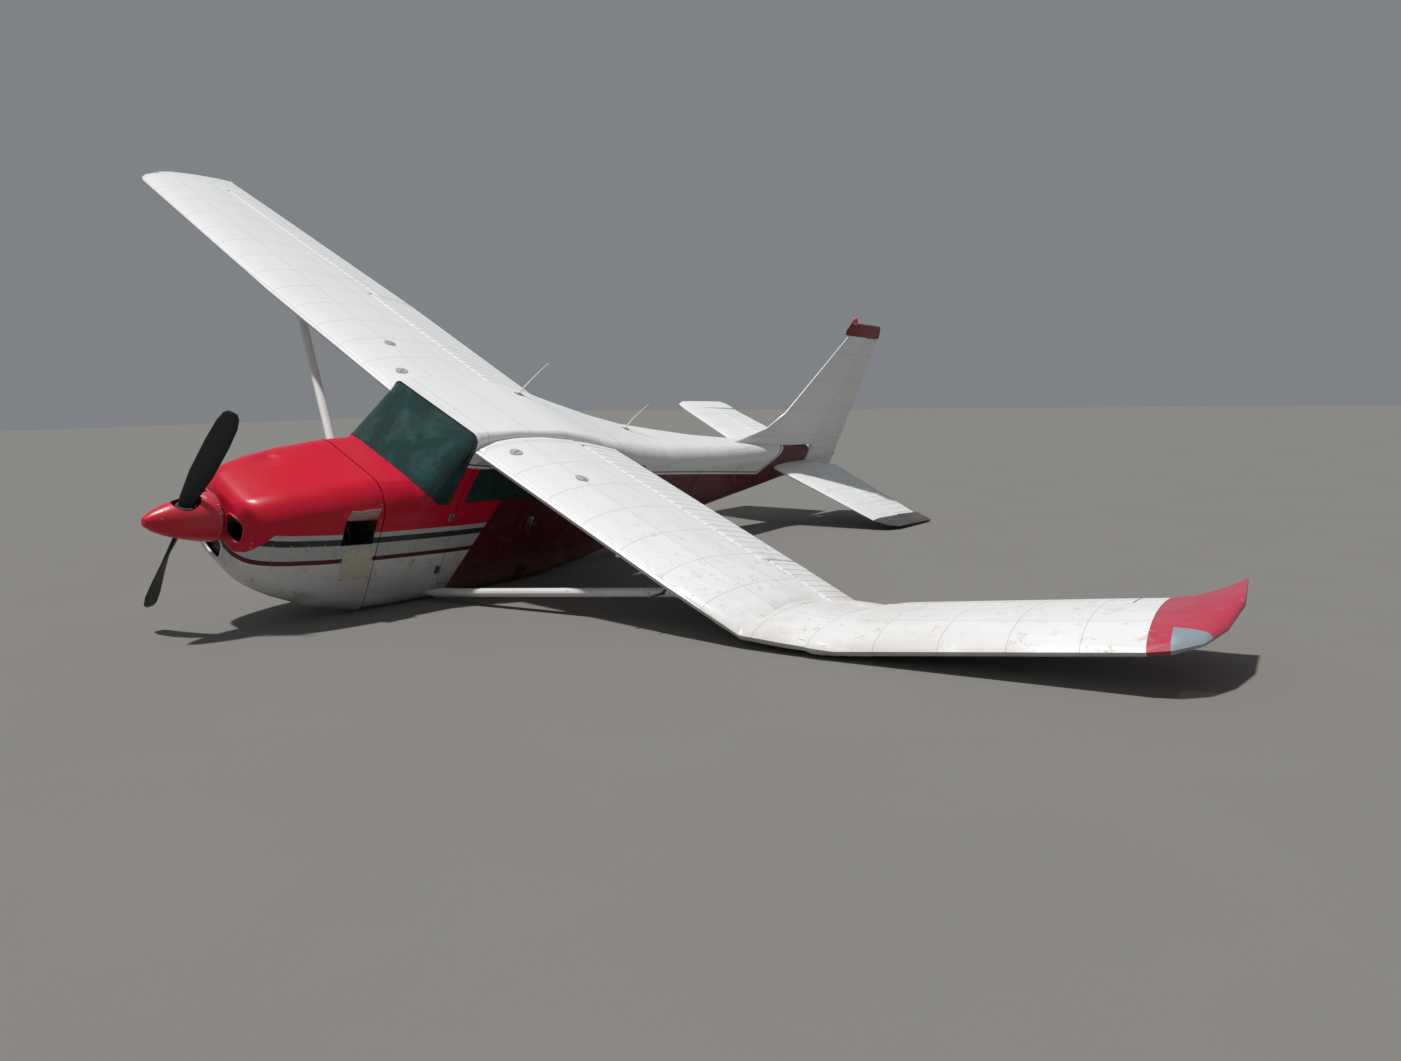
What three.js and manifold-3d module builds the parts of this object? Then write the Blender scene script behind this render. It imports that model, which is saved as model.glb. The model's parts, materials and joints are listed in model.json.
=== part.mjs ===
// A four-seat, single-engine, high-wing light aircraft lying where it came to rest.
// It leans on its left belly corner, its right main wheel and its folded left wing.
// Airframe frame in millimetres: +X to the aircraft's left, +Y aft, +Z up,
// with the origin at the spinner tip on the thrust line. One outer group leans it over.
import * as THREE from 'three';
import { mergeVertices } from 'three/addons/utils/BufferGeometryUtils.js';
import loadManifold from 'manifold-3d';

const wasm = await loadManifold();
wasm.setup();

// Driving dimensions
const BANK_DEG = 25;
const NOSE_UP_DEG = 1.4;
const SEAM = 0.4;
const MOVING_GAP = 9;
const WALL = 24;
const SKIN = 12;
const WING_SKIN = 10;
const GLASS = 6;
const ROUND_STEPS = 6;

const WING_ROOT_X = 570;
const WING_LE_Y = 2090;
const WING_Z = 702;
const WING_RIB_SPAN = 4950;
const WING_CAP = 345;
const WING_TAPER_SPAN = 2040;
const ROOT_CHORD = 1580;
const RIB_CHORD = 1130;
const RIB_SWEEP = 115;
const INCIDENCE_DEG = 1;
const WASHOUT_DEG = 4;
const WING_THICKNESS = 0.12;
const WING_CAMBER = 0.02;
const DIHEDRAL_RIGHT_DEG = 2.7;
const DIHEDRAL_LEFT_DEG = 0.88;

const FLAP_SPAN = [70, 2050];
const AILERON_SPAN = [2056, 4780];
const FLAP_CHORD = 0.30;
const AILERON_CHORD = 0.25;

// Folds of the left wing: span from the root, fold up, turn aft, both in degrees
const FOLDS = [
  { span: 2670, up: 21.7, aft: 3 },
  { span: 3120, up: 8.7, aft: 3.4 },
];
const FOLD_AXIS_CHORD = 0.4;
const OUTER_TWIST_DEG = 2.4;

const WHEEL = { x: 1300, y: 2950, z: -1212, radius: 222, width: 155 };

const FIREWALL_Y = 1450;
const CABIN_END_Y = 4750;
const TAIL_END_Y = 7940;

// Fuselage sections: y, half width, top, bottom, top corner radius, bottom corner radius
const COWL_SECTIONS = [
  [505, 235, 150, -285, 140, 140],
  [514, 276, 171, -317, 155, 159],
  [540, 340, 205, -365, 180, 190],
  [575, 376, 227, -400, 191, 199],
  [620, 405, 245, -430, 200, 205],
  [700, 435, 272, -474, 211, 206],
  [800, 460, 300, -520, 220, 205],
  [1060, 500, 345, -615, 230, 190],
  [1440, 530, 392, -694, 240, 165],
];
const BODY_SECTIONS = [
  [1450, 532, 393, -670, 240, 160],
  [1720, 545, 400, -668, 230, 150],
  [2125, 560, 850, -658, 70, 150],
  [2500, 560, 866, -646, 45, 150],
  [3000, 560, 848, -633, 60, 150],
  [3300, 555, 798, -619, 80, 150],
  [3760, 528, 686, -560, 120, 150],
  [4200, 470, 600, -500, 190, 150],
  [4620, 415, 530, -443, 200, 150],
  [5100, 358, 487, -380, 200, 150],
  [5700, 295, 436, -303, 190, 140],
  [6600, 205, 390, -190, 150, 110],
  [7400, 125, 352, -88, 100, 75],
  [7940, 70, 318, -24, 58, 44],
];

const PAINT_WHITE = { color: 0xeef0f2, roughness: 0.35, metalness: 0.05 };
const PAINT_RED = { color: 0xd8203c, roughness: 0.3, metalness: 0.05 };
const PAINT_GREY = { color: 0x8a8f94, roughness: 0.45, metalness: 0.05 };
const PAINT_MAROON = { color: 0x7c2030, roughness: 0.35, metalness: 0.05 };
const PROP_BLACK = { color: 0x141416, roughness: 0.5, metalness: 0.2 };
const BARE_METAL = { color: 0x9a9da0, roughness: 0.45, metalness: 0.9 };
const IRON = { color: 0x4c4d4f, roughness: 0.7, metalness: 0.6 };
const TYRE_BLACK = { color: 0x1c1c1c, roughness: 0.9, metalness: 0 };
const TINTED_GLASS = { color: 0x23504a, roughness: 0.08, metalness: 0, transparent: true, opacity: 0.6 };
const LAMP_GLASS = { color: 0x9fb0bc, roughness: 0.15, metalness: 0, transparent: true, opacity: 0.75 };
const FABRIC_RED = { color: 0x5c2a2c, roughness: 0.95, metalness: 0 };
const TRIM_BLACK = { color: 0x1b1c1e, roughness: 0.7, metalness: 0 };
const TRIM_CREAM = { color: 0xcfc8ba, roughness: 0.8, metalness: 0 };

const degrees = THREE.MathUtils.degToRad;
const airframe = new THREE.Group();

// Closed triangle mesh from a list of corner points and triangles, faces turned outwards
function closedGeometry(points, triangles) {
  let volume = 0;
  for (const [a, b, c] of triangles) {
    volume += points[a].dot(new THREE.Vector3().crossVectors(points[b], points[c]));
  }
  const ordered = volume < 0 ? triangles.map(([a, b, c]) => [a, c, b]) : triangles;
  const geometry = new THREE.BufferGeometry();
  geometry.setFromPoints(points);
  geometry.setIndex(ordered.flat());
  return geometry;
}

// Skin through rings that all have the same number of points, closed by a fan at each end
function loft(rings) {
  const count = rings[0].length;
  const points = rings.flat();
  const triangles = [];
  for (let ring = 0; ring < rings.length - 1; ring += 1) {
    for (let i = 0; i < count; i += 1) {
      const next = (i + 1) % count;
      const [a, b] = [ring * count + i, ring * count + next];
      triangles.push([a, b, b + count], [a, b + count, a + count]);
    }
  }
  for (const ring of [0, rings.length - 1]) {
    const centre = new THREE.Vector3();
    rings[ring].forEach((point) => centre.addScaledVector(point, 1 / count));
    const hub = points.push(centre) - 1;
    for (let i = 0; i < count; i += 1) {
      const pair = [ring * count + i, ring * count + ((i + 1) % count)];
      triangles.push(ring === 0 ? [hub, pair[1], pair[0]] : [hub, pair[0], pair[1]]);
    }
  }
  return closedGeometry(points, triangles);
}

// Solid for joins and cuts
function solid(geometry) {
  const bare = geometry.clone();
  bare.deleteAttribute('normal');
  bare.deleteAttribute('uv');
  const merged = mergeVertices(bare, 0.001);
  const index = merged.getIndex().array;
  const kept = [];
  for (let i = 0; i < index.length; i += 3) {
    const [a, b, c] = [index[i], index[i + 1], index[i + 2]];
    if (a !== b && b !== c && c !== a) kept.push(a, b, c);
  }
  return new wasm.Manifold(new wasm.Mesh({
    numProp: 3,
    vertProperties: new Float32Array(merged.getAttribute('position').array),
    triVerts: new Uint32Array(kept),
  }));
}

// Turned solid: its profile gives [radius, height] corners round a closed outline, seen anticlockwise
function turned(profile, steps) {
  const outline = profile.map(([radius, height]) => new THREE.Vector2(radius, height));
  if (THREE.ShapeUtils.area(outline) < 0) outline.reverse();
  outline.push(outline[0]);
  return solid(new THREE.LatheGeometry(outline, steps));
}

function geometryOf(manifold) {
  const mesh = manifold.getMesh();
  const geometry = new THREE.BufferGeometry();
  geometry.setAttribute('position', new THREE.BufferAttribute(new Float32Array(mesh.vertProperties), 3));
  geometry.setIndex(new THREE.BufferAttribute(new Uint32Array(mesh.triVerts), 1));
  geometry.computeVertexNormals();
  return geometry;
}

function piece(name, shape, finish, parent = airframe) {
  const geometry = shape.isBufferGeometry ? shape : geometryOf(shape);
  const mesh = new THREE.Mesh(geometry, new THREE.MeshStandardMaterial(finish));
  mesh.name = name;
  parent.add(mesh);
  return mesh;
}

function box(min, max) {
  const size = max.map((value, i) => value - min[i]);
  const geometry = new THREE.BoxGeometry(...size);
  geometry.translate(...max.map((value, i) => (value + min[i]) / 2));
  return solid(geometry);
}

// Straight rod or cone between two points
function rod(from, to, radius, endRadius = radius, sides = 16) {
  const start = new THREE.Vector3(...from);
  const end = new THREE.Vector3(...to);
  const along = new THREE.Vector3().subVectors(end, start);
  const geometry = new THREE.CylinderGeometry(endRadius, radius, along.length(), sides);
  const heading = along.clone().normalize();
  geometry.applyQuaternion(new THREE.Quaternion().setFromUnitVectors(new THREE.Vector3(0, 1, 0), heading));
  geometry.translate(...start.add(end).multiplyScalar(0.5).toArray());
  return solid(geometry);
}

// Prism across the aircraft from x = from to x = to, its outline given as [y, z] corners
function sidePrism(outline, from, to) {
  return solid(loft([from, to].map((x) => outline.map(([y, z]) => new THREE.Vector3(x, y, z)))));
}

// Outline moved inwards by a distance, about its middle
function inset(outline, distance) {
  const meanOf = (axis) => outline.reduce((sum, corner) => sum + corner[axis], 0) / outline.length;
  const middle = [meanOf(0), meanOf(1)];
  return outline.map(([y, z]) => {
    const [dy, dz] = [y - middle[0], z - middle[1]];
    const scale = 1 - (distance * Math.SQRT2) / Math.hypot(dy, dz);
    return [middle[0] + dy * scale, middle[1] + dz * scale];
  });
}

function join(solids) {
  return solids.reduce((sum, next) => sum.add(next));
}

// The main body of a cut shape, without the slivers that a cut through folded skin leaves
function mainBody(shape) {
  return shape.decompose().reduce((best, next) => (next.volume() > best.volume() ? next : best));
}

// Rounded rectangle of one fuselage section, pulled inwards by wall
function sectionRing([y, halfWidth, top, bottom, topRadius, bottomRadius], wall = 0) {
  const ring = [];
  const corners = [
    { side: 1, level: 1, radius: topRadius, start: 0 },
    { side: -1, level: 1, radius: topRadius, start: 90 },
    { side: -1, level: -1, radius: bottomRadius, start: 180 },
    { side: 1, level: -1, radius: bottomRadius, start: 270 },
  ];
  for (const { side, level, radius, start } of corners) {
    const inner = Math.max(radius - wall, 8);
    const centreX = side * (halfWidth - wall - inner);
    const centreZ = level > 0 ? top - wall - inner : bottom + wall + inner;
    for (let step = 0; step <= ROUND_STEPS; step += 1) {
      const angle = degrees(start + (90 * step) / ROUND_STEPS);
      ring.push(new THREE.Vector3(centreX + inner * Math.cos(angle), y, centreZ + inner * Math.sin(angle)));
    }
  }
  return ring;
}

// Section of a table at any station, worked out between its neighbours
function sectionAt(table, y) {
  const last = table.length - 2;
  const found = table.findIndex((section, i) => i <= last && y <= table[i + 1][0]);
  const i = found < 0 ? last : found;
  const share = (y - table[i][0]) / (table[i + 1][0] - table[i][0]);
  return table[i].map((value, column) => value + share * (table[i + 1][column] - value));
}

// Fuselage body between two stations, its walls moved inwards
function fuselageBody(table, from, to, wall = 0) {
  const stations = [from, ...table.map((section) => section[0]).filter((y) => y > from && y < to), to];
  return solid(loft(stations.map((y) => sectionRing(sectionAt(table, y), wall))));
}

function fuselageTube(table, from, to, wall) {
  return fuselageBody(table, from, to).subtract(fuselageBody(table, from - 5, to + 5, wall));
}

// Cowl, split level with the thrust line, open round the spinner and at its lower back edge
const COWL_SPLIT_Z = -40;
const COWL_END_Y = FIREWALL_Y - 10;
const SIDE_INLET = { x: 206, z: 14, width: 192, height: 164 };
const LOWER_INLET = { x: 0, z: -222, width: 220, height: 146 };
const INLET_SIDES = 20;
const INLET_ROUNDNESS = 0.6;
const cowlTube = fuselageBody(COWL_SECTIONS, COWL_SECTIONS[0][0], COWL_END_Y)
  .subtract(fuselageBody(COWL_SECTIONS, COWL_SECTIONS[0][0] + SKIN, COWL_END_Y + 5, SKIN));
const shaftHole = rod([0, 480, 0], [0, 600, 0], 90, 90, 24);
// Opening with rounded corners, cut from ahead into the nose
function inletCut({ z, width, height }, x) {
  const squared = (value) => Math.sign(value) * Math.abs(value) ** INLET_ROUNDNESS;
  const outline = Array.from({ length: INLET_SIDES }, (_, i) => {
    const angle = (2 * Math.PI * i) / INLET_SIDES;
    return [x + (width / 2) * squared(Math.cos(angle)), z + (height / 2) * squared(Math.sin(angle))];
  });
  return solid(loft([480, 630].map((y) => outline.map(([across, up]) => new THREE.Vector3(across, y, up)))));
}
const inlets = join([inletCut(SIDE_INLET, -SIDE_INLET.x), inletCut(SIDE_INLET, SIDE_INLET.x),
  inletCut(LOWER_INLET, LOWER_INLET.x)]);
const cowl = cowlTube.subtract(shaftHole).subtract(inlets);
const cowlHalf = (bottom, top) => cowl.intersect(box([-700, 400, bottom], [700, COWL_END_Y + 50, top]));
// Open hatch low on the left side of the upper cowl, with a bare plate on the lower cowl beneath it
const HATCH = { front: 1150, back: 1400, top: 165 };
const hatch = box([400, HATCH.front, COWL_SPLIT_Z - 20], [700, HATCH.back, HATCH.top]);
piece('cowl_upper', cowlHalf(COWL_SPLIT_Z + SEAM, 600).subtract(hatch), PAINT_RED);
const PLATE = { front: 1185, back: 1420, bottom: -330, top: -70, thickness: 4 };
piece('cowl_plate_left', fuselageBody(COWL_SECTIONS, PLATE.front, PLATE.back, -SEAM - PLATE.thickness)
  .subtract(fuselageBody(COWL_SECTIONS, PLATE.front - 5, PLATE.back + 5, -SEAM))
  .intersect(box([400, PLATE.front, PLATE.bottom], [700, PLATE.back, PLATE.top])), BARE_METAL);
const NOSE_STUB = { from: [0, 1300, -520], to: [0, 1275, -770], radius: 36 };
const EXHAUST = { from: [-210, 1180, -560], to: [-230, 1245, -740], radius: 30 };
const cowlHole = ({ from, to, radius }) => rod(from, to, radius + 8, radius + 8, 20);
piece('cowl_lower', cowlHalf(-800, COWL_SPLIT_Z)
  .subtract(cowlHole(NOSE_STUB))
  .subtract(cowlHole(EXHAUST)), PAINT_WHITE);

// Engine: one plain block on the firewall, its crankcase running forward to the propeller
const ENGINE = { halfWidth: 340, front: 720, back: 1340, top: 180, bottom: -275 };
const engineCase = box(
  [-ENGINE.halfWidth, ENGINE.front, ENGINE.bottom],
  [ENGINE.halfWidth, ENGINE.back, ENGINE.top],
);
piece('engine_block', engineCase
  .add(rod([0, 470, 0], [0, ENGINE.front + 20, 0], 60, 60, 20))
  .add(box([-200, ENGINE.back - 5, -160], [200, FIREWALL_Y - SEAM, 120])), IRON);

// Propeller: a hub and two bent blades that turn with the spinner about the thrust line
const PROP_Y = 270;
const HUB = { front: 215, back: 462, radius: 75 };
const rotor = new THREE.Group();
rotor.position.set(0, PROP_Y, 0);
airframe.add(rotor);

// Blade stations: radius, chord, thickness, pitch in degrees, aft bend, sideways bend
const UPPER_BLADE = [
  [50, 95, 60, 50, 0, 0],
  [150, 112, 34, 42, 10, 0],
  [330, 170, 22, 31, 70, 6],
  [560, 190, 14, 23, 140, 22],
  [700, 182, 10, 18, 170, 48],
  [770, 146, 7, 15, 180, 66],
  [800, 80, 5, 14, 184, 76],
];
const LOWER_BLADE = [
  [50, 95, 60, 50, 0, 0],
  [150, 112, 34, 44, -16, 0],
  [330, 146, 20, 42, -50, -4],
  [520, 146, 13, 56, -62, 0],
  [680, 126, 9, 72, -58, 14],
  [790, 98, 6, 80, -44, 36],
  [830, 50, 5, 82, -36, 48],
];
const BLADE_SIDES = 10;
function blade(stations) {
  return solid(loft(stations.map(([radius, chord, thickness, pitch, aft, sideways]) => {
    const turn = degrees(90 - pitch);
    return Array.from({ length: BLADE_SIDES }, (_, i) => {
      const angle = (2 * Math.PI * i) / BLADE_SIDES;
      const [u, v] = [(chord / 2) * Math.cos(angle), (thickness / 2) * Math.sin(angle)];
      return new THREE.Vector3(
        sideways + u * Math.sin(turn) + v * Math.cos(turn),
        aft + u * Math.cos(turn) - v * Math.sin(turn),
        radius,
      );
    });
  })));
}
const UPPER_BLADE_TURN = -2;
const LOWER_BLADE_TURN = 190;
const hub = rod([0, HUB.front - PROP_Y, 0], [0, HUB.back - PROP_Y, 0], HUB.radius, HUB.radius, 20);
piece('propeller', hub
  .add(blade(UPPER_BLADE).rotate([0, UPPER_BLADE_TURN, 0]))
  .add(blade(LOWER_BLADE).rotate([0, LOWER_BLADE_TURN, 0])), PROP_BLACK, rotor);

// Spinner shell with openings for the blade roots: distance from its tip, radius
const SPINNER_OUTSIDE = [[0, 0], [30, 10], [68, 60], [104, 140], [138, 250], [162, 355], [172, 452]];
const SPINNER_INSIDE = [[166, 452], [156, 355], [132, 250], [98, 140], [64, 72], [0, 26]];
const spinnerShell = turned([...SPINNER_OUTSIDE, ...SPINNER_INSIDE], 36);
const bladeOpening = (turn) => rod([0, 0, 60], [0, 0, 260], 92, 92, 24).rotate([0, turn, 0]);
const SPINNER_PLATE = { front: 444, back: 452, radius: 167, hole: HUB.radius + SEAM + 4 };
const plateDisc = rod([0, SPINNER_PLATE.front, 0], [0, SPINNER_PLATE.back, 0],
  SPINNER_PLATE.radius, SPINNER_PLATE.radius, 36);
const plateHole = rod([0, SPINNER_PLATE.front - 20, 0], [0, SPINNER_PLATE.back + 20, 0],
  SPINNER_PLATE.hole, SPINNER_PLATE.hole, 20);
const spinnerPlate = plateDisc.subtract(plateHole).translate([0, -PROP_Y, 0]);
piece('spinner', spinnerShell.translate([0, -PROP_Y, 0])
  .subtract(bladeOpening(UPPER_BLADE_TURN))
  .subtract(bladeOpening(LOWER_BLADE_TURN))
  .add(spinnerPlate), PAINT_RED, rotor);

// Cabin shell: a hollow body from the firewall to the baggage bulkhead, cut for glass and doors
const WINDSHIELD = [
  [1480, 590], [1885, 262], [1990, 256], [2090, 690], [2104, 780], [2104, 1000], [1480, 1000],
];
const DOOR = [[2069, -470], [2069, 300], [2150, 610], [3050, 610], [3050, -300], [2960, -470]];
const DOOR_WINDOW = [[2118, 262], [2192, 552], [2985, 552], [2985, 262]];
const SIDE_WINDOW = [
  [3125, 262], [3125, 552], [3560, 552], [3940, 520], [4330, 420], [4400, 345], [4370, 262],
];
// The long pane shrinks towards its middle, so it takes a wider seam
const LONG_PANE_SEAM = 3 * SEAM;
const ROOF = { front: 2128, back: 3560, base: 690 };
const OUTSIDE = 720;
const INSIDE = 300;
const rightAndLeft = [{ side: -1, label: 'right' }, { side: 1, label: 'left' }];
const reach = (side) => (side > 0 ? [INSIDE, OUTSIDE] : [-OUTSIDE, -INSIDE]);

const cabinTube = fuselageTube(BODY_SECTIONS, FIREWALL_Y, CABIN_END_Y, WALL);
const windshieldCut = sidePrism(WINDSHIELD, -OUTSIDE, OUTSIDE);
const roofBox = (grow) => box(
  [-OUTSIDE, ROOF.front - grow, ROOF.base - grow],
  [OUTSIDE, ROOF.back + grow, 1000],
);
let cabinShell = cabinTube.subtract(windshieldCut).subtract(roofBox(SEAM));
for (const { side } of rightAndLeft) {
  cabinShell = cabinShell
    .subtract(sidePrism(DOOR, ...reach(side)))
    .subtract(sidePrism(SIDE_WINDOW, ...reach(side)));
}
piece('cabin_shell', cabinShell, PAINT_WHITE);
piece('cabin_roof', cabinTube.intersect(roofBox(0)), PAINT_WHITE);

// Glass lies in the outer part of the wall, a seam clear of its frame
const glassLayer = fuselageBody(BODY_SECTIONS, FIREWALL_Y, CABIN_END_Y, 5)
  .subtract(fuselageBody(BODY_SECTIONS, FIREWALL_Y - 5, CABIN_END_Y + 5, 5 + GLASS));
const windshieldPane = sidePrism(inset(WINDSHIELD, SEAM), -OUTSIDE, OUTSIDE);
piece('windshield', glassLayer.intersect(windshieldPane), TINTED_GLASS);

// Doors hang on their front edges, each as thick as the wall, with a window and two hinges
const DOOR_HINGE = { y: 2070, z: -110, out: 4 };
const DOOR_GAP = 6;
for (const { side, label } of rightAndLeft) {
  const door = new THREE.Group();
  const hingeX = side * (sectionAt(BODY_SECTIONS, DOOR_HINGE.y)[1] + DOOR_HINGE.out);
  door.position.set(hingeX, DOOR_HINGE.y, DOOR_HINGE.z);
  airframe.add(door);
  const place = (shape) => shape.translate([-hingeX, -DOOR_HINGE.y, -DOOR_HINGE.z]);
  const panel = cabinTube
    .intersect(sidePrism(inset(DOOR, DOOR_GAP), ...reach(side)))
    .subtract(sidePrism(DOOR_WINDOW, ...reach(side)));
  piece(`door_${label}`, place(panel), PAINT_MAROON, door);
  const pane = glassLayer.intersect(sidePrism(inset(DOOR_WINDOW, SEAM), ...reach(side)));
  piece(`door_window_${label}`, place(pane), TINTED_GLASS, door);
  piece(`rear_side_window_${label}`, glassLayer
    .intersect(sidePrism(inset(SIDE_WINDOW, LONG_PANE_SEAM), ...reach(side))), TINTED_GLASS);
}

// Closed ends and floor inside the cabin
function cabinPlate(from, to, finish, name) {
  piece(name, fuselageBody(BODY_SECTIONS, from, to, WALL + 1), finish);
}
cabinPlate(FIREWALL_Y + 2, FIREWALL_Y + 8, BARE_METAL, 'firewall');
cabinPlate(CABIN_END_Y - 60, CABIN_END_Y - 50, TRIM_CREAM, 'baggage_bulkhead');
const FLOOR_Z = -480;
const cabinSpace = fuselageBody(BODY_SECTIONS, FIREWALL_Y + 10, CABIN_END_Y - 62, WALL + 1);
piece('cabin_floor', cabinSpace.intersect(box([-600, 1700, FLOOR_Z - 12], [600, 4680, FLOOR_Z]))
  .add(cabinSpace.intersect(box([-600, 3680, FLOOR_Z - 5], [600, 4680, FLOOR_Z + 60]))), TRIM_CREAM);

// Instrument panel with its two yokes
const PANEL = { y: 1800, thickness: 30, top: 330, bottom: -60 };
const YOKE = { x: 260, z: 110, reach: 190, grip: 110 };
const yoke = (side) => join([
  rod([side * YOKE.x, PANEL.y + 10, YOKE.z], [side * YOKE.x, PANEL.y + YOKE.reach, YOKE.z], 12),
  box([side * YOKE.x - YOKE.grip, PANEL.y + YOKE.reach - 8, YOKE.z - 20],
    [side * YOKE.x + YOKE.grip, PANEL.y + YOKE.reach + 16, YOKE.z + 20]),
  ...[-1, 1].map((end) => box(
    [side * YOKE.x + end * YOKE.grip - 15, PANEL.y + YOKE.reach - 8, YOKE.z - 20],
    [side * YOKE.x + end * YOKE.grip + 15, PANEL.y + YOKE.reach + 16, YOKE.z + 100])),
]);
const panelSpace = fuselageBody(BODY_SECTIONS, FIREWALL_Y + 10, 2400, WALL + 1);
piece('instrument_panel', panelSpace
  .intersect(box([-600, PANEL.y, PANEL.bottom], [600, PANEL.y + PANEL.thickness, PANEL.top]))
  .add(yoke(-1)).add(yoke(1)), TRIM_BLACK);

// Seats: cushion, back and plinth, the bench wider and plain
function seat(x, y, halfWidth, cushionTop, backTop) {
  return join([
    box([x - halfWidth, y, cushionTop - 130], [x + halfWidth, y + 470, cushionTop]),
    sidePrism([
      [y + 400, cushionTop - 60], [y + 480, cushionTop - 130], [y + 640, backTop], [y + 545, backTop],
    ], x - halfWidth, x + halfWidth),
    box([x - halfWidth + 60, y + 60, FLOOR_Z + SEAM], [x + halfWidth - 60, y + 400, cushionTop - 120]),
  ]);
}
const FRONT_SEAT = { x: 265, y: 2230, halfWidth: 215, cushion: -170, back: 430 };
for (const { side, label } of rightAndLeft) {
  piece(`front_seat_${label}`, seat(side * FRONT_SEAT.x, FRONT_SEAT.y, FRONT_SEAT.halfWidth,
    FRONT_SEAT.cushion, FRONT_SEAT.back), FABRIC_RED);
}
piece('rear_bench', seat(0, 3080, 455, -180, 330), FABRIC_RED);

// Tail cone: a hollow body closed at its end, cut for the tail surfaces
const tailCone = fuselageBody(BODY_SECTIONS, CABIN_END_Y + SEAM, TAIL_END_Y)
  .subtract(fuselageBody(BODY_SECTIONS, CABIN_END_Y - 5, TAIL_END_Y - 40, SKIN));

// Aerofoil outline from the nose round the top and back underneath: share of chord, height share
const AEROFOIL_STEPS = 9;
function aerofoil(thickness, camber) {
  const outline = [];
  const camberAt = 0.4;
  const height = (share, sign) => {
    const half = 5 * thickness * (0.2969 * Math.sqrt(share) - 0.126 * share - 0.3516 * share ** 2
      + 0.2843 * share ** 3 - 0.1015 * share ** 4);
    const mean = share < camberAt
      ? (camber / camberAt ** 2) * (2 * camberAt * share - share ** 2)
      : (camber / (1 - camberAt) ** 2) * (1 - 2 * camberAt + 2 * camberAt * share - share ** 2);
    return mean + sign * Math.max(half, 0.0022);
  };
  for (let i = 0; i <= AEROFOIL_STEPS; i += 1) {
    const share = 0.5 * (1 - Math.cos((Math.PI * i) / AEROFOIL_STEPS));
    outline.push([share, height(share, 1)]);
  }
  for (let i = AEROFOIL_STEPS; i > 0; i -= 1) {
    const share = 0.5 * (1 - Math.cos((Math.PI * i) / AEROFOIL_STEPS));
    outline.push([share, height(share, -1)]);
  }
  return outline;
}
const WING_OUTLINE = aerofoil(WING_THICKNESS, WING_CAMBER);

// Wing stations in the wing's own frame: x out along the span, y aft, z up, from the root's leading edge
const outerShare = (span) => Math.max(0, span - WING_TAPER_SPAN) / (WING_RIB_SPAN - WING_TAPER_SPAN);
const chordAt = (span) => ROOT_CHORD - (ROOT_CHORD - RIB_CHORD) * outerShare(span);
const leadingEdgeAt = (span) => RIB_SWEEP * outerShare(span);
const twistAt = (span) => degrees(INCIDENCE_DEG - WASHOUT_DEG * outerShare(span));
function wingPoint(span, chordShare, heightShare) {
  const chord = chordAt(span);
  const [along, up] = [chordShare * chord, heightShare * chord];
  const twist = twistAt(span);
  return new THREE.Vector3(
    span,
    leadingEdgeAt(span) + along * Math.cos(twist) + up * Math.sin(twist),
    up * Math.cos(twist) - along * Math.sin(twist),
  );
}

// Carries a point of the straight wing to its place on the folded one
function foldPoint(point, folds) {
  const folded = point.clone();
  [...folds].reverse().forEach(({ span, up, aft }, i) => {
    if (point.x <= span) return;
    const pivot = wingPoint(span, FOLD_AXIS_CHORD, 0);
    const turn = new THREE.Quaternion()
      .setFromAxisAngle(new THREE.Vector3(0, 1, 0), -degrees(up))
      .multiply(new THREE.Quaternion().setFromAxisAngle(new THREE.Vector3(0, 0, 1), degrees(aft)));
    if (i === 0) {
      const spanwise = new THREE.Vector3(1, 0, 0);
      turn.multiply(new THREE.Quaternion().setFromAxisAngle(spanwise, degrees(OUTER_TWIST_DEG)));
    }
    folded.sub(pivot).applyQuaternion(turn).add(pivot);
  });
  return folded;
}

const FOLD_WIDTH = 120;
function foldStations(folds, from, to) {
  return folds.flatMap(({ span }) => [span, span + FOLD_WIDTH]).filter((span) => span > from && span < to);
}

// Solid between two spans whose section is given by a function of the span, folded and set on its side
function spanSolid(side, from, to, folds, section) {
  const spans = [from, WING_TAPER_SPAN, ...foldStations(folds, from, to), to]
    .filter((span, i, all) => i === 0 || i === all.length - 1 || (span > from && span < to))
    .sort((a, b) => a - b);
  return solid(loft(spans.map((span) => section(span).map((point) => {
    const placed = foldPoint(point, folds);
    placed.x *= side;
    return placed;
  }))));
}
const wholeSection = (span) => WING_OUTLINE.map(([share, height]) => wingPoint(span, share, height));

// Section of the hollow inside the wing, open at the root and ending ahead of the flap and aileron
const HOLLOW_SHARES = [0.02, 0.6];
const hollowSection = (span) => WING_OUTLINE
  .map(([share, height], i) => [
    share,
    height - (i <= AEROFOIL_STEPS ? 1 : -1) * (WING_SKIN / chordAt(span)),
  ])
  .filter(([share]) => share > HOLLOW_SHARES[0] && share < HOLLOW_SHARES[1])
  .map(([share, height]) => wingPoint(span, share, height));

// Hinge line of a surface, halfway between the skins, and the half depth of the wing there
function skinHeights(share) {
  const half = WING_OUTLINE.length / 2;
  const upper = WING_OUTLINE.slice(0, half + 1);
  const lower = [WING_OUTLINE[0], ...WING_OUTLINE.slice(half).reverse()];
  return [upper, lower].map((skin) => {
    const i = skin.findIndex((point) => point[0] >= share);
    const t = (share - skin[i - 1][0]) / (skin[i][0] - skin[i - 1][0]);
    return skin[i - 1][1] + t * (skin[i][1] - skin[i - 1][1]);
  });
}
function hingeOf(surfaceChord) {
  const share = 1 - surfaceChord;
  const [upper, lower] = skinHeights(share);
  return { share, height: (upper + lower) / 2, half: (upper - lower) / 2 };
}
const NOSE_STEPS = 6;

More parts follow.
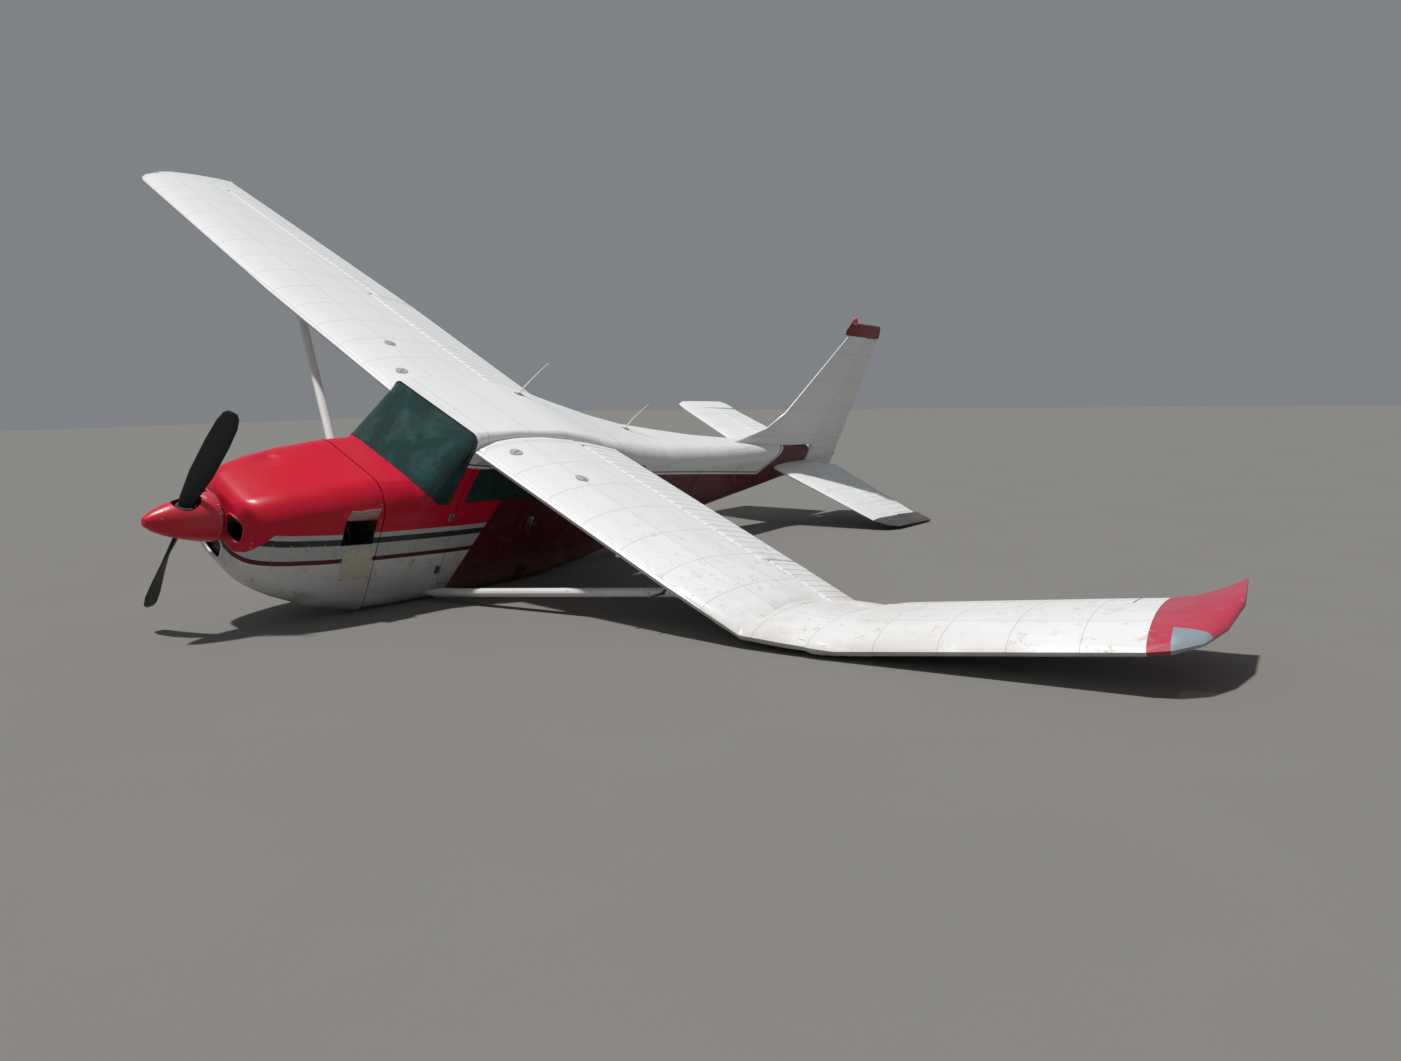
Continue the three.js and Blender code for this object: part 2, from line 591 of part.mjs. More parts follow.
// Section of a flap or aileron: a round nose about its hinge line, then the wing's own skins
function surfaceSection(surfaceChord) {
  const { share, height, half } = hingeOf(surfaceChord);
  return (span) => {
    const points = [];
    for (let i = 0; i <= NOSE_STEPS; i += 1) {
      const angle = Math.PI * (1.5 - i / NOSE_STEPS);
      points.push(wingPoint(span, share + half * Math.cos(angle), height + half * Math.sin(angle)));
    }
    const upper = WING_OUTLINE.filter(([at], i) => i <= AEROFOIL_STEPS && at > share + 0.02);
    const lower = WING_OUTLINE.filter(([at], i) => i > AEROFOIL_STEPS && at > share + 0.02);
    [...upper, ...lower].forEach(([at, level]) => points.push(wingPoint(span, at, level)));
    return points;
  };
}

// Space cut from the wing for a flap or aileron, its front wall a gap ahead of the round nose
function coveSection(surfaceChord) {
  const { share, half } = hingeOf(surfaceChord);
  return (span) => {
    const front = share - half - MOVING_GAP / chordAt(span);
    const [back, reachUp] = [1.1, 0.095];
    return [[front, reachUp], [back, reachUp], [back, -reachUp], [front, -reachUp]]
      .map(([at, level]) => wingPoint(span, at, level));
  };
}

function wingGroup(side, dihedral) {
  const group = new THREE.Group();
  group.position.set(side * (WING_ROOT_X + SEAM), WING_LE_Y, WING_Z);
  group.rotation.y = -side * degrees(dihedral);
  airframe.add(group);
  return group;
}

// Hinge line frame of a straight surface between two spans, with X out along the hinge
function hingeFrame(side, surfaceChord, from, to) {
  const { share, height } = hingeOf(surfaceChord);
  const [start, end] = [from, to].map((span) => wingPoint(span, share, height));
  for (const point of [start, end]) point.x *= side;
  const along = new THREE.Vector3().subVectors(end, start).normalize().multiplyScalar(side);
  const up = new THREE.Vector3(0, 0, 1).addScaledVector(along, -along.z).normalize();
  const back = new THREE.Vector3().crossVectors(up, along);
  return new THREE.Matrix4().makeBasis(along, back, up).setPosition(start);
}

// Hangs a surface on its hinge line, so that its node turns about its own X axis
function hungPiece(name, side, shape, surfaceChord, span, finish, parent) {
  const frame = hingeFrame(side, surfaceChord, ...span);
  const geometry = geometryOf(shape).applyMatrix4(frame.clone().invert());
  const mesh = piece(name, geometry, finish, parent);
  mesh.applyMatrix4(frame);
}

// Corner of the wing tip's leading edge that is the lens of the position lamp
const LAMP_START = 110;
const LAMP_REACH = WING_CAP + 50;
const LAMP = {
  from: WING_RIB_SPAN + LAMP_START, to: WING_RIB_SPAN + LAMP_REACH, front: -0.1, back: 0.2, half: 0.2,
};
const lampSection = (grow) => (span) => {
  const back = LAMP.back + grow / RIB_CHORD;
  return [[LAMP.front, LAMP.half], [back, LAMP.half], [back, -LAMP.half], [LAMP.front, -LAMP.half]]
    .map(([share, height]) => wingPoint(WING_RIB_SPAN, share, height).setX(span));
};

// Rounded wing tip: share of the cap's length, chord share, aft shift share, thickness share
const CAP_STATIONS = [
  [0, 1, 0, 1],
  [0.35, 0.96, 0.035, 0.93],
  [0.65, 0.86, 0.13, 0.75],
  [0.86, 0.68, 0.31, 0.52],
  [1, 0.4, 0.6, 0.28],
];
// How far the ground pushed the outer back corner of the left tip up and flattened it outwards
const TIP_BEND = { up: 112, out: 75 };
const coves = [
  { span: FLAP_SPAN, chord: FLAP_CHORD },
  { span: AILERON_SPAN, chord: AILERON_CHORD },
];
const COVE_END = MOVING_GAP;
const wingSolids = {};
for (const { side, label, dihedral, folds } of [
  { side: -1, label: 'right', dihedral: DIHEDRAL_RIGHT_DEG, folds: [] },
  { side: 1, label: 'left', dihedral: DIHEDRAL_LEFT_DEG, folds: FOLDS },
]) {
  const group = wingGroup(side, dihedral);
  const filled = spanSolid(side, 0, WING_RIB_SPAN, folds, wholeSection);
  let wing = filled.subtract(spanSolid(side, -5, WING_RIB_SPAN - WING_SKIN, folds, hollowSection));
  for (const { span, chord } of coves) {
    wing = wing.subtract(spanSolid(side, span[0] - COVE_END, span[1] + COVE_END, folds, coveSection(chord)));
  }
  piece(`wing_${label}`, mainBody(wing), PAINT_WHITE, group);
  wingSolids[label] = filled.rotate([0, -side * dihedral, 0]).translate(group.position.toArray());
  const flap = spanSolid(side, ...FLAP_SPAN, [], surfaceSection(FLAP_CHORD));
  hungPiece(`flap_${label}`, side, flap, FLAP_CHORD, FLAP_SPAN, PAINT_WHITE, group);
  const aileronSpan = [AILERON_SPAN[0] + COVE_END, AILERON_SPAN[1]];
  const aileron = spanSolid(side, ...aileronSpan, folds, surfaceSection(AILERON_CHORD));
  if (label === 'right') {
    hungPiece('aileron_right', side, aileron, AILERON_CHORD, aileronSpan, PAINT_WHITE, group);
  } else {
    piece('aileron_left', aileron, PAINT_WHITE, group);
  }
  const bend = label === 'left' ? TIP_BEND : { up: 0, out: 0 };
  const cap = solid(loft(CAP_STATIONS.map(([share, chordShare, shift, thick]) => {
    const span = WING_RIB_SPAN + SEAM + share * WING_CAP;
    return WING_OUTLINE.map(([at, level]) => {
      const point = wingPoint(WING_RIB_SPAN, shift + at * chordShare, level * thick);
      point.x = span + bend.out * share ** 2;
      point.z += bend.up * (shift + at * chordShare) * share ** 2;
      const placed = foldPoint(point, folds);
      placed.x *= side;
      return placed;
    });
  })));
  const lampSpace = (grow) => spanSolid(side, LAMP.from - grow, LAMP.to, folds, lampSection(grow));
  const tipPaint = label === 'left' ? PAINT_RED : PAINT_WHITE;
  piece(`wing_tip_${label}`, cap.subtract(lampSpace(SEAM)), tipPaint, group);
  piece(`tip_lamp_${label}`, cap.intersect(lampSpace(0)), LAMP_GLASS, group);
}

// Wing struts, from the belly corner to the underside of each wing
const STRUT = { foot: [545, 2005, -548], top: [2680, 2430, 640], chord: 84, thickness: 34 };
const STRUT_SIDES = 12;
const bodyWithSeam = fuselageBody(BODY_SECTIONS, 1800, 3400, -SEAM);
for (const { side, label } of rightAndLeft) {
  const dihedral = side > 0 ? DIHEDRAL_LEFT_DEG : DIHEDRAL_RIGHT_DEG;
  const foot = new THREE.Vector3(side * STRUT.foot[0], STRUT.foot[1], STRUT.foot[2]);
  const rise = Math.tan(degrees(dihedral)) * (STRUT.top[0] - WING_ROOT_X);
  const top = new THREE.Vector3(side * STRUT.top[0], STRUT.top[1], STRUT.top[2] + rise);
  const ring = (centre, scale) => Array.from({ length: STRUT_SIDES }, (_, i) => {
    const angle = (2 * Math.PI * i) / STRUT_SIDES;
    return new THREE.Vector3(
      centre.x - side * 0.5 * STRUT.thickness * scale * Math.sin(angle),
      centre.y + 0.5 * STRUT.chord * scale * Math.cos(angle),
      centre.z + 0.85 * STRUT.thickness * scale * Math.sin(angle),
    );
  });
  const strut = solid(loft([ring(foot, 0.6), ring(foot.clone().lerp(top, 0.05), 1),
    ring(foot.clone().lerp(top, 0.95), 1), ring(top, 0.6)]));
  piece(`strut_${label}`, strut
    .subtract(bodyWithSeam)
    .subtract(wingSolids[label].translate([0, 0, -SEAM])), PAINT_WHITE);
}

// Tail surfaces share a thin, uncambered section
const TAIL_OUTLINE = aerofoil(0.085, 0);
const FIN = { hingeY: 8078, hingeSlope: 0.30, baseZ: 335, topZ: 1780, capTopZ: 1935 };
const finHingeY = (z) => FIN.hingeY + FIN.hingeSlope * (z - FIN.baseZ) * 0.62;
// Fin sections: height, leading edge y
const FIN_SECTIONS = [[345, 5900], [430, 6450], [560, 6900], [760, 7180], [FIN.topZ, 7920]];
const RUDDER_CHORD = { base: 650, top: 300 };
const rudderChordAt = (z) => RUDDER_CHORD.base
  + ((z - FIN.baseZ) / (FIN.topZ - FIN.baseZ)) * (RUDDER_CHORD.top - RUDDER_CHORD.base);
const FIN_HALF = { base: 46, top: 26 };
const finHalfAt = (z) => FIN_HALF.base
  + ((z - FIN.baseZ) / (FIN.topZ - FIN.baseZ)) * (FIN_HALF.top - FIN_HALF.base);
function finRing(z, front, back, wall = 0) {
  const half = finHalfAt(z) - wall;
  const length = back - front;
  const outline = [[0, 0.12], [0.04, 0.5], [0.14, 0.8], [0.4, 1], [1, 0.86]];
  const leftSide = outline
    .map(([share, width]) => new THREE.Vector3(half * width, front + share * length, z));
  const rightSide = [...outline].reverse()
    .map(([share, width]) => new THREE.Vector3(-half * width, front + share * length, z));
  return [...leftSide, ...rightSide];
}
const RUDDER_NOSE = 0.86;
const finBack = (z) => finHingeY(z) - finHalfAt(z) * RUDDER_NOSE - MOVING_GAP;
const fin = solid(loft(FIN_SECTIONS.map(([z, front]) => finRing(z, front, finBack(z)))));
const tailTop = fuselageBody(BODY_SECTIONS, 5600, TAIL_END_Y + 60, -SEAM);
const finHollow = solid(loft(FIN_SECTIONS.map(([z, front], i) => finRing(
  i === 0 ? z - 5 : z - (i === FIN_SECTIONS.length - 1 ? WING_SKIN : 0),
  front + 6 * WING_SKIN,
  finBack(z) - WING_SKIN,
  WING_SKIN,
))));
piece('fin', fin.subtract(finHollow).subtract(tailTop), PAINT_WHITE);
// The cap overhangs the fin in front: height, distance ahead of the fin, distance behind the hinge line
const CAP_RINGS = [
  [FIN.topZ + SEAM, 90, rudderChordAt(FIN.topZ) - 30],
  [FIN.topZ + 60, 105, 250],
  [FIN.capTopZ, 55, 180],
];
piece('fin_cap', loft(CAP_RINGS.map(([z, ahead, behind]) => finRing(
  z, FIN_SECTIONS.at(-1)[1] - ahead, finHingeY(z) + behind))), PAINT_MAROON);

// Rudder: round nose about its hinge line, running down behind the tail cone
const RUDDER_Z = [20, FIN.topZ - MOVING_GAP];
function rudderRing(z) {
  const half = finHalfAt(z) * RUDDER_NOSE;
  const hinge = finHingeY(z);
  const back = hinge + rudderChordAt(z);
  const ring = [];
  for (let i = 0; i <= NOSE_STEPS; i += 1) {
    const angle = Math.PI * (i / NOSE_STEPS);
    ring.push(new THREE.Vector3(half * Math.cos(angle), hinge - half * Math.sin(angle), z));
  }
  ring.push(new THREE.Vector3(-4, back, z), new THREE.Vector3(4, back, z));
  return ring;
}
const rudderSolid = solid(loft([rudderRing(RUDDER_Z[0]), rudderRing(RUDDER_Z[1])]));

// Tailplane halves, each with a tip, and the elevator that joins them behind
const TAIL = { rootX: 110, tipX: 1520, endX: 1755, leY: 7130, z: 108, tipLeY: 7340 };
// How far the ground bent up the end of the left tailplane tip
const TAIL_TIP_BEND = 34;
const ELEVATOR = { hingeY: 7966, chordRoot: 575, chordTip: 445, innerX: 118, outerX: 1510 };
const tailHalfAt = (x) => 42 - 16 * ((x - TAIL.rootX) / (TAIL.tipX - TAIL.rootX));
const tailLeAt = (x) => TAIL.leY + (TAIL.tipLeY - TAIL.leY) * ((x - TAIL.rootX) / (TAIL.tipX - TAIL.rootX));
function tailRing(side, x, front, back, half, rise = 0) {
  const outline = [[0, 0.1], [0.05, 0.55], [0.18, 0.88], [0.45, 1], [1, 0.72]];
  const upper = outline.map(([share, height]) => new THREE.Vector3(
    side * x, front + share * (back - front), TAIL.z + rise + half * height));
  const lower = [...outline].reverse().map(([share, height]) => new THREE.Vector3(
    side * x, front + share * (back - front), TAIL.z + rise - half * height));
  return [...upper, ...lower];
}
const ELEVATOR_NOSE = 0.72;
const stabBack = (x) => ELEVATOR.hingeY - tailHalfAt(x) * ELEVATOR_NOSE - MOVING_GAP;
const tailBody = fuselageBody(BODY_SECTIONS, 6800, TAIL_END_Y + 60, -SEAM);
for (const { side, label } of rightAndLeft) {
  const stab = solid(loft([TAIL.rootX - 60, TAIL.tipX]
    .map((x) => tailRing(side, x, tailLeAt(x), stabBack(x), tailHalfAt(x)))));
  const stabHollow = solid(loft([TAIL.rootX - 70, TAIL.tipX - WING_SKIN].map((x) => tailRing(
    side, x, tailLeAt(x) + 4 * WING_SKIN, stabBack(x) - WING_SKIN, tailHalfAt(x) - WING_SKIN))));
  piece(`tailplane_${label}`, stab.subtract(stabHollow).subtract(tailBody), PAINT_WHITE);
  const [tipFront, tipBack] = [tailLeAt(TAIL.tipX), ELEVATOR.hingeY + 435];
  const half = tailHalfAt(TAIL.tipX);
  const rise = label === 'left' ? TAIL_TIP_BEND : 0;
  piece(`tailplane_tip_${label}`, loft([
    tailRing(side, TAIL.tipX + SEAM, tipFront, tipBack, half),
    tailRing(side, TAIL.endX - 80, tipFront + 50, tipBack, half * 0.9, rise * 0.6),
    tailRing(side, TAIL.endX, tipFront + 200, tipBack - 30, half * 0.4, rise),
  ]), label === 'left' ? PAINT_GREY : PAINT_WHITE);
}
const elevatorChordAt = (x) => ELEVATOR.chordRoot
  + ((x - ELEVATOR.innerX) / (ELEVATOR.outerX - ELEVATOR.innerX)) * (ELEVATOR.chordTip - ELEVATOR.chordRoot);
function elevatorRing(side, x) {
  const half = tailHalfAt(x) * ELEVATOR_NOSE;
  const ring = [];
  for (let i = 0; i <= NOSE_STEPS; i += 1) {
    const angle = Math.PI * (i / NOSE_STEPS);
    ring.push(new THREE.Vector3(side * x, -half * Math.sin(angle), half * Math.cos(angle)));
  }
  const back = elevatorChordAt(x);
  ring.push(new THREE.Vector3(side * x, back, -4), new THREE.Vector3(side * x, back, 4));
  return ring;
}
const elevator = new THREE.Group();
elevator.position.set(0, ELEVATOR.hingeY, TAIL.z);
airframe.add(elevator);
const ELEVATOR_CUT = 90;
const rudderRoom = solid(loft([-80, 80].map((z) => [[0, -60], [ELEVATOR.innerX, -60], [ELEVATOR.innerX, 0],
  [ELEVATOR.innerX + ELEVATOR_CUT, ELEVATOR.chordRoot + 20], [0, ELEVATOR.chordRoot + 20]]
  .map(([x, y]) => new THREE.Vector3(x, y, z)))));
const elevatorHalf = (side) => {
  const ends = [ELEVATOR.innerX, ELEVATOR.outerX - MOVING_GAP];
  const room = side > 0 ? rudderRoom : rudderRoom.mirror([1, 0, 0]);
  return solid(loft(ends.map((x) => elevatorRing(side, x)))).subtract(room);
};
const ELEVATOR_TUBE = 14;
const elevatorSolid = elevatorHalf(-1).add(elevatorHalf(1))
  .add(rod([-ELEVATOR.innerX - 40, 0, 0], [ELEVATOR.innerX + 40, 0, 0], ELEVATOR_TUBE, ELEVATOR_TUBE, 12));
piece('elevator', elevatorSolid, PAINT_WHITE, elevator);
piece('tail_cone', tailCone, PAINT_MAROON);

// The rudder hangs from the fin on its own sloping hinge line
const rudderHinge = new THREE.Group();
const rudderBase = new THREE.Vector3(0, finHingeY(RUDDER_Z[0]), RUDDER_Z[0]);
const rudderTop = new THREE.Vector3(0, finHingeY(RUDDER_Z[1]), RUDDER_Z[1]);
const rudderAxis = new THREE.Vector3().subVectors(rudderTop, rudderBase).normalize();
rudderHinge.position.copy(rudderBase);
rudderHinge.quaternion.setFromUnitVectors(new THREE.Vector3(0, 0, 1), rudderAxis);
rudderHinge.updateMatrix();
airframe.add(rudderHinge);
const rudderGeometry = geometryOf(rudderSolid).applyMatrix4(rudderHinge.matrix.clone().invert());
piece('rudder', rudderGeometry, PAINT_WHITE, rudderHinge);

// Right main gear: spring leg from the belly, axle, wheel and tyre; the left one is torn off
const LEG = { rootX: 470, rootZ: -600, width: 110, thickness: 24 };
const legPath = [
  [-LEG.rootX, WHEEL.y, LEG.rootZ - 25],
  [-LEG.rootX - 90, WHEEL.y, LEG.rootZ - 48],
  [-LEG.rootX - 240, WHEEL.y, LEG.rootZ - 150],
  [-WHEEL.x + 150, WHEEL.y, WHEEL.z + 60],
  [-WHEEL.x + 118, WHEEL.y, WHEEL.z - 30],
];
function legRing([x, y, z], i) {
  const before = legPath[Math.max(i - 1, 0)];
  const after = legPath[Math.min(i + 1, legPath.length - 1)];
  const slope = Math.atan2(after[2] - before[2], after[0] - before[0]);
  const normal = [-Math.sin(slope), Math.cos(slope)];
  const width = LEG.width - i * 9;
  const half = LEG.thickness / 2;
  return [[half, -1], [half, 1], [-half, 1], [-half, -1]].map(([out, sign]) => new THREE.Vector3(
    x + normal[0] * out, y + (sign * width) / 2, z + normal[1] * out));
}
piece('main_leg_right', solid(loft(legPath.map(legRing)))
  .subtract(bodyWithSeam)
  .add(rod([-WHEEL.x + 130, WHEEL.y, WHEEL.z], [-WHEEL.x - 62, WHEEL.y, WHEEL.z], 17, 17, 20)), BARE_METAL);
const wheel = new THREE.Group();
wheel.position.set(-WHEEL.x, WHEEL.y, WHEEL.z);
wheel.rotation.z = Math.PI / 2;
airframe.add(wheel);
// Rim and tyre profiles: radius, half width along the axle
const RIM = [[23, 60], [70, 60], [74, 40], [74, 30], [70, 22]];
const mirrored = (profile) => {
  const farSide = [...profile].reverse().map(([radius, half]) => [radius, -half]);
  return [...profile, ...farSide];
};
piece('wheel_hub_right', turned(mirrored(RIM), 32), PAINT_WHITE, wheel);
const TYRE = [[76, 38], [84, 60], [120, 76], [160, 77.5], [196, 66], [216, 40], [WHEEL.radius, 14]];
piece('tyre_right', turned(mirrored(TYRE), 40), TYRE_BLACK, wheel);

// Broken nose leg stub, exhaust and antennas
piece('nose_leg_stub', rod(NOSE_STUB.from, NOSE_STUB.to, NOSE_STUB.radius), BARE_METAL);
piece('exhaust_pipe', rod(EXHAUST.from, EXHAUST.to, EXHAUST.radius)
  .subtract(rod([-224, 1225, -690], [-236, 1265, -800], 25, 25, 16)), IRON);
const ANTENNAS = [
  { label: 'front', foot: [-300, 3210, 824], bend: [-310, 3330, 960], top: [-320, 3480, 1110] },
  { label: 'back', foot: [-120, 4560, 552], bend: [-120, 4640, 660], top: [-125, 4800, 800] },
];
for (const { label, foot, bend, top } of ANTENNAS) {
  piece(`antenna_${label}`, rod(foot, bend, 7, 5, 8).add(rod(bend, top, 5, 3, 8))
    .add(rod([foot[0], foot[1], foot[2] - 6], [foot[0], foot[1], foot[2] + 14], 22, 14, 12)), PAINT_WHITE);
}

// The airframe leans over, and its box stands centred on the ground
airframe.rotation.set(-degrees(NOSE_UP_DEG), degrees(BANK_DEG), 0);
const aircraft = new THREE.Group();
aircraft.add(airframe);
aircraft.updateMatrixWorld(true);
const bounds = new THREE.Box3().setFromObject(aircraft, true);
airframe.position.set(
  -(bounds.min.x + bounds.max.x) / 2,
  -(bounds.min.y + bounds.max.y) / 2,
  -bounds.min.z,
);

export default aircraft;
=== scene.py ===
import json
import math

import bmesh
import bpy
from bpy.props import FloatProperty, FloatVectorProperty, IntProperty, PointerProperty
from mathutils import Euler, Matrix, Quaternion, Vector, noise
from mathutils.bvhtree import BVHTree

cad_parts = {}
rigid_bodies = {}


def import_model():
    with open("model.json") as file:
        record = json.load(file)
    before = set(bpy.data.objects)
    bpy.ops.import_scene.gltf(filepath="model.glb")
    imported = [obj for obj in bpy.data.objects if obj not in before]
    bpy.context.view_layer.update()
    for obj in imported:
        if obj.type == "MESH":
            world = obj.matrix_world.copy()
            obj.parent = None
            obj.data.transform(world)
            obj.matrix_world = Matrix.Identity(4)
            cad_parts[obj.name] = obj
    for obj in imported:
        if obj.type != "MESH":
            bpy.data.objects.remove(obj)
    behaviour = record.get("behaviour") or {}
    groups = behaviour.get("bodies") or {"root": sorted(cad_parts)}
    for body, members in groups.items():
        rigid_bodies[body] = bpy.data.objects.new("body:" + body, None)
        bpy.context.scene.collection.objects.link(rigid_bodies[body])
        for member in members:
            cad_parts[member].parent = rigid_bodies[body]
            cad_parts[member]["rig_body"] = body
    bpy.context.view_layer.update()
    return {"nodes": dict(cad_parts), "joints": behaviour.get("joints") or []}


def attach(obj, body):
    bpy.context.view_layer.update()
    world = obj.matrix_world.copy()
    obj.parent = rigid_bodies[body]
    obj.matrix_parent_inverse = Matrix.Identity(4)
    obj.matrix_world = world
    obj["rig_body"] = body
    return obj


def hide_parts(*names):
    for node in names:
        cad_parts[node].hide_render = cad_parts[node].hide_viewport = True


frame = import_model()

bl_info = {
    "name": "Wrecked High-Wing Aircraft",
    "version": (1, 0, 0),
    "blender": (4, 5, 0),
    "location": "View3D > Sidebar > Aircraft",
    "description": "Finishes a crashed four-seat light aircraft and its stage",
    "category": "Add Mesh",
}

# The airframe stands upright in its own frame, in metres: X to its left, Y aft, Z up, from the spinner tip
PROPELLER_STATION = 0.270
JOINTS = {joint["name"]: joint for joint in frame["joints"]}


def airframe_place():
    """Matrix from the upright airframe to the place where the aircraft lies."""
    aft = Vector(JOINTS["propeller_spin"]["axis"]).normalized()
    left = -Vector(JOINTS["elevator_hinge"]["axis"]).normalized()
    up = left.cross(aft)
    tip = Vector(JOINTS["propeller_spin"]["pos_m"]) - PROPELLER_STATION * aft
    return Matrix.Translation(tip) @ Matrix((left, aft, up)).transposed().to_4x4()


TO_GROUND = airframe_place()
TO_AIRFRAME = TO_GROUND.inverted()
SIDES = {"right": -1, "left": 1}

# Fuselage stations
FIREWALL = 1.450
CABIN_END = 4.750
HATCH = {"front": 1.150, "back": 1.400, "top": 0.165, "bottom": -0.040}

# Wing: root station, leading edge, straight-wing spans of the folds with their upward and aft turns
WING_ROOT = Vector((0.570, 2.090, 0.702))
DIHEDRAL = {"right": 2.7, "left": 0.88}
RIB_SPAN = 4.950
ROOT_CHORD = 1.580
TIP_CHORD = 1.130
TAPER_SPAN = 2.040
TIP_SWEEP = 0.115
WASHOUT = 4.0
FOLDS = ({"span": 2.670, "up": 21.7, "aft": 3.0}, {"span": 3.120, "up": 8.7, "aft": 3.4})
FOLD_AXIS = 0.4
OUTER_TWIST = 2.4


# Selecting and shaping

def deselect():
    if bpy.context.object and bpy.context.object.mode != "OBJECT":
        bpy.ops.object.mode_set(mode="OBJECT")
    bpy.ops.object.select_all(action="DESELECT")


def pick(*objects):
    """Selects these objects alone, the first of them active."""
    deselect()
    for item in objects:
        item.select_set(True)
    bpy.context.view_layer.objects.active = objects[0]
    return objects[0]


class Editing:
    """Edit mode on one object, with ways to select its elements by place or normal."""

    def __init__(self, piece, kind="FACE"):
        self.piece = piece
        self.kind = kind

    def __enter__(self):
        pick(self.piece)
        bpy.ops.object.mode_set(mode="EDIT")
        bpy.ops.mesh.select_mode(type=self.kind)
        bpy.ops.mesh.select_all(action="SELECT")
        return self

    def __exit__(self, *problem):
        bpy.ops.object.mode_set(mode="OBJECT")

    def choose(self, test):
        """Selects the faces, edges or corners that pass the test, and returns how many there are."""
        bpy.ops.mesh.select_all(action="DESELECT")
        mesh = bmesh.from_edit_mesh(self.piece.data)
        found = {"FACE": mesh.faces, "EDGE": mesh.edges, "VERT": mesh.verts}[self.kind]
        chosen = [item for item in found if test(item)]
        for item in chosen:
            item.select_set(True)
        mesh.select_flush_mode()
        bmesh.update_edit_mesh(self.piece.data)
        return len(chosen)


def settle(piece):
    """Puts the piece's place, turn and scale into its mesh."""
    pick(piece)
    bpy.ops.object.transform_apply(location=True, rotation=True, scale=True)
    return piece


def apply_modifier(piece, kind, **settings):
    pick(piece)
    bpy.ops.object.modifier_add(type=kind)
    modifier = piece.modifiers[-1]
    for name, value in settings.items():
        setattr(modifier, name, value)
    bpy.ops.object.modifier_apply(modifier=modifier.name)
    return piece


def bevel(piece, width, segments=2, angle=35):
    """Rounds the edges that are sharper than the angle."""
    return apply_modifier(piece, "BEVEL", width=width, segments=segments,
                          limit_method="ANGLE", angle_limit=math.radians(angle))


def cube(centre, size, turn=(0, 0, 0), rounding=0.0, segments=2):
    bpy.ops.mesh.primitive_cube_add(size=1, location=centre, rotation=turn)
    piece = bpy.context.object
    piece.scale = size
    settle(piece)
    if rounding:
        bevel(piece, rounding, segments)
    return piece


def rod(start, end, radius, end_radius=None, sides=20, rounding=0.0):
    """Round bar or cone between two points."""
    start, end = Vector(start), Vector(end)
    along = end - start
    turn = along.to_track_quat("Z", "Y").to_euler()
    bpy.ops.mesh.primitive_cone_add(vertices=sides, radius1=radius, depth=along.length,
                                    radius2=radius if end_radius is None else end_radius,
                                    location=(start + end) / 2, rotation=turn)
    piece = settle(bpy.context.object)
    if rounding:
        bevel(piece, rounding, 2)
    return piece


def edge_mesh(points, closed=False):
    """Open or closed chain of edges through points."""
    mesh = bpy.data.meshes.new("chain")
    edges = [(i, i + 1) for i in range(len(points) - 1)]
    if closed:
        edges.append((len(points) - 1, 0))
    mesh.from_pydata([tuple(point) for point in points], edges, [])
    piece = bpy.data.objects.new("chain", mesh)
    bpy.context.collection.objects.link(piece)
    return piece


def spun(profile, centre, axis, sides=32):
    """Turned shape: a closed profile of (radius, height) corners spun about an axis."""
    centre, axis = Vector(centre), Vector(axis).normalized()
    out = axis.orthogonal().normalized()
    piece = edge_mesh([centre + out * radius + axis * height for radius, height in profile], closed=True)
    with Editing(piece, "VERT"):
        bpy.ops.mesh.spin(steps=sides, angle=2 * math.pi, center=centre, axis=axis)
        bpy.ops.mesh.select_all(action="SELECT")
        bpy.ops.mesh.remove_doubles(threshold=0.00002)
        bpy.ops.mesh.normals_make_consistent(inside=False)
    return piece


def pipe(points, radius, sides=3, closed=False, smooth=True):
    """Round pipe, hose or wire along points, as a mesh."""
    curve = bpy.data.curves.new("pipe", "CURVE")
    curve.dimensions = "3D"
    curve.bevel_depth = radius
    curve.bevel_resolution = sides
    curve.resolution_u = 6 if smooth else 1
    curve.use_fill_caps = not closed
    spline = curve.splines.new("BEZIER" if smooth else "POLY")
    if smooth:
        spline.bezier_points.add(len(points) - 1)
        for knot, point in zip(spline.bezier_points, points):
            knot.co = point
            knot.handle_left_type = knot.handle_right_type = "AUTO"
    else:
        spline.points.add(len(points) - 1)
        for knot, point in zip(spline.points, points):
            knot.co = (*point, 1)
    spline.use_cyclic_u = closed
    piece = bpy.data.objects.new("pipe", curve)
    bpy.context.collection.objects.link(piece)
    pick(piece)
    bpy.ops.object.convert(target="MESH")
    return bpy.context.object


def joined(pieces, name=None):
    pieces = [piece for piece in pieces if piece]
    pick(*pieces)
    if len(pieces) > 1:
        bpy.ops.object.join()
    if name:
        pieces[0].name = name
    return pieces[0]


def copy_of(piece, matrix=None):
    """Copy with its own mesh, moved by a matrix."""
    twin = bpy.data.objects.new(piece.name + "_copy", piece.data.copy())
    bpy.context.collection.objects.link(twin)
    if matrix is not None:
        twin.data.transform(matrix)
        if matrix.determinant() < 0:
            twin.data.flip_normals()
    return twin


def mirrored(piece):
    return copy_of(piece, Matrix.Scale(-1, 4, (1, 0, 0)))


def upright(node):
    """Merged copy of a CAD node, in the upright airframe."""
    mesh = frame["nodes"][node].data.copy()
    mesh.transform(TO_AIRFRAME)
    mesh.materials.clear()
    piece = bpy.data.objects.new(node + "_skin", mesh)
    bpy.context.collection.objects.link(piece)
    pick(piece)
    if mesh.has_custom_normals:
        bpy.ops.mesh.customdata_custom_splitnormals_clear()
    with Editing(piece, "VERT"):
        bpy.ops.mesh.remove_doubles(threshold=0.0001)
        bpy.ops.mesh.mark_sharp(clear=True)
    return piece


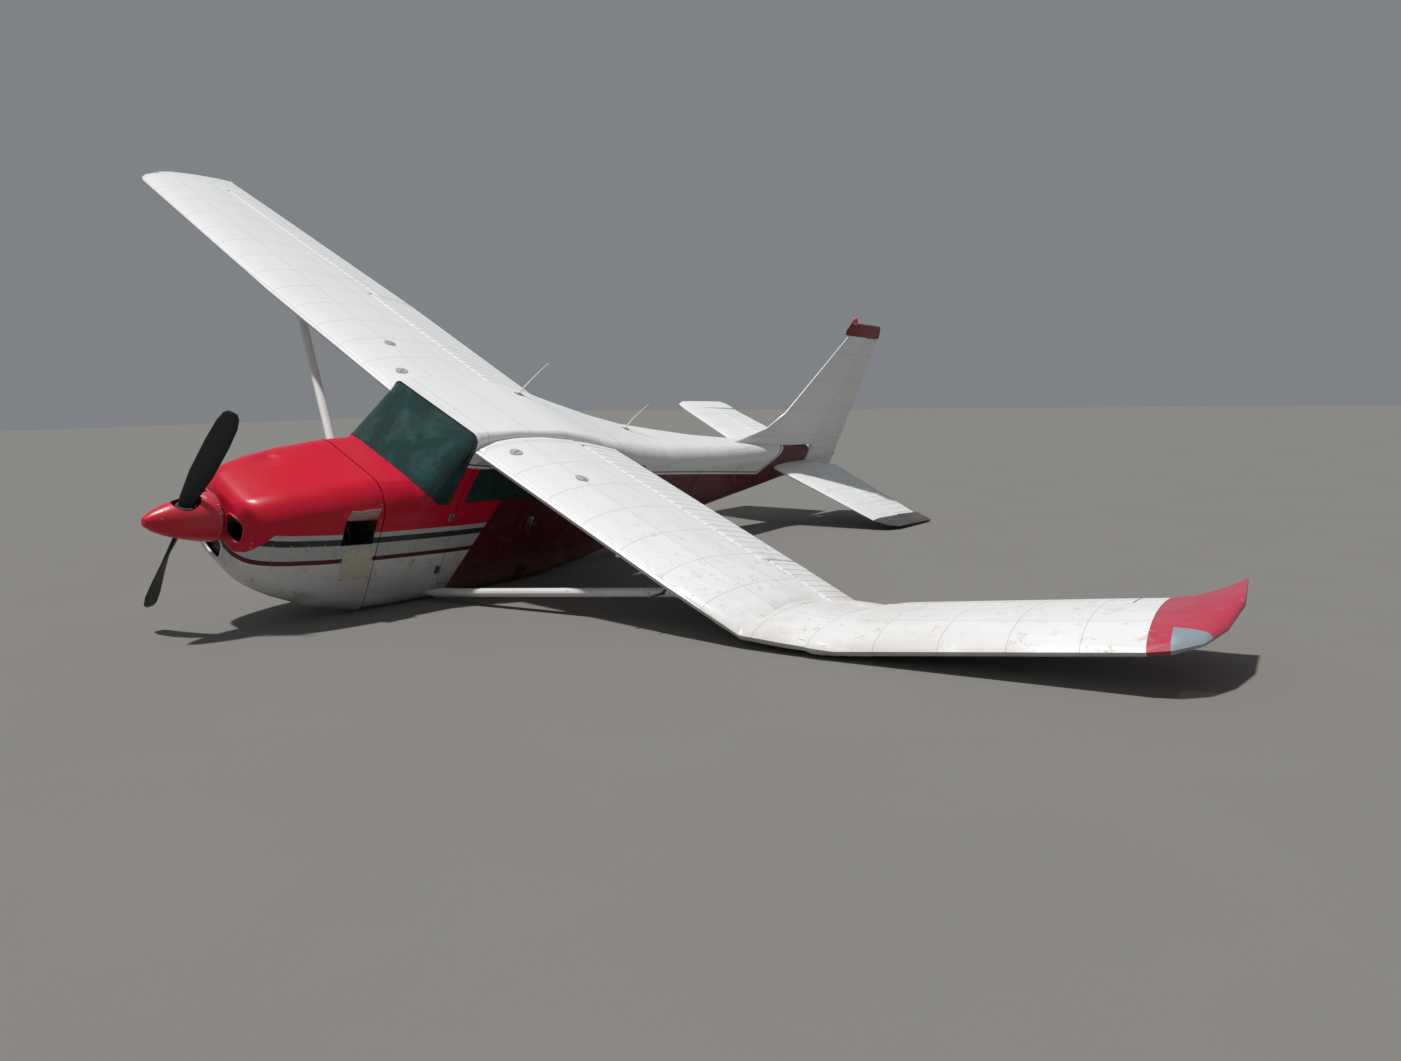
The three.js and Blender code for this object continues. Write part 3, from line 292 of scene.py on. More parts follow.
def crack(piece, points, normal):
    """Cuts new edges where planes cross the piece, so that it can bend there."""
    with Editing(piece, "VERT"):
        for point in points:
            bpy.ops.mesh.select_all(action="SELECT")
            bpy.ops.mesh.bisect(plane_co=point, plane_no=normal)
    return piece


SURFACES = {}


def surface(node):
    """Tree of a CAD node's faces in the upright airframe, for finding points on its skin."""
    if node not in SURFACES:
        mesh = frame["nodes"][node].data
        corners = [TO_AIRFRAME @ corner.co for corner in mesh.vertices]
        SURFACES[node] = BVHTree.FromPolygons(corners, [list(face.vertices) for face in mesh.polygons])
    return SURFACES[node]


def on_skin(node, start, direction):
    """Where a ray from outside meets a node's skin: the point and the outward normal there."""
    place, normal, _, _ = surface(node).ray_cast(Vector(start), Vector(direction).normalized())
    if place is None:
        raise RuntimeError(f"nothing of {node} lies beyond {tuple(start)}")
    if normal.dot(Vector(direction)) > 0:
        normal = -normal
    return place, normal


def extent(node):
    """Lowest and highest corner of a CAD node in the upright airframe."""
    corners = [TO_AIRFRAME @ corner.co for corner in frame["nodes"][node].data.vertices]
    return (Vector([min(c[i] for c in corners) for i in range(3)]),
            Vector([max(c[i] for c in corners) for i in range(3)]))


def stamped(template, places):
    """One piece with a copy of the template at each (point, normal), its Z along the normal."""
    source = template.data
    corners, faces = [], []
    for point, normal in places:
        matrix = Matrix.Translation(point) @ Vector(normal).to_track_quat("Z", "Y").to_matrix().to_4x4()
        base = len(corners)
        corners += [matrix @ corner.co for corner in source.vertices]
        faces += [[base + i for i in face.vertices] for face in source.polygons]
    mesh = bpy.data.meshes.new("stamps")
    mesh.from_pydata(corners, [], faces)
    piece = bpy.data.objects.new("stamps", mesh)
    bpy.context.collection.objects.link(piece)
    bpy.data.objects.remove(template)
    return piece


def body_of(node):
    return frame["nodes"][node]["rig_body"]


def dress(piece, name, body, finish, angle=32, outward=True):
    """Finishes a piece: outward normals, smooth shading, finish, place on the ground and body."""
    settle(piece)
    piece.name = name
    piece.data.name = name
    if outward:
        with Editing(piece):
            bpy.ops.mesh.normals_make_consistent(inside=False)
    pick(piece)
    bpy.ops.object.shade_smooth_by_angle(angle=math.radians(angle))
    piece.data.materials.clear()
    piece.data.materials.append(finish)
    piece.data.transform(TO_GROUND)
    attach(piece, body)
    return piece


def reskin(node, finish, angle=32, shape=None):
    """Smooth skin that stands for a CAD node, shaped first where it is dented."""
    piece = upright(node)
    if shape:
        shape(piece)
    dress(piece, node + "_skin", body_of(node), finish, angle, outward=False)
    apply_modifier(piece, "WEIGHTED_NORMAL", keep_sharp=True, weight=60)
    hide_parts(node)
    return piece


# Straight-wing coordinates, so that ribs and rivets follow a folded wing

def chord_at(span):
    return ROOT_CHORD - (ROOT_CHORD - TIP_CHORD) * taper_share(span)


def taper_share(span):
    return max(0.0, span - TAPER_SPAN) / (RIB_SPAN - TAPER_SPAN)


def fold_turn(fold, last):
    turn = (Matrix.Rotation(-math.radians(fold["up"]), 3, "Y")
            @ Matrix.Rotation(math.radians(fold["aft"]), 3, "Z"))
    if last:
        turn = turn @ Matrix.Rotation(math.radians(OUTER_TWIST), 3, "X")
    return turn


def fold_pivot(fold):
    span = fold["span"]
    twist = math.radians(1 - WASHOUT * taper_share(span))
    along = FOLD_AXIS * chord_at(span)
    return Vector((span, TIP_SWEEP * taper_share(span) + along * math.cos(twist), -along * math.sin(twist)))


def wing_tilt(side):
    return Matrix.Rotation(-SIDES[side] * math.radians(DIHEDRAL[side]), 3, "Y")


def plan_of(side, point):
    """Span, distance behind the root's leading edge and height of a wing point before it folded."""
    sign = SIDES[side]
    local = wing_tilt(side).inverted() @ (point - Vector((sign * WING_ROOT.x, WING_ROOT.y, WING_ROOT.z)))
    local.x *= sign
    if side == "left":
        for i, fold in enumerate(FOLDS):
            pivot = fold_pivot(fold)
            back = fold_turn(fold, i == len(FOLDS) - 1).inverted() @ (local - pivot) + pivot
            if back.x > fold["span"]:
                local = back
    return local


def wing_place(side, span, share, height=0.0):
    """Place on the wing for a span, a share of the chord and a height above the chord line."""
    local = Vector((span, TIP_SWEEP * taper_share(span) + share * chord_at(span), height))
    if side == "left":
        for i, fold in reversed(list(enumerate(FOLDS))):
            if span > fold["span"]:
                pivot = fold_pivot(fold)
                local = fold_turn(fold, i == len(FOLDS) - 1) @ (local - pivot) + pivot
    local.x *= SIDES[side]
    return wing_tilt(side) @ local + Vector((SIDES[side] * WING_ROOT.x, WING_ROOT.y, WING_ROOT.z))


def write_plan(piece, side):
    """Keeps each corner's straight-wing coordinates on the mesh for its paint."""
    attribute = piece.data.attributes.new("plan", "FLOAT_VECTOR", "POINT")
    for corner in piece.data.vertices:
        attribute.data[corner.index].vector = plan_of(side, corner.co)


# Finishes

def linear(red, green, blue):
    """Linear colour from one read in a picture, each part from 0 to 255."""
    return tuple((part / 255) ** 2.2 for part in (red, green, blue)) + (1.0,)


WHITE = (0.82, 0.83, 0.84, 1.0)
OFF_WHITE = (0.60, 0.59, 0.56, 1.0)
RED = (0.60, 0.005, 0.028, 1.0)
MAROON = (0.110, 0.010, 0.018, 1.0)
# White paint darkened to grey: painted shade on the side band of the nose
WHITE_IN_PAINTED_SHADE = (0.50, 0.52, 0.50, 1.0)
DARK_GREY = (0.035, 0.038, 0.040, 1.0)
BARE = (0.52, 0.52, 0.53, 1.0)
DUST = (0.26, 0.18, 0.115, 1.0)
SOOT = (0.014, 0.013, 0.012, 1.0)
PRIMER = (0.17, 0.18, 0.10, 1.0)
LINING = (0.34, 0.30, 0.24, 1.0)


# Distance between rivets along a seam
RIVET_PITCH = 0.030


class Finish:
    """Node tree of one material, with short calls for the nodes that the finishes share."""

    def __init__(self, name, **sockets):
        self.material = bpy.data.materials.new(name)
        self.material.use_nodes = True
        self.tree = self.material.node_tree
        self.shader = next(node for node in self.tree.nodes if node.type == "BSDF_PRINCIPLED")
        self.known = {}
        for socket, value in sockets.items():
            self.shader.inputs[socket.replace("_", " ")].default_value = value

    def feed(self, socket, value):
        if isinstance(value, bpy.types.NodeSocket):
            self.tree.links.new(value, socket)
        elif value is not None:
            socket.default_value = value

    def node(self, kind, inputs=None, output=0, **settings):
        made = self.tree.nodes.new("ShaderNode" + kind)
        for name, value in settings.items():
            setattr(made, name, value)
        for name, value in (inputs or {}).items():
            self.feed(made.inputs[name], value)
        return made.outputs[output]

    def math(self, operation, *values):
        return self.node("Math", dict(enumerate(values)), operation=operation)

    def set(self, socket, value):
        self.feed(self.shader.inputs[socket], value)

    def ground_place(self):
        if "ground" not in self.known:
            self.known["ground"] = self.node("TexCoord", output="Object")
        return self.known["ground"]

    def place(self):
        """Place in the upright airframe."""
        if "place" not in self.known:
            self.known["place"] = self.node("Mapping", {
                "Vector": self.ground_place(), "Location": TO_GROUND.translation,
                "Rotation": TO_GROUND.to_euler(), "Scale": (1, 1, 1)}, vector_type="TEXTURE")
        return self.known["place"]

    def plan(self):
        if "plan" not in self.known:
            self.known["plan"] = self.node("Attribute", output="Vector", attribute_name="plan")
        return self.known["plan"]

    def split(self, vector):
        parts = self.tree.nodes.new("ShaderNodeSeparateXYZ")
        self.feed(parts.inputs[0], vector)
        return tuple(parts.outputs)

    def mix(self, share, first, second):
        made = self.tree.nodes.new("ShaderNodeMix")
        made.data_type = "RGBA"
        for index, value in ((0, share), (6, first), (7, second)):
            self.feed(made.inputs[index], value)
        return made.outputs[2]

    def above(self, value, edge, soft=0.002):
        """1 where the value is above the edge, 0 below."""
        return self.node("MapRange", {"Value": value, "From Min": edge - soft, "From Max": edge + soft},
                         interpolation_type="SMOOTHSTEP")

    def below(self, value, edge, soft=0.002):
        return self.math("SUBTRACT", 1.0, self.above(value, edge, soft))

    def between(self, value, low, high, soft=0.002):
        return self.math("MULTIPLY", self.above(value, low, soft), self.below(value, high, soft))

    def noise(self, scale, detail=4.0, rough=0.55, vector=None, warp=0.0):
        return self.node("TexNoise", {"Vector": vector or self.place(), "Scale": scale, "Detail": detail,
                                      "Roughness": rough, "Distortion": warp})

    def seams(self, across, along, pitch, offset):
        """Seam lines a pitch apart, with a rivet row beside each: (seam share, rivet share)."""
        gap = self.math("PINGPONG", self.math("SUBTRACT", across, offset), pitch / 2)
        seam = self.below(gap, 0.0014, 0.0008)
        side = self.math("SUBTRACT", gap, 0.011)
        step = self.math("PINGPONG", along, RIVET_PITCH / 2)
        spread = self.math("SQRT", self.math("ADD", self.math("MULTIPLY", side, side),
                                             self.math("MULTIPLY", step, step)))
        return seam, self.below(spread, 0.0030, 0.0008)

    def bump(self, height, distance):
        self.set("Normal", self.node("Bump", {"Height": height, "Distance": distance, "Strength": 1.0}))

    def dents(self, places):
        """Round dents at places of the airframe, each with its radius: 1 at a middle, 0 outside."""
        deepest = 0.0
        for *middle, radius in places:
            gap = self.node("VectorMath", {0: self.place(), 1: tuple(middle)}, output="Value",
                            operation="DISTANCE")
            bowl = self.node("MapRange", {"Value": gap, "From Max": radius, "To Min": 1.0, "To Max": 0.0},
                             interpolation_type="SMOOTHERSTEP")
            deepest = self.math("MAXIMUM", bowl, deepest)
        return deepest

    def weather(self, colour, dirt=0.5, gloss=(0.30, 0.5), seam=None, heights=(), fade=0.07):
        """Fades and dirties a paint: dust towards the ground, grime in the seams, worn gloss and a bump."""
        patches = self.noise(2.3, 5)
        speckle = self.noise(46, 3, 0.7)
        faded = self.mix(self.math("MULTIPLY", self.above(patches, 0.55, 0.18), fade), colour, OFF_WHITE)
        if seam is not None:
            faded = self.mix(self.math("MULTIPLY", seam, 0.40), faded, SOOT)
        height = self.split(self.ground_place())[2]
        low = self.math("MULTIPLY", self.below(height, 0.16, 0.22), self.above(patches, 0.40, 0.16))
        splashes = self.math("MULTIPLY", self.above(self.noise(11, 6, 0.75), 0.60, 0.06),
                             self.below(height, 0.55, 0.45))
        dust = self.math("MAXIMUM", low, splashes)
        self.set("Base Color", self.mix(self.math("MULTIPLY", dust, dirt), faded, DUST))
        rough = self.math("MAXIMUM", self.math("MULTIPLY", dust, 0.85),
                          self.math("MULTIPLY_ADD", speckle, 0.12, 0.0))
        self.set("Roughness",
                 self.node("MapRange", {"Value": rough, "To Min": gloss[0], "To Max": gloss[1] + 0.3}))
        total = self.math("MULTIPLY", self.noise(3.1, 1), 1.1)
        for share, level in heights:
            total = self.math("MULTIPLY_ADD", share, level, total)
        self.bump(total, BUMP_HEIGHT)
        return self.material


BUMP_HEIGHT = 0.0032
# Bands of the fuselage paint, between two heights; the pale band is white paint greyed as painted shade
BANDS = {"pale": (-0.142, 0.060), "dark": (-0.030, 0.020), "maroon": (-0.180, -0.142)}
RED_EDGE = 0.060
# The red's lower edge drops towards the nose, ahead of this station and by this slope
NOSE_DROP = {"from": 0.68, "slope": 1.15}
# Dents in the body: place in the airframe and radius
BODY_DENTS = (
    (0.47, 0.98, -0.50, 0.13), (0.44, 4.35, 0.02, 0.24), (0.33, 5.45, 0.10, 0.20),
    (0.24, 6.30, 0.12, 0.16), (-0.45, 4.10, 0.10, 0.20), (-0.28, 5.90, 0.20, 0.18),
    (0.54, 3.45, -0.34, 0.16),
    (-0.20, 0.90, 0.33, 0.14), (0.30, 1.62, -0.66, 0.20),
)


def fuselage_paint():
    """Red nose over white with two pinstripes and a band of painted shade, maroon sides aft under a white
    roof.
    """
    paint = Finish("fuselage paint", Coat_Weight=0.08, Coat_Roughness=0.15, Specular_IOR_Level=0.22)
    x, y, z = paint.split(paint.place())
    white, red, maroon = colour("white"), colour("red"), colour("maroon")
    front = white
    # The white band along the nose side is painted grey here as painted shade
    front = paint.mix(paint.between(z, *BANDS["pale"]), front, WHITE_IN_PAINTED_SHADE)
    front = paint.mix(paint.between(z, *BANDS["dark"]), front, DARK_GREY)
    # Below z -0.18 the white is mixed a little with the dust colour: dust on the belly, and painted shade on
    # the lower cowl
    front = paint.mix(paint.math("MULTIPLY", paint.below(z, -0.18, 0.01), 0.22), front, DUST)
    front = paint.mix(paint.between(z, *BANDS["maroon"]), front, maroon)
    ahead = paint.math("MULTIPLY_ADD", y, -NOSE_DROP["slope"], NOSE_DROP["slope"] * NOSE_DROP["from"])
    nose_drop = paint.math("MAXIMUM", ahead, 0.0)
    front = paint.mix(paint.above(paint.math("ADD", z, nose_drop), RED_EDGE), front, red)
    behind = paint.above(paint.math("MULTIPLY_ADD", z, -0.44, y), 2.394, 0.003)
    sides = paint.mix(behind, front, maroon)
    roof_line = paint.math("MULTIPLY_ADD", y, 0.108, z)
    tail_rise = paint.math("MAXIMUM", paint.math("MULTIPLY_ADD", y, 0.62, -6.75 * 0.62), 0.0)
    over = paint.math("SUBTRACT", roof_line, tail_rise)
    skin = paint.mix(paint.above(over, 0.793, 0.002), sides, white)
    skin = paint.mix(paint.between(over, 0.815, 0.827), skin, DARK_GREY)
    lining = paint.mix(paint.between(y, FIREWALL, CABIN_END - 0.06), PRIMER, LINING)
    inside = paint.node("Attribute", output="Fac", attribute_name="inside")
    around = paint.math("MULTIPLY", paint.math("ARCTAN2", paint.math("SUBTRACT", z, 0.1), x), 0.5)
    aft = paint.above(y, FIREWALL + 0.02)
    frames, frame_rivets = paint.seams(y, around, 0.425, offset=CABIN_END)
    stringers, stringer_rivets = paint.seams(z, y, 0.27, offset=0.11)
    seam = paint.math("MULTIPLY", paint.math("MAXIMUM", frames, paint.math("MULTIPLY", stringers, 0.6)), aft)
    rivet = paint.math("MULTIPLY", paint.math("MAXIMUM", frame_rivets, stringer_rivets), aft)
    skin = paint.mix(inside, skin, lining)
    depth = -size("dent_depth") / BUMP_HEIGHT
    heights = ((seam, -0.45), (rivet, 0.30), (paint.dents(BODY_DENTS), depth))
    return paint.weather(skin, 0.55, seam=seam, heights=heights, fade=0.015)


def wing_paint(name, tint=WHITE, beads=0.0):
    """White sheet metal whose ribs and rivets follow the wing, with beads on moving surfaces."""
    paint = Finish(name, Coat_Weight=0.10, Coat_Roughness=0.2, Specular_IOR_Level=0.35)
    span, along, _ = paint.split(paint.plan())
    ribs, rib_rivets = paint.seams(span, along, 0.38, offset=0.07)
    spars, spar_rivets = paint.seams(along, span, 0.40, offset=0.02)
    seam = paint.math("MAXIMUM", ribs, spars)
    rivet = paint.math("MAXIMUM", rib_rivets, spar_rivets)
    heights = [(seam, -0.35), (rivet, 0.30)]
    if beads:
        ridge = paint.math("PINGPONG", span, beads / 2)
        heights.append((paint.above(ridge, beads * 0.36, beads * 0.14), 2.2))
    crumple = paint.math("MULTIPLY",
                         paint.between(span, FOLDS[0]["span"] - 0.12, FOLDS[1]["span"] + 0.2, 0.15),
                         paint.noise(5.5, 3, 0.5, warp=1.2))
    left = paint.above(paint.split(paint.place())[0], 0.0)
    heights.append((paint.math("MULTIPLY", crumple, left), 2.2))
    worn = paint.math("MULTIPLY", paint.above(paint.noise(7, 6, 0.8), 0.66, 0.03), 0.5)
    colour = paint.mix(worn, tint, OFF_WHITE)
    return paint.weather(colour, 0.45, gloss=(0.38, 0.55), seam=seam, heights=heights)


TAIL_SEAM_PITCH = 0.36


def tail_paint(name, tint, axis, beads=0.0):
    """Paint of a tail surface, its ribs across one axis of the airframe."""
    paint = Finish(name, Coat_Weight=0.1, Coat_Roughness=0.2, Specular_IOR_Level=0.35)
    parts = paint.split(paint.place())
    seam, rivet = paint.seams(parts[axis], parts[1], TAIL_SEAM_PITCH, offset=0.115)
    heights = [(seam, -0.35), (rivet, 0.30)]
    if beads:
        ridge = paint.math("PINGPONG", parts[axis], beads / 2)
        heights.append((paint.above(ridge, beads * 0.36, beads * 0.14), 2.2))
    return paint.weather(tint, 0.3, seam=seam, heights=heights, fade=0.03)


def plain_paint(name, tint, scuffs=0.3, under=BARE, gloss=(0.30, 0.5), dirt=0.5):
    """Gloss paint without seams, scuffed through to what lies under it."""
    paint = Finish(name, Coat_Weight=0.1, Coat_Roughness=0.2, Specular_IOR_Level=0.35)
    scrape = paint.above(paint.noise(9, 7, 0.82, warp=0.6), 0.68 - 0.12 * scuffs, 0.025)
    colour = paint.mix(paint.math("MULTIPLY", scrape, scuffs * 2), tint, under)
    return paint.weather(colour, dirt, gloss=gloss, heights=((scrape, -0.2),))


def bare_metal(name, tint=BARE, rough=(0.28, 0.55), grain=140.0, stain=SOOT):
    """Bare metal with a fine grain and stains."""
    metal = Finish(name, Metallic=0.9)
    fine = metal.noise(grain, 2, 0.6)
    stains = metal.above(metal.noise(14, 6, 0.7), 0.54, 0.10)
    metal.set("Base Color", metal.mix(metal.math("MULTIPLY", stains, 0.65), tint, stain))
    metal.set("Roughness", metal.node("MapRange", {"Value": fine, "To Min": rough[0], "To Max": rough[1]}))
    metal.bump(metal.math("ADD", fine, metal.math("MULTIPLY", stains, 0.8)), 0.0007)
    return metal.material


def glass(name, tint, alpha=0.55):
    """Tinted clear plastic, faintly hazed."""
    clear = Finish(name, Alpha=alpha, IOR=1.49, Specular_IOR_Level=0.6)
    haze = clear.noise(5.5, 5, 0.6, warp=0.4)
    clear.set("Base Color",
              clear.mix(clear.above(haze, 0.56, 0.12), tint, tuple(part * 1.7 for part in tint[:3]) + (1,)))
    clear.set("Roughness", clear.node("MapRange", {"Value": haze, "To Min": 0.04, "To Max": 0.14}))
    clear.bump(clear.noise(2.2, 1), 0.0012)
    return clear.material


RUBBER_BLACK = (0.016, 0.016, 0.017, 1.0)


def rubber(name):
    """Black rubber, chalky with dust in patches."""
    black = Finish(name, Roughness=0.8, Specular_IOR_Level=0.3)
    chalk = black.above(black.noise(18, 6, 0.75), 0.55, 0.12)
    black.set("Base Color",
              black.mix(black.math("MULTIPLY", chalk, 0.35), RUBBER_BLACK, (0.11, 0.095, 0.075, 1)))
    black.bump(black.noise(240, 2), 0.0005)
    return black.material


def plastic(name, tint, rough=0.55, grain=320.0):
    """Moulded plastic or trim with a fine leather grain."""
    trim = Finish(name, Roughness=rough)
    cells = trim.node("TexVoronoi", {"Vector": trim.place(), "Scale": grain}, feature="F1")
    wear = trim.above(trim.noise(6, 5, 0.6), 0.56, 0.14)
    trim.set("Base Color",
             trim.mix(trim.math("MULTIPLY", wear, 0.25), tint, tuple(p * 0.45 for p in tint[:3]) + (1,)))
    trim.bump(cells, 0.0006)
    return trim.material


def seat_cloth(name, tint, thread):
    """Woven seat cloth with ribs in two thread colours, faded in patches."""
    cloth = Finish(name, Roughness=0.92, Sheen_Weight=0.4, Sheen_Roughness=0.5, Specular_IOR_Level=0.2)
    x, y, z = cloth.split(cloth.place())
    warp = cloth.math("SINE", cloth.math("MULTIPLY", x, 2400.0))
    weft = cloth.math("SINE", cloth.math("MULTIPLY", cloth.math("ADD", y, z), 2400.0))
    weave = cloth.math("MULTIPLY", warp, weft)
    rib = cloth.above(cloth.math("PINGPONG", x, 0.015), 0.011, 0.002)
    fade = cloth.above(cloth.noise(4, 4), 0.5, 0.2)
    colour = cloth.mix(cloth.math("MULTIPLY_ADD", weave, 0.2, 0.25), tint, thread)
    colour = cloth.mix(cloth.math("MULTIPLY", rib, 0.45), colour, thread)
    colour = cloth.mix(cloth.math("MULTIPLY", fade, 0.2), colour, (0.20, 0.14, 0.11, 1))
    cloth.set("Base Color", colour)
    cloth.bump(cloth.math("MULTIPLY_ADD", rib, 0.8, weave), 0.0010)
    return cloth.material


def prop_paint():
    """Satin black, chipped to bare metal in patches out along the blades and scraped at the bent ends."""
    paint = Finish("propeller paint", Specular_IOR_Level=0.35)
    x, _, z = paint.split(paint.place())
    radius = paint.math("SQRT",
                        paint.math("ADD", paint.math("MULTIPLY", x, x), paint.math("MULTIPLY", z, z)))
    chips = paint.above(paint.noise(34, 7, 0.8), 0.66, 0.02)
    ends = paint.above(paint.math("MULTIPLY_ADD", paint.noise(20, 5, 0.8), 0.22, radius), 0.94, 0.03)
    worn = paint.math("MAXIMUM", paint.math("MULTIPLY", chips, paint.above(radius, 0.35, 0.3)), ends)
    paint.set("Base Color",
              paint.mix(paint.math("MULTIPLY", worn, 0.75), (0.010, 0.010, 0.011, 1), (0.19, 0.17, 0.15, 1)))
    paint.set("Roughness",
              paint.node("MapRange", {"Value": paint.noise(30, 3), "To Min": 0.38, "To Max": 0.62}))
    paint.bump(paint.math("MULTIPLY", worn, -1.0), 0.0008)
    return paint.material


# What a user would change

def tint(name, description, default):
    return FloatVectorProperty(name=name, description=description, subtype="COLOR", size=4, min=0, max=1,
                               default=default)


class AircraftColours(bpy.types.PropertyGroup):
    """Paint, glass and trim colours"""
    white: tint("White", "Wings, roof, tail and lower cowl", WHITE)
    red: tint("Red", "Nose, spinner and left wing tip", RED)
    maroon: tint("Maroon", "Sides behind the door line, and fin cap", MAROON)
    tips: tint("Tailplane tips", "Moulded tips of the tailplane", (0.050, 0.050, 0.053, 1))
    glass: tint("Glass", "Tinted windows", (0.024, 0.069, 0.067, 1))
    seats: tint("Seats", "Ground colour of the seat cloth", (0.12, 0.055, 0.040, 1))


class AircraftSizes(bpy.types.PropertyGroup):
    """Sizes of the fittings"""
    gasket: FloatProperty(name="Gasket", description="Thickness of the rubber round a window",
                          default=0.010, min=0.004, max=0.020, unit="LENGTH")
    dent_depth: FloatProperty(name="Dent depth", description="Deepest dent in the skins",
                              default=0.020, min=0.0, max=0.030, unit="LENGTH")
    fold_depth: FloatProperty(name="Fold depth", description="Height of the creases in the folded wing",
                              default=0.017, min=0.0, max=0.040, unit="LENGTH")
    tread_depth: FloatProperty(name="Tread depth", description="Depth of the grooves round the tyre",
                               default=0.007, min=0.0, max=0.012, unit="LENGTH")
    cushion_rise: FloatProperty(name="Cushion rise", description="How far a seat cushion may swell",
                                default=0.024, min=0.005, max=0.030, unit="LENGTH")


class AircraftStage(bpy.types.PropertyGroup):
    """Floor, light and camera"""
    sun_strength: FloatProperty(name="Key strength", description="Strength of the key light",
                                default=3.2, min=0)
    sun_softness: FloatProperty(name="Key softness", description="Apparent size of the key light",
                                subtype="ANGLE", default=math.radians(3))
    sky_strength: FloatProperty(name="Fill strength", description="Strength of the light all round",
                                default=0.24, min=0)
    floor: tint("Floor", "Colour of the floor", (0.215, 0.209, 0.198, 1))
    lens: FloatProperty(name="Lens", description="Focal length on a 36 mm frame", default=25.67, min=5,
                        unit="CAMERA")
    roll: FloatProperty(name="Roll", description="Turn of the camera about its view line",
                        subtype="ANGLE", default=math.radians(-1.108))
    spot: FloatVectorProperty(name="Camera spot", description="Camera's place in the upright airframe",
                              subtype="TRANSLATION", size=3, default=(5.884, -2.884, 3.506))
    aim: FloatVectorProperty(name="Camera aim", description="Point that the camera looks at",
                             subtype="TRANSLATION", size=3, default=(2.628, 2.225, 1.149))


def colour(name):
    return tuple(getattr(bpy.context.scene.aircraft_colours, name))


def size(name):
    return getattr(bpy.context.scene.aircraft_sizes, name)


# Stage

KEY_DIRECTION = Vector((-0.135, -0.200, 0.970))
FLOOR_SIZE = 140.0


def lay_floor(look):
    bpy.ops.mesh.primitive_plane_add(size=FLOOR_SIZE, location=(0, 0, 0))
    floor = bpy.context.object
    floor.name = "floor"
    with Editing(floor):
        bpy.ops.mesh.subdivide(number_cuts=3)
    ground = Finish("floor", Roughness=0.9, Specular_IOR_Level=0.2)
    tone = tuple(look.floor)
    drift = ground.noise(0.8, 4, vector=ground.ground_place())
    ground.set("Base Color", ground.mix(drift, tone, tuple(part * 0.94 for part in tone[:3]) + (1,)))
    floor.data.materials.append(ground.material)


def hang_lights(look):
    bpy.ops.object.light_add(type="SUN", location=KEY_DIRECTION * 20)
    key = bpy.context.object
    key.name = "key_light"
    key.rotation_euler = KEY_DIRECTION.to_track_quat("Z", "Y").to_euler()
    key.data.energy = look.sun_strength
    key.data.angle = look.sun_softness
    key.data.color = (1.0, 0.98, 0.95)
    world = bpy.data.worlds.new("studio")
    world.use_nodes = True
    shade = world.node_tree.nodes["Background"]
    shade.inputs["Color"].default_value = (0.90, 0.94, 1.0, 1)
    shade.inputs["Strength"].default_value = look.sky_strength
    bpy.context.scene.world = world


def set_camera(look):
    spot = TO_GROUND @ Vector(look.spot)
    aim = TO_GROUND @ Vector(look.aim)
    bpy.ops.object.camera_add(location=spot)
    camera = bpy.context.object
    camera.name = "camera"
    turn = (aim - spot).to_track_quat("-Z", "Y") @ Quaternion((0, 0, 1), look.roll)
    camera.rotation_euler = turn.to_euler()
    camera.data.sensor_width = 36
    camera.data.lens = look.lens
    camera.data.clip_end = 300
    bpy.context.scene.camera = camera


class AIRCRAFT_OT_stage(bpy.types.Operator):
    """Lays the pale floor, hangs the lights and sets the camera at the photograph's angle"""
    bl_idname = "aircraft.stage"
    bl_label = "Stage"

    def execute(self, context):
        look = context.scene.aircraft_stage
        lay_floor(look)
        hang_lights(look)
        set_camera(look)
        context.scene.view_settings.view_transform = "Standard"
        return {"FINISHED"}


# Skins

MADE = {}


def finish(name):
    """The finish of that name, made when it is first asked for."""
    if name not in MADE:
        MADE[name] = FINISHES[name]()
    return MADE[name]


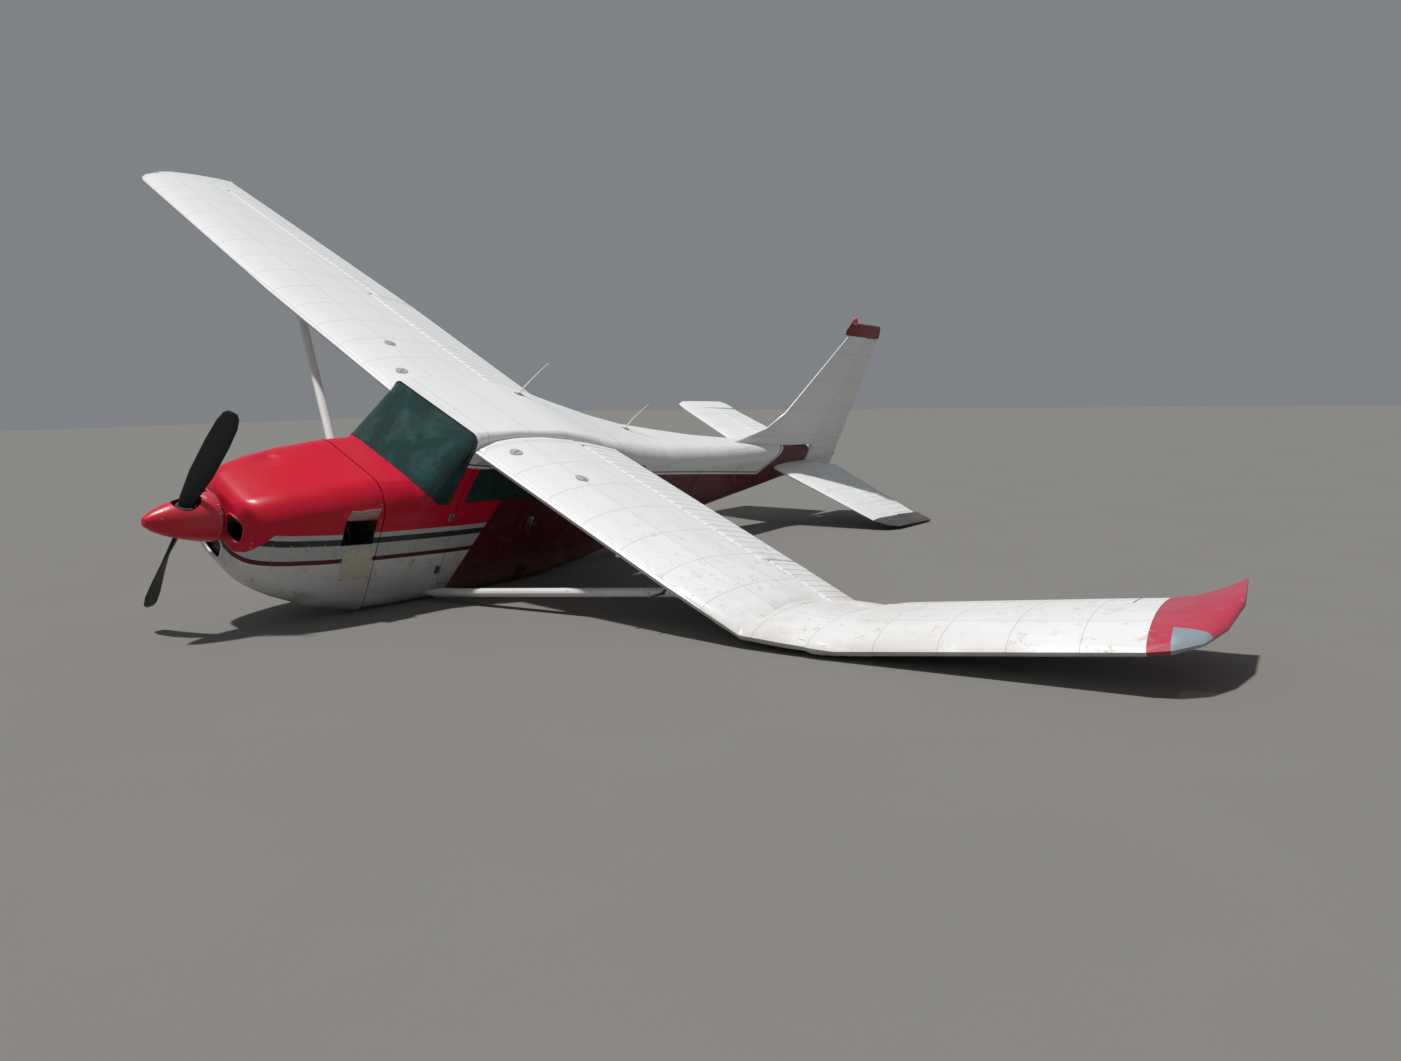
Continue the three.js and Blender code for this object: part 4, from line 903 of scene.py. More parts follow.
FINISHES = {
    "fuselage": lambda: fuselage_paint(),
    "wing": lambda: wing_paint("wing paint", colour("white")),
    "moving surface": lambda: wing_paint("moving surface paint", colour("white"), beads=0.09),
    "wing tip": lambda: plain_paint("wing tip paint", colour("white"), 0.2, OFF_WHITE),
    "red tip": lambda: plain_paint("faded red paint", linear(184, 58, 82), 0.35, linear(180, 150, 156)),
    "strut": lambda: plain_paint("strut paint", colour("white"), 0.15, BARE),
    "fin": lambda: tail_paint("fin paint", colour("white"), 2),
    "rudder": lambda: tail_paint("rudder paint", colour("white"), 2, beads=0.12),
    "tailplane": lambda: tail_paint("tailplane paint", colour("white"), 0),
    "elevator": lambda: tail_paint("elevator paint", colour("white"), 0, beads=0.10),
    "tail tip": lambda: plain_paint("tailplane tip paint", colour("tips"), 0.12, (0.16, 0.16, 0.16, 1),
                                    dirt=0.10),
    "fin cap": lambda: plain_paint("fin cap paint", (0.20, 0.006, 0.014, 1), 0.12, (0.30, 0.02, 0.03, 1)),
    "spinner": lambda: plain_paint("spinner paint", colour("red"), 0.25, BARE),
    "propeller": lambda: prop_paint(),
    # The plate's colour is set lighter than its own primer: painted light, standing for sun on the plate
    "bare plate": lambda: plain_paint("bare plate", (0.60, 0.58, 0.44, 1), 0.25, DUST, (0.45, 0.6)),
    "fuel cap": lambda: plain_paint("fuel cap paint", (0.42, 0.43, 0.44, 1), 0.3, SOOT, (0.5, 0.7)),
    "hub metal": lambda: bare_metal("hub metal", (0.11, 0.11, 0.11, 1), (0.5, 0.7)),
    "dull metal": lambda: bare_metal("primed plate", (0.33, 0.32, 0.26, 1), (0.5, 0.7)),
    "steel": lambda: bare_metal("steel", (0.42, 0.42, 0.43, 1), (0.25, 0.45)),
    "rust": lambda: bare_metal("rusted steel", (0.20, 0.085, 0.045, 1), (0.65, 0.9), 60.0,
                               (0.05, 0.02, 0.012, 1)),
    "cast": lambda: bare_metal("cast alloy", (0.26, 0.26, 0.25, 1), (0.5, 0.75), 60.0),
    "glass": lambda: glass("window glass", colour("glass")),
    "hatch door": lambda: plain_paint("hatch door paint", linear(176, 150, 150), 0.3, colour("red"),
                                      (0.4, 0.6)),
    "inlet lip": lambda: plain_paint("inlet lip paint", colour("red"), 0.4, SOOT, (0.4, 0.6)),
    "leg": lambda: plain_paint("leg paint", OFF_WHITE, 0.5, BARE, (0.35, 0.6)),
    "wheel": lambda: plain_paint("wheel paint", OFF_WHITE, 0.4, DUST, (0.4, 0.6)),
    "beacon": lambda: glass("beacon glass", (0.55, 0.02, 0.02, 1), 0.8),
    "bulb left": lambda: glass("left lamp bulb", (0.60, 0.03, 0.03, 1), 0.9),
    "bulb right": lambda: glass("right lamp bulb", (0.03, 0.45, 0.15, 1), 0.9),
    "dial": lambda: plastic("instrument face", (0.006, 0.006, 0.007, 1), 0.25, 700.0),
    "needle": lambda: plastic("instrument markings", (0.75, 0.74, 0.70, 1), 0.5, 700.0),
    "blue knob": lambda: plastic("blue knob", (0.02, 0.05, 0.22, 1), 0.4),
    "red knob": lambda: plastic("red knob", (0.45, 0.02, 0.02, 1), 0.4),
    "piping": lambda: plastic("seat piping", (0.30, 0.20, 0.14, 1), 0.6, 500.0),
    "webbing": lambda: webbing(),
    "lens": lambda: glass("lamp lens", (0.35, 0.42, 0.48, 1), 0.75),
    "rubber": lambda: rubber("rubber"),
    "black trim": lambda: plastic("black trim", (0.022, 0.022, 0.024, 1), 0.5),
    "cream trim": lambda: plastic("cream trim", (0.45, 0.40, 0.32, 1), 0.65),
    "carpet": lambda: carpet(),
    "seat cloth": lambda: seat_cloth("seat cloth", colour("seats"), (0.26, 0.16, 0.11, 1)),
}


def carpet():
    pile = Finish("carpet", Roughness=0.95, Specular_IOR_Level=0.1)
    tufts = pile.noise(420, 2, 0.7)
    stains = pile.above(pile.noise(5, 5), 0.55, 0.12)
    ground = pile.mix(tufts, (0.050, 0.042, 0.036, 1), (0.13, 0.105, 0.085, 1))
    pile.set("Base Color", pile.mix(pile.math("MULTIPLY", stains, 0.5), ground, (0.03, 0.025, 0.02, 1)))
    pile.bump(tufts, 0.003)
    return pile.material


def webbing():
    weave = Finish("belt webbing", Roughness=0.8, Specular_IOR_Level=0.25)
    x, y, z = weave.split(weave.place())
    along = weave.math("SINE", weave.math("MULTIPLY", weave.math("ADD", x, z), 1800.0))
    across = weave.math("SINE", weave.math("MULTIPLY", y, 2600.0))
    threads = weave.math("MULTIPLY", along, across)
    share = weave.math("MULTIPLY_ADD", threads, 0.3, 0.4)
    weave.set("Base Color", weave.mix(share, (0.030, 0.026, 0.024, 1), (0.085, 0.075, 0.066, 1)))
    weave.bump(threads, 0.0006)
    return weave.material


def cut_wing(piece, side, spans):
    """Cuts a folded wing along ribs, so that its skin can crease."""
    for span in spans:
        point = wing_place(side, span, 0.4)
        ahead = wing_place(side, span + 0.02, 0.4)
        crack(piece, [point], ahead - point)


CREASES = (
    {"span": 2.56, "height": 0.4, "slant": 0.10}, {"span": 2.70, "height": -1.0, "slant": -0.14},
    {"span": 2.86, "height": 0.8, "slant": 0.16}, {"span": 3.02, "height": -0.6, "slant": -0.10},
    {"span": 3.20, "height": 0.6, "slant": 0.12}, {"span": 3.38, "height": -0.35, "slant": 0.20},
)


FLOOR_CLEAR = 0.004


def crease_rise(span, along):
    """Height of the creases at a straight-wing place."""
    rise = 0.0
    for crease in CREASES:
        middle = crease["span"] + crease["slant"] * (along - 0.6)
        gap = abs(span - middle) / 0.085
        if gap < 1:
            rise += crease["height"] * (1 - gap) ** 2
    return rise


def crease_wing(piece):
    """Creases of the left wing between and beside its folds."""
    cut_wing(piece, "left", [2.45 + 0.04 * i for i in range(27)])
    with Editing(piece, "VERT"):
        for share in (0.12, 0.28, 0.44, 0.60, 0.76, 0.90):
            bpy.ops.mesh.select_all(action="SELECT")
            base = wing_place("left", 2.9, share)
            bpy.ops.mesh.bisect(plane_co=base, plane_no=wing_place("left", 2.9, share + 0.02) - base)
        bpy.ops.mesh.select_all(action="SELECT")
        bpy.ops.mesh.normals_make_consistent(inside=False)
    depth = size("fold_depth")
    moves = []
    for corner in piece.data.vertices:
        local = plan_of("left", corner.co)
        if not 2.45 < local.x < 3.5:
            continue
        edge = min(1.0, max(0.0, (local.y - 0.02) / 0.15))
        ripple = noise.noise(Vector((local.x * 9, local.y * 5, 2.0))) * 0.5
        rise = depth * (crease_rise(local.x, local.y) + ripple) * (0.35 + 0.65 * edge)
        moves.append((corner, corner.normal * rise))
    for corner, move in moves:
        if (TO_GROUND @ (corner.co + move)).z > FLOOR_CLEAR:
            corner.co += move


def mark_inside(piece):
    """Marks the inner faces of a body shell, which take the lining's colour."""
    attribute = piece.data.attributes.new("inside", "FLOAT", "FACE")
    for face in piece.data.polygons:
        out = Vector((face.center.x, 0, face.center.z - 0.05))
        attribute.data[face.index].value = 1.0 if face.normal.dot(out) < -0.2 * out.length else 0.0


def skin_shape(node):
    """Work done on a wing skin before it is painted."""
    side = "left" if node.endswith("left") else "right"

    def shape(piece):
        if node == "wing_left":
            crease_wing(piece)
        write_plan(piece, side)
    return shape


FUSELAGE_SKINS = (
    {"node": "cowl_upper", "finish": "fuselage", "slot": "paint_red"},
    {"node": "cowl_lower", "finish": "fuselage", "slot": "paint_white"},
    {"node": "cabin_shell", "finish": "fuselage", "slot": "paint_white"},
    {"node": "cabin_roof", "finish": "fuselage", "slot": "paint_white"},
    {"node": "tail_cone", "finish": "fuselage", "slot": "paint_maroon"},
    {"node": "door_right", "finish": "fuselage", "slot": "paint_maroon"},
    {"node": "door_left", "finish": "fuselage", "slot": "paint_maroon"},
    # The left cowl plate takes a finish with painted light in its colour
    {"node": "cowl_plate_left", "finish": "bare plate", "slot": "bare_metal"},
    {"node": "windshield", "finish": "glass", "slot": "tinted_glass"},
    {"node": "door_window_right", "finish": "glass", "slot": "tinted_glass"},
    {"node": "door_window_left", "finish": "glass", "slot": "tinted_glass"},
    {"node": "rear_side_window_right", "finish": "glass", "slot": "tinted_glass"},
    {"node": "rear_side_window_left", "finish": "glass", "slot": "tinted_glass"},
)
WING_SKINS = (
    {"node": "wing_right", "finish": "wing", "slot": "paint_white"},
    {"node": "wing_left", "finish": "wing", "slot": "paint_white"},
    {"node": "flap_right", "finish": "moving surface", "slot": "paint_white"},
    {"node": "flap_left", "finish": "moving surface", "slot": "paint_white"},
    {"node": "aileron_right", "finish": "moving surface", "slot": "paint_white"},
    {"node": "aileron_left", "finish": "moving surface", "slot": "paint_white"},
    {"node": "wing_tip_right", "finish": "wing tip", "slot": "paint_white"},
    {"node": "wing_tip_left", "finish": "red tip", "slot": "paint_red"},
    {"node": "tip_lamp_right", "finish": "lens", "slot": "lamp_glass"},
    {"node": "tip_lamp_left", "finish": "lens", "slot": "lamp_glass"},
    {"node": "strut_right", "finish": "strut", "slot": "paint_white"},
    {"node": "strut_left", "finish": "strut", "slot": "paint_white"},
)
TAIL_SKINS = (
    {"node": "fin", "finish": "fin", "slot": "paint_white"},
    {"node": "fin_cap", "finish": "fin cap", "slot": "paint_maroon"},
    {"node": "rudder", "finish": "rudder", "slot": "paint_white"},
    {"node": "tailplane_right", "finish": "tailplane", "slot": "paint_white"},
    {"node": "tailplane_left", "finish": "tailplane", "slot": "paint_white"},
    {"node": "tailplane_tip_right", "finish": "wing tip", "slot": "paint_white"},
    {"node": "tailplane_tip_left", "finish": "tail tip", "slot": "paint_grey"},
    {"node": "elevator", "finish": "elevator", "slot": "paint_white"},
)


class AIRCRAFT_OT_fuselage_skins(bpy.types.Operator):
    """Smooth painted skins of the cowl, cabin, doors and tail cone, with their glass"""
    bl_idname = "aircraft.fuselage_skins"
    bl_label = "Fuselage skins"

    def execute(self, context):
        for row in FUSELAGE_SKINS:
            shape = mark_inside if row["finish"] == "fuselage" else None
            reskin(row["node"], finish(row["finish"]), shape=shape)
        return {"FINISHED"}


class AIRCRAFT_OT_wing_skins(bpy.types.Operator):
    """Riveted skins of the wings, flaps, ailerons, tips and struts, creased where the wing folded"""
    bl_idname = "aircraft.wing_skins"
    bl_label = "Wing skins"

    def execute(self, context):
        for row in WING_SKINS:
            reskin(row["node"], finish(row["finish"]), shape=skin_shape(row["node"]))
        return {"FINISHED"}


class AIRCRAFT_OT_tail_skins(bpy.types.Operator):
    """Riveted skins of the fin, rudder, tailplane, elevator and their tips"""
    bl_idname = "aircraft.tail_skins"
    bl_label = "Tail skins"

    def execute(self, context):
        for row in TAIL_SKINS:
            reskin(row["node"], finish(row["finish"]))
        return {"FINISHED"}


# Small hardware

SCREW_HEIGHT = 0.0025


def screw_head(radius):
    """Domed screw or rivet head standing on the origin."""
    bpy.ops.mesh.primitive_cone_add(vertices=8, radius1=radius, radius2=radius * 0.55, depth=SCREW_HEIGHT,
                                    location=(0, 0, SCREW_HEIGHT * 0.4))
    return settle(bpy.context.object)


def screws(places, name, body, radius):
    """Row of screw heads at (point, normal) places, as one piece."""
    return dress(stamped(screw_head(radius), places), name, body, finish("steel"))


def plate_on(node, start, direction, size_xy, thickness, rounding):
    """Rounded plate lying on a node's skin where a ray meets it."""
    place, normal = on_skin(node, start, direction)
    turn = normal.to_track_quat("Z", "Y").to_matrix().to_4x4()
    piece = cube((0, 0, 0), (size_xy[0], size_xy[1], thickness), rounding=min(rounding, thickness * 0.45))
    piece.data.transform(Matrix.Translation(place) @ turn)
    return piece


def hollowed(piece, faces, inset_by, depth):
    """Insets the faces that pass the test and pushes them in."""
    with Editing(piece, "FACE") as edit:
        edit.choose(faces)
        bpy.ops.mesh.inset(thickness=inset_by, depth=-depth)
    return piece


# Engine: six cylinders lying flat on a split crankcase, in metres in the upright airframe
CYLINDER_STATIONS = (0.860, 1.040, 1.220)
CYLINDER_STAGGER = 0.030
BARREL = {"start": 0.150, "end": 0.262, "radius": 0.062, "fin": 0.080, "fins": 9}
HEAD = {"start": 0.262, "end": 0.318, "width": 0.160, "height": 0.165, "fins": 5}


def cylinder_place(station, side):
    """Station of a cylinder: the left bank sits a stagger ahead of the right one."""
    return station + CYLINDER_STAGGER * (0 if side < 0 else -1)


def finned_cylinder():
    """One barrel with its head and rocker cover, lying along +X from the crankcase."""
    profile = [(0.0, BARREL["start"])]
    step = (BARREL["end"] - BARREL["start"]) / BARREL["fins"]
    for i in range(BARREL["fins"]):
        at = BARREL["start"] + i * step
        profile += [(BARREL["radius"], at), (BARREL["radius"], at + step * 0.55),
                    (BARREL["fin"], at + step * 0.60), (BARREL["fin"], at + step * 0.85)]
    profile += [(BARREL["radius"], BARREL["end"]), (0.0, BARREL["end"])]
    barrel = spun(profile, (0, 0, 0), (1, 0, 0), sides=28)
    head_parts = [barrel]
    step = (HEAD["end"] - HEAD["start"]) / HEAD["fins"]
    for i in range(HEAD["fins"]):
        middle = HEAD["start"] + (i + 0.5) * step
        head_parts.append(cube((middle, 0, 0), (step * 0.42, HEAD["width"], HEAD["height"]), rounding=0.002,
                               segments=1))
    head_parts.append(cube((0.290, 0, 0), (0.056, 0.120, 0.128), rounding=0.006))
    for side in (-1, 1):
        cover = cube((0.326, side * 0.040, 0), (0.026, 0.066, 0.150), rounding=0.008)
        hollowed(cover, lambda face: face.normal.x > 0.95, 0.010, 0.002)
        head_parts.append(cover)
        head_parts.append(rod((0.225, side * 0.034, -0.075), (0.325, side * 0.034, -0.066), 0.009, sides=12))
        head_parts.append(rod((0.288, side * 0.060, 0.070), (0.288, side * 0.074, 0.104), 0.010, 0.007,
                              sides=8))
    return joined(head_parts, "cylinder")


def build_engine():
    template = finned_cylinder()
    cylinders = []
    for station in CYLINDER_STATIONS:
        for side in (-1, 1):
            turn = Matrix.Rotation(math.pi if side < 0 else 0, 4, "Z")
            place = Matrix.Translation((0, cylinder_place(station, side), 0))
            cylinders.append(copy_of(template, place @ turn))
    bpy.data.objects.remove(template)
    cylinders = dress(joined(cylinders), "engine_cylinders", "airframe", finish("cast"))

    case = cube((0, 1.030, -0.010), (0.300, 0.560, 0.240), rounding=0.022, segments=3)
    with Editing(case) as edit:
        edit.choose(lambda face: abs(face.normal.x) > 0.9 and face.calc_area() > 0.02)
        bpy.ops.mesh.inset(thickness=0.025, depth=0.012)
    parts = [case, cube((0, 1.030, -0.010), (0.012, 0.584, 0.262), rounding=0.003)]
    sump = cube((0, 1.050, -0.195), (0.260, 0.420, 0.150), rounding=0.030, segments=3)
    with Editing(sump) as edit:
        edit.choose(lambda face: face.normal.z < -0.9)
        bpy.ops.transform.resize(value=(0.8, 0.85, 1))
    parts.append(sump)
    nose = [(0.0, 0.470), (0.060, 0.470), (0.066, 0.476), (0.066, 0.492), (0.052, 0.500), (0.052, 0.620),
            (0.080, 0.680), (0.110, 0.760), (0.0, 0.760)]
    parts.append(spun(nose, (0, 0, 0), (0, 1, 0), sides=32))
    parts.append(rod((0.150, 0.760, -0.130), (0.150, 0.900, -0.130), 0.055, sides=24, rounding=0.006))
    parts.append(rod((0.150, 0.742, -0.130), (0.150, 0.756, -0.130), 0.038, sides=24))
    parts.append(rod((-0.145, 0.770, 0.115), (-0.145, 0.900, 0.115), 0.036, sides=20, rounding=0.005))
    for side in (-1, 1):
        parts.append(cube((side * 0.075, 1.370, 0.040), (0.090, 0.120, 0.090), rounding=0.012))
        parts.append(rod((side * 0.075, 1.420, 0.040), (side * 0.075, 1.446, 0.040), 0.030, sides=16))
    parts.append(cube((0, 1.375, -0.080), (0.240, 0.090, 0.120), rounding=0.012))
    case = dress(joined(parts), "engine_crankcase", "airframe", finish("dull metal"))

    pipes = []
    for station in CYLINDER_STATIONS:
        for side in (-1, 1):
            y = cylinder_place(station, side)
            pipes.append(pipe([(side * 0.288, y + 0.045, -0.078), (side * 0.285, y + 0.050, -0.140),
                               (side * 0.235, y + 0.060, -0.195), (side * 0.120, y + 0.040, -0.225)], 0.021))
    intakes = dress(joined(pipes), "engine_intake_pipes", "airframe", finish("steel"))

    pipes = []
    for side in (-1, 1):
        for station in CYLINDER_STATIONS:
            y = cylinder_place(station, side)
            pipes.append(pipe([(side * 0.292, y - 0.042, -0.075), (side * 0.300, y - 0.040, -0.150),
                               (side * 0.292, y - 0.010, -0.215), (side * 0.282, y + 0.030, -0.232)], 0.020))
        pipes.append(pipe([(side * 0.280, 0.800, -0.236), (side * 0.280, 1.000, -0.240),
                           (side * 0.270, 1.180, -0.250), (side * 0.230, 1.260, -0.300),
                           (side * 0.210, 1.200, -0.400)], 0.028))
    exhausts = dress(joined(pipes), "engine_exhaust_pipes", "airframe", finish("rust"))

    leads = []
    for station in CYLINDER_STATIONS:
        for side in (-1, 1):
            y = cylinder_place(station, side)
            leads.append(pipe([(side * 0.075, 1.400, 0.088), (side * 0.120, 1.320, 0.140),
                               (side * 0.200, y + 0.120, 0.140),
                               (side * 0.286, y + 0.074, 0.106)], 0.005, sides=2))
    leads.append(pipe([(0.10, 1.44, -0.05), (0.22, 1.36, 0.02), (0.36, 1.30, 0.05), (0.40, 1.10, 0.06),
                       (0.36, 0.85, 0.10)], 0.010, sides=3))
    leads.append(pipe([(0.14, 1.44, -0.16), (0.33, 1.38, -0.12), (0.40, 1.22, -0.08), (0.37, 1.02, -0.13)],
                      0.013))
    leads = dress(joined(leads), "engine_leads_and_hoses", "airframe", finish("rubber"))

    tubes = []
    corners = ((-1, 0.19), (1, 0.19), (-1, -0.30), (1, -0.30))
    for side, z in corners:
        foot = Vector((side * 0.32, 1.446, z))
        pad = Vector((side * 0.17, 1.335, 0.090 if z > 0 else -0.120))
        tubes.append(rod(foot, pad, 0.012, sides=14))
        other = Vector((side * 0.32, 1.446, -0.30 if z > 0 else 0.19))
        tubes.append(rod(other, pad, 0.009, sides=12))
        tubes.append(rod(foot, foot + Vector((0, -0.012, 0)), 0.026, sides=16))
        tubes.append(rod(pad + Vector((0, -0.030, 0)), pad + Vector((0, 0.012, 0)), 0.028, sides=18,
                         rounding=0.004))
    mount = dress(joined(tubes), "engine_mount_tubes", "airframe", finish("steel"))

    baffle = cube((0, 0.765, 0.120), (0.640, 0.003, 0.110))
    baffle_back = cube((0, 1.330, 0.130), (0.640, 0.003, 0.130))
    baffles = [baffle, baffle_back]
    for side in (-1, 1):
        baffles.append(cube((side * 0.343, 1.040, 0.120), (0.003, 0.560, 0.090)))
    baffles = joined(baffles)
    with Editing(baffles):
        bpy.ops.mesh.subdivide(number_cuts=2)
    baffles = dress(baffles, "engine_baffles", "airframe", finish("dull metal"))

    for piece in (cylinders, case, intakes, exhausts, leads, mount, baffles):
        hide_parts("engine_block")


class AIRCRAFT_OT_engine(bpy.types.Operator):
    """Flat six-cylinder engine with its pipes, leads, baffles and mount, seen through the openings"""
    bl_idname = "aircraft.engine"
    bl_label = "Engine"

    def execute(self, context):
        build_engine()
        return {"FINISHED"}


# Propeller

HUB_BACK = 0.445


def build_propeller():
    reskin("propeller", finish("propeller"), angle=40)
    reskin("spinner", finish("spinner"), angle=30)
    around = []
    for i in range(16):
        turn = 2 * math.pi * (i + 0.5) / 16
        out = Vector((math.sin(turn), 0, math.cos(turn)))
        around.append((out * 0.1715 + Vector((0, 0.438, 0)), out))
    screws(around, "spinner_screws", "rotor", radius=0.006)
    hub = [(0.074, -0.030), (0.080, -0.026), (0.080, -0.010), (0.074, -0.006)]
    rings = [spun(hub, (0, HUB_BACK, 0), (0, 1, 0), sides=36)]
    for turn in (-2, 190):
        out = Vector((math.sin(math.radians(turn)), 0, math.cos(math.radians(turn))))
        start = Vector((0, PROPELLER_STATION, 0)) + out * 0.074
        ring = [(0.044, 0.0), (0.062, 0.0), (0.065, 0.004), (0.065, 0.020), (0.060, 0.026), (0.044, 0.026)]
        rings.append(spun(ring, start, out, sides=32))
    dress(joined(rings), "propeller_collars", "rotor", finish("hub metal"))
    bolts = []
    for i in range(8):
        turn = 2 * math.pi * i / 8
        spot = Vector((0.058 * math.cos(turn), PROPELLER_STATION - 0.056, 0.058 * math.sin(turn)))
        bolts.append((spot, Vector((0, -1, 0))))
    screws(bolts, "propeller_bolts", "rotor", radius=0.010)


class AIRCRAFT_OT_propeller(bpy.types.Operator):
    """Bent black blades, the dented spinner and its screws, and the collars on the hub"""
    bl_idname = "aircraft.propeller"
    bl_label = "Propeller and spinner"

    def execute(self, context):
        build_propeller()
        return {"FINISHED"}


# Cowl fittings

HATCH_DOOR_OPEN = math.radians(163)
SIDE_INLET = {"x": 0.206, "z": 0.014, "half": (0.098, 0.084)}
LOWER_INLET = {"x": 0, "z": -0.222, "half": (0.112, 0.075)}
SCREEN_PITCH = 0.024
# What is left of the torn door beyond its hinge
HATCH_DOOR_LENGTH = 0.088


def build_hatch_door():
    """Rest of the torn oil hatch door, bent up on its top hinge, with its stiffeners."""
    width = HATCH["back"] - HATCH["front"] - 0.008
    hinge, _ = on_skin("cowl_upper", (0.9, (HATCH["front"] + HATCH["back"]) / 2, HATCH["top"] + 0.012),
                       (-1, 0, 0))
    length = HATCH_DOOR_LENGTH
    panel = cube((0, 0, -length / 2), (0.0022, width, length))
    with Editing(panel):
        bpy.ops.mesh.subdivide(number_cuts=5)
    for corner in panel.data.vertices:
        corner.co.x += 0.9 * corner.co.z * (corner.co.z + length)
        tear = noise.noise(Vector((corner.co.y * 40, 3.0, 1.0))) * 0.020
        corner.co.z += tear if corner.co.z < -length + 0.002 else 0.0
    frame_bars = [panel]
    for at in (-width / 2 + 0.020, width / 2 - 0.020):
        frame_bars.append(cube((-0.006, at, -length * 0.45), (0.006, 0.012, length * 0.7), rounding=0.002,
                               segments=1))
    frame_bars.append(cube((-0.006, 0, -0.018), (0.006, width - 0.060, 0.012), rounding=0.002, segments=1))
    door = joined(frame_bars)
    door.data.transform(Matrix.Translation(hinge + Vector((0.004, 0, 0.002)))
                        @ Matrix.Rotation(-HATCH_DOOR_OPEN, 4, "Y"))
    dress(door, "hatch_door", "airframe", finish("hatch door"))
    knuckles = []
    for i in range(9):
        start = hinge + Vector((0.004, -width / 2 + 0.010 + i * (width - 0.020) / 9, 0.0))
        knuckles.append(rod(start, start + Vector((0, (width - 0.020) / 9 - 0.004, 0)), 0.004, sides=12))
    dress(joined(knuckles), "hatch_hinge", "airframe", finish("steel"))


def frame_round(node, side, corners, width, proud, name, look):
    """Flat frame round an opening in a side skin, laid on it by rays."""
    points = []
    for y, z in corners:
        place, normal = on_skin(node(y, z), (side * 0.9, y, z), (-side, 0, 0))
        points.append(place + normal * proud)
    return dress(pipe(points, width, sides=3, closed=True, smooth=False), name, "airframe", finish(look))


def build_cowl_fittings():
    for side, label in ((-1, "right"), (1, "left")):
        places = []
        for z, node in ((-0.058, "cowl_lower"), (-0.022, "cowl_upper")):
            for i in range(8):
                y = 0.560 + i * 0.118
                if side > 0 and HATCH["front"] - 0.03 < y < HATCH["back"] + 0.03 and node == "cowl_upper":
                    continue
                places.append(on_skin(node, (side * 0.9, y, z), (-side, 0, 0)))
        screws(places, f"cowl_fasteners_{label}", "airframe", radius=0.007)
    around = []
    for node, angles in (("cowl_upper", range(10, 171, 12)), ("cowl_lower", range(190, 351, 12))):
        for angle in angles:
            out = Vector((math.cos(math.radians(angle)), 0, math.sin(math.radians(angle))))
            start = Vector((0, 1.424, -0.060)) + out * 1.2
            around.append(on_skin(node, start, -out))
    screws(around, "cowl_rear_screws", "airframe", radius=0.005)
    build_hatch_door()
    plate_screws = []
    for y in (1.200, 1.300, 1.405):
        for z in (-0.315, -0.085):
            plate_screws.append(on_skin("cowl_plate_left", (0.9, y, z), (-1, 0, 0)))
    for z in (-0.160, -0.240):
        for y in (1.200, 1.405):
            plate_screws.append(on_skin("cowl_plate_left", (0.9, y, z), (-1, 0, 0)))
    screws(plate_screws, "cowl_plate_screws", "airframe", radius=0.006)

    lips = [inlet_lip(side * SIDE_INLET["x"], SIDE_INLET["z"], *SIDE_INLET["half"]) for side in (-1, 1)]
    dress(joined(lips), "cowl_inlet_lips", "airframe", finish("inlet lip"))
    lower_lip = inlet_lip(LOWER_INLET["x"], LOWER_INLET["z"], *LOWER_INLET["half"])
    dress(lower_lip, "cowl_lower_inlet_lip", "airframe", finish("strut"))

    screen = []
    for i in range(9):
        screen.append(cube((-0.096 + SCREEN_PITCH * i, 0.535, LOWER_INLET["z"]), (0.0025, 0.0025, 0.138)))
    for i in range(6):
        screen.append(cube((0, 0.537, -0.282 + SCREEN_PITCH * i), (0.212, 0.0025, 0.0025)))
    screen = joined(screen)
    bevel(screen, 0.0006, 1)
    dress(screen, "cowl_inlet_screen", "airframe", finish("steel"))


def nose_skin(x, z):
    """Point on the nose's front skin, met from ahead beside its openings."""
    for node in ("cowl_upper", "cowl_lower"):
        place, _, _, _ = surface(node).ray_cast(Vector((x, 0.2, z)), Vector((0, 1, 0)))
        if place is not None and place.y < 0.62:
            return place
    return Vector((x, 0.508, z))


def inlet_lip(x, z, half_width, half_height):
    """Rolled lip round an opening with rounded corners in the nose."""
    outline = []
    for i in range(20):
        turn = 2 * math.pi * i / 20
        across, up = (math.copysign(abs(part) ** 0.6, part) for part in (math.cos(turn), math.sin(turn)))
        outline.append(nose_skin(x + half_width * across, z + half_height * up))
    return pipe(outline, 0.009, sides=4, closed=True)


class AIRCRAFT_OT_cowl_fittings(bpy.types.Operator):
    """Cowl fasteners, the open hatch door, screws of the bare plate, inlet lips and screen"""
    bl_idname = "aircraft.cowl_fittings"
    bl_label = "Cowl fittings"

    def execute(self, context):
        build_cowl_fittings()
        return {"FINISHED"}


# Landing gear

WHEEL_CENTRE = Vector((-1.300, 2.950, -1.212))
LEG_PATH = ((-0.470, -0.625), (-0.560, -0.648), (-0.710, -0.750), (-1.150, -1.152), (-1.182, -1.242))


def tyre_profile():
    """Closed tyre outline as (radius, place along the axle), with grooves round the tread."""
    side = [(0.0765, 0.036), (0.080, 0.054), (0.086, 0.061), (0.092, 0.0600), (0.100, 0.067),
            (0.112, 0.0735), (0.126, 0.0765), (0.142, 0.0775), (0.144, 0.0765),
            (0.160, 0.0760), (0.178, 0.0715),
            (0.180, 0.0725), (0.194, 0.0665), (0.205, 0.0575), (0.2125, 0.0480), (0.2150, 0.0440)]
    depth = size("tread_depth")
    tread = [(0.2170, 0.0370), (0.2170 - depth, 0.0355), (0.2170 - depth, 0.0315), (0.2185, 0.0300),
             (0.2208, 0.0190), (0.2208 - depth, 0.0175), (0.2208 - depth, 0.0135), (0.2212, 0.0120),
             (0.2218, 0.0040), (0.2218 - depth, 0.0028)]
    half = side + tread
    return half + [(radius, -at) for radius, at in reversed(half)]


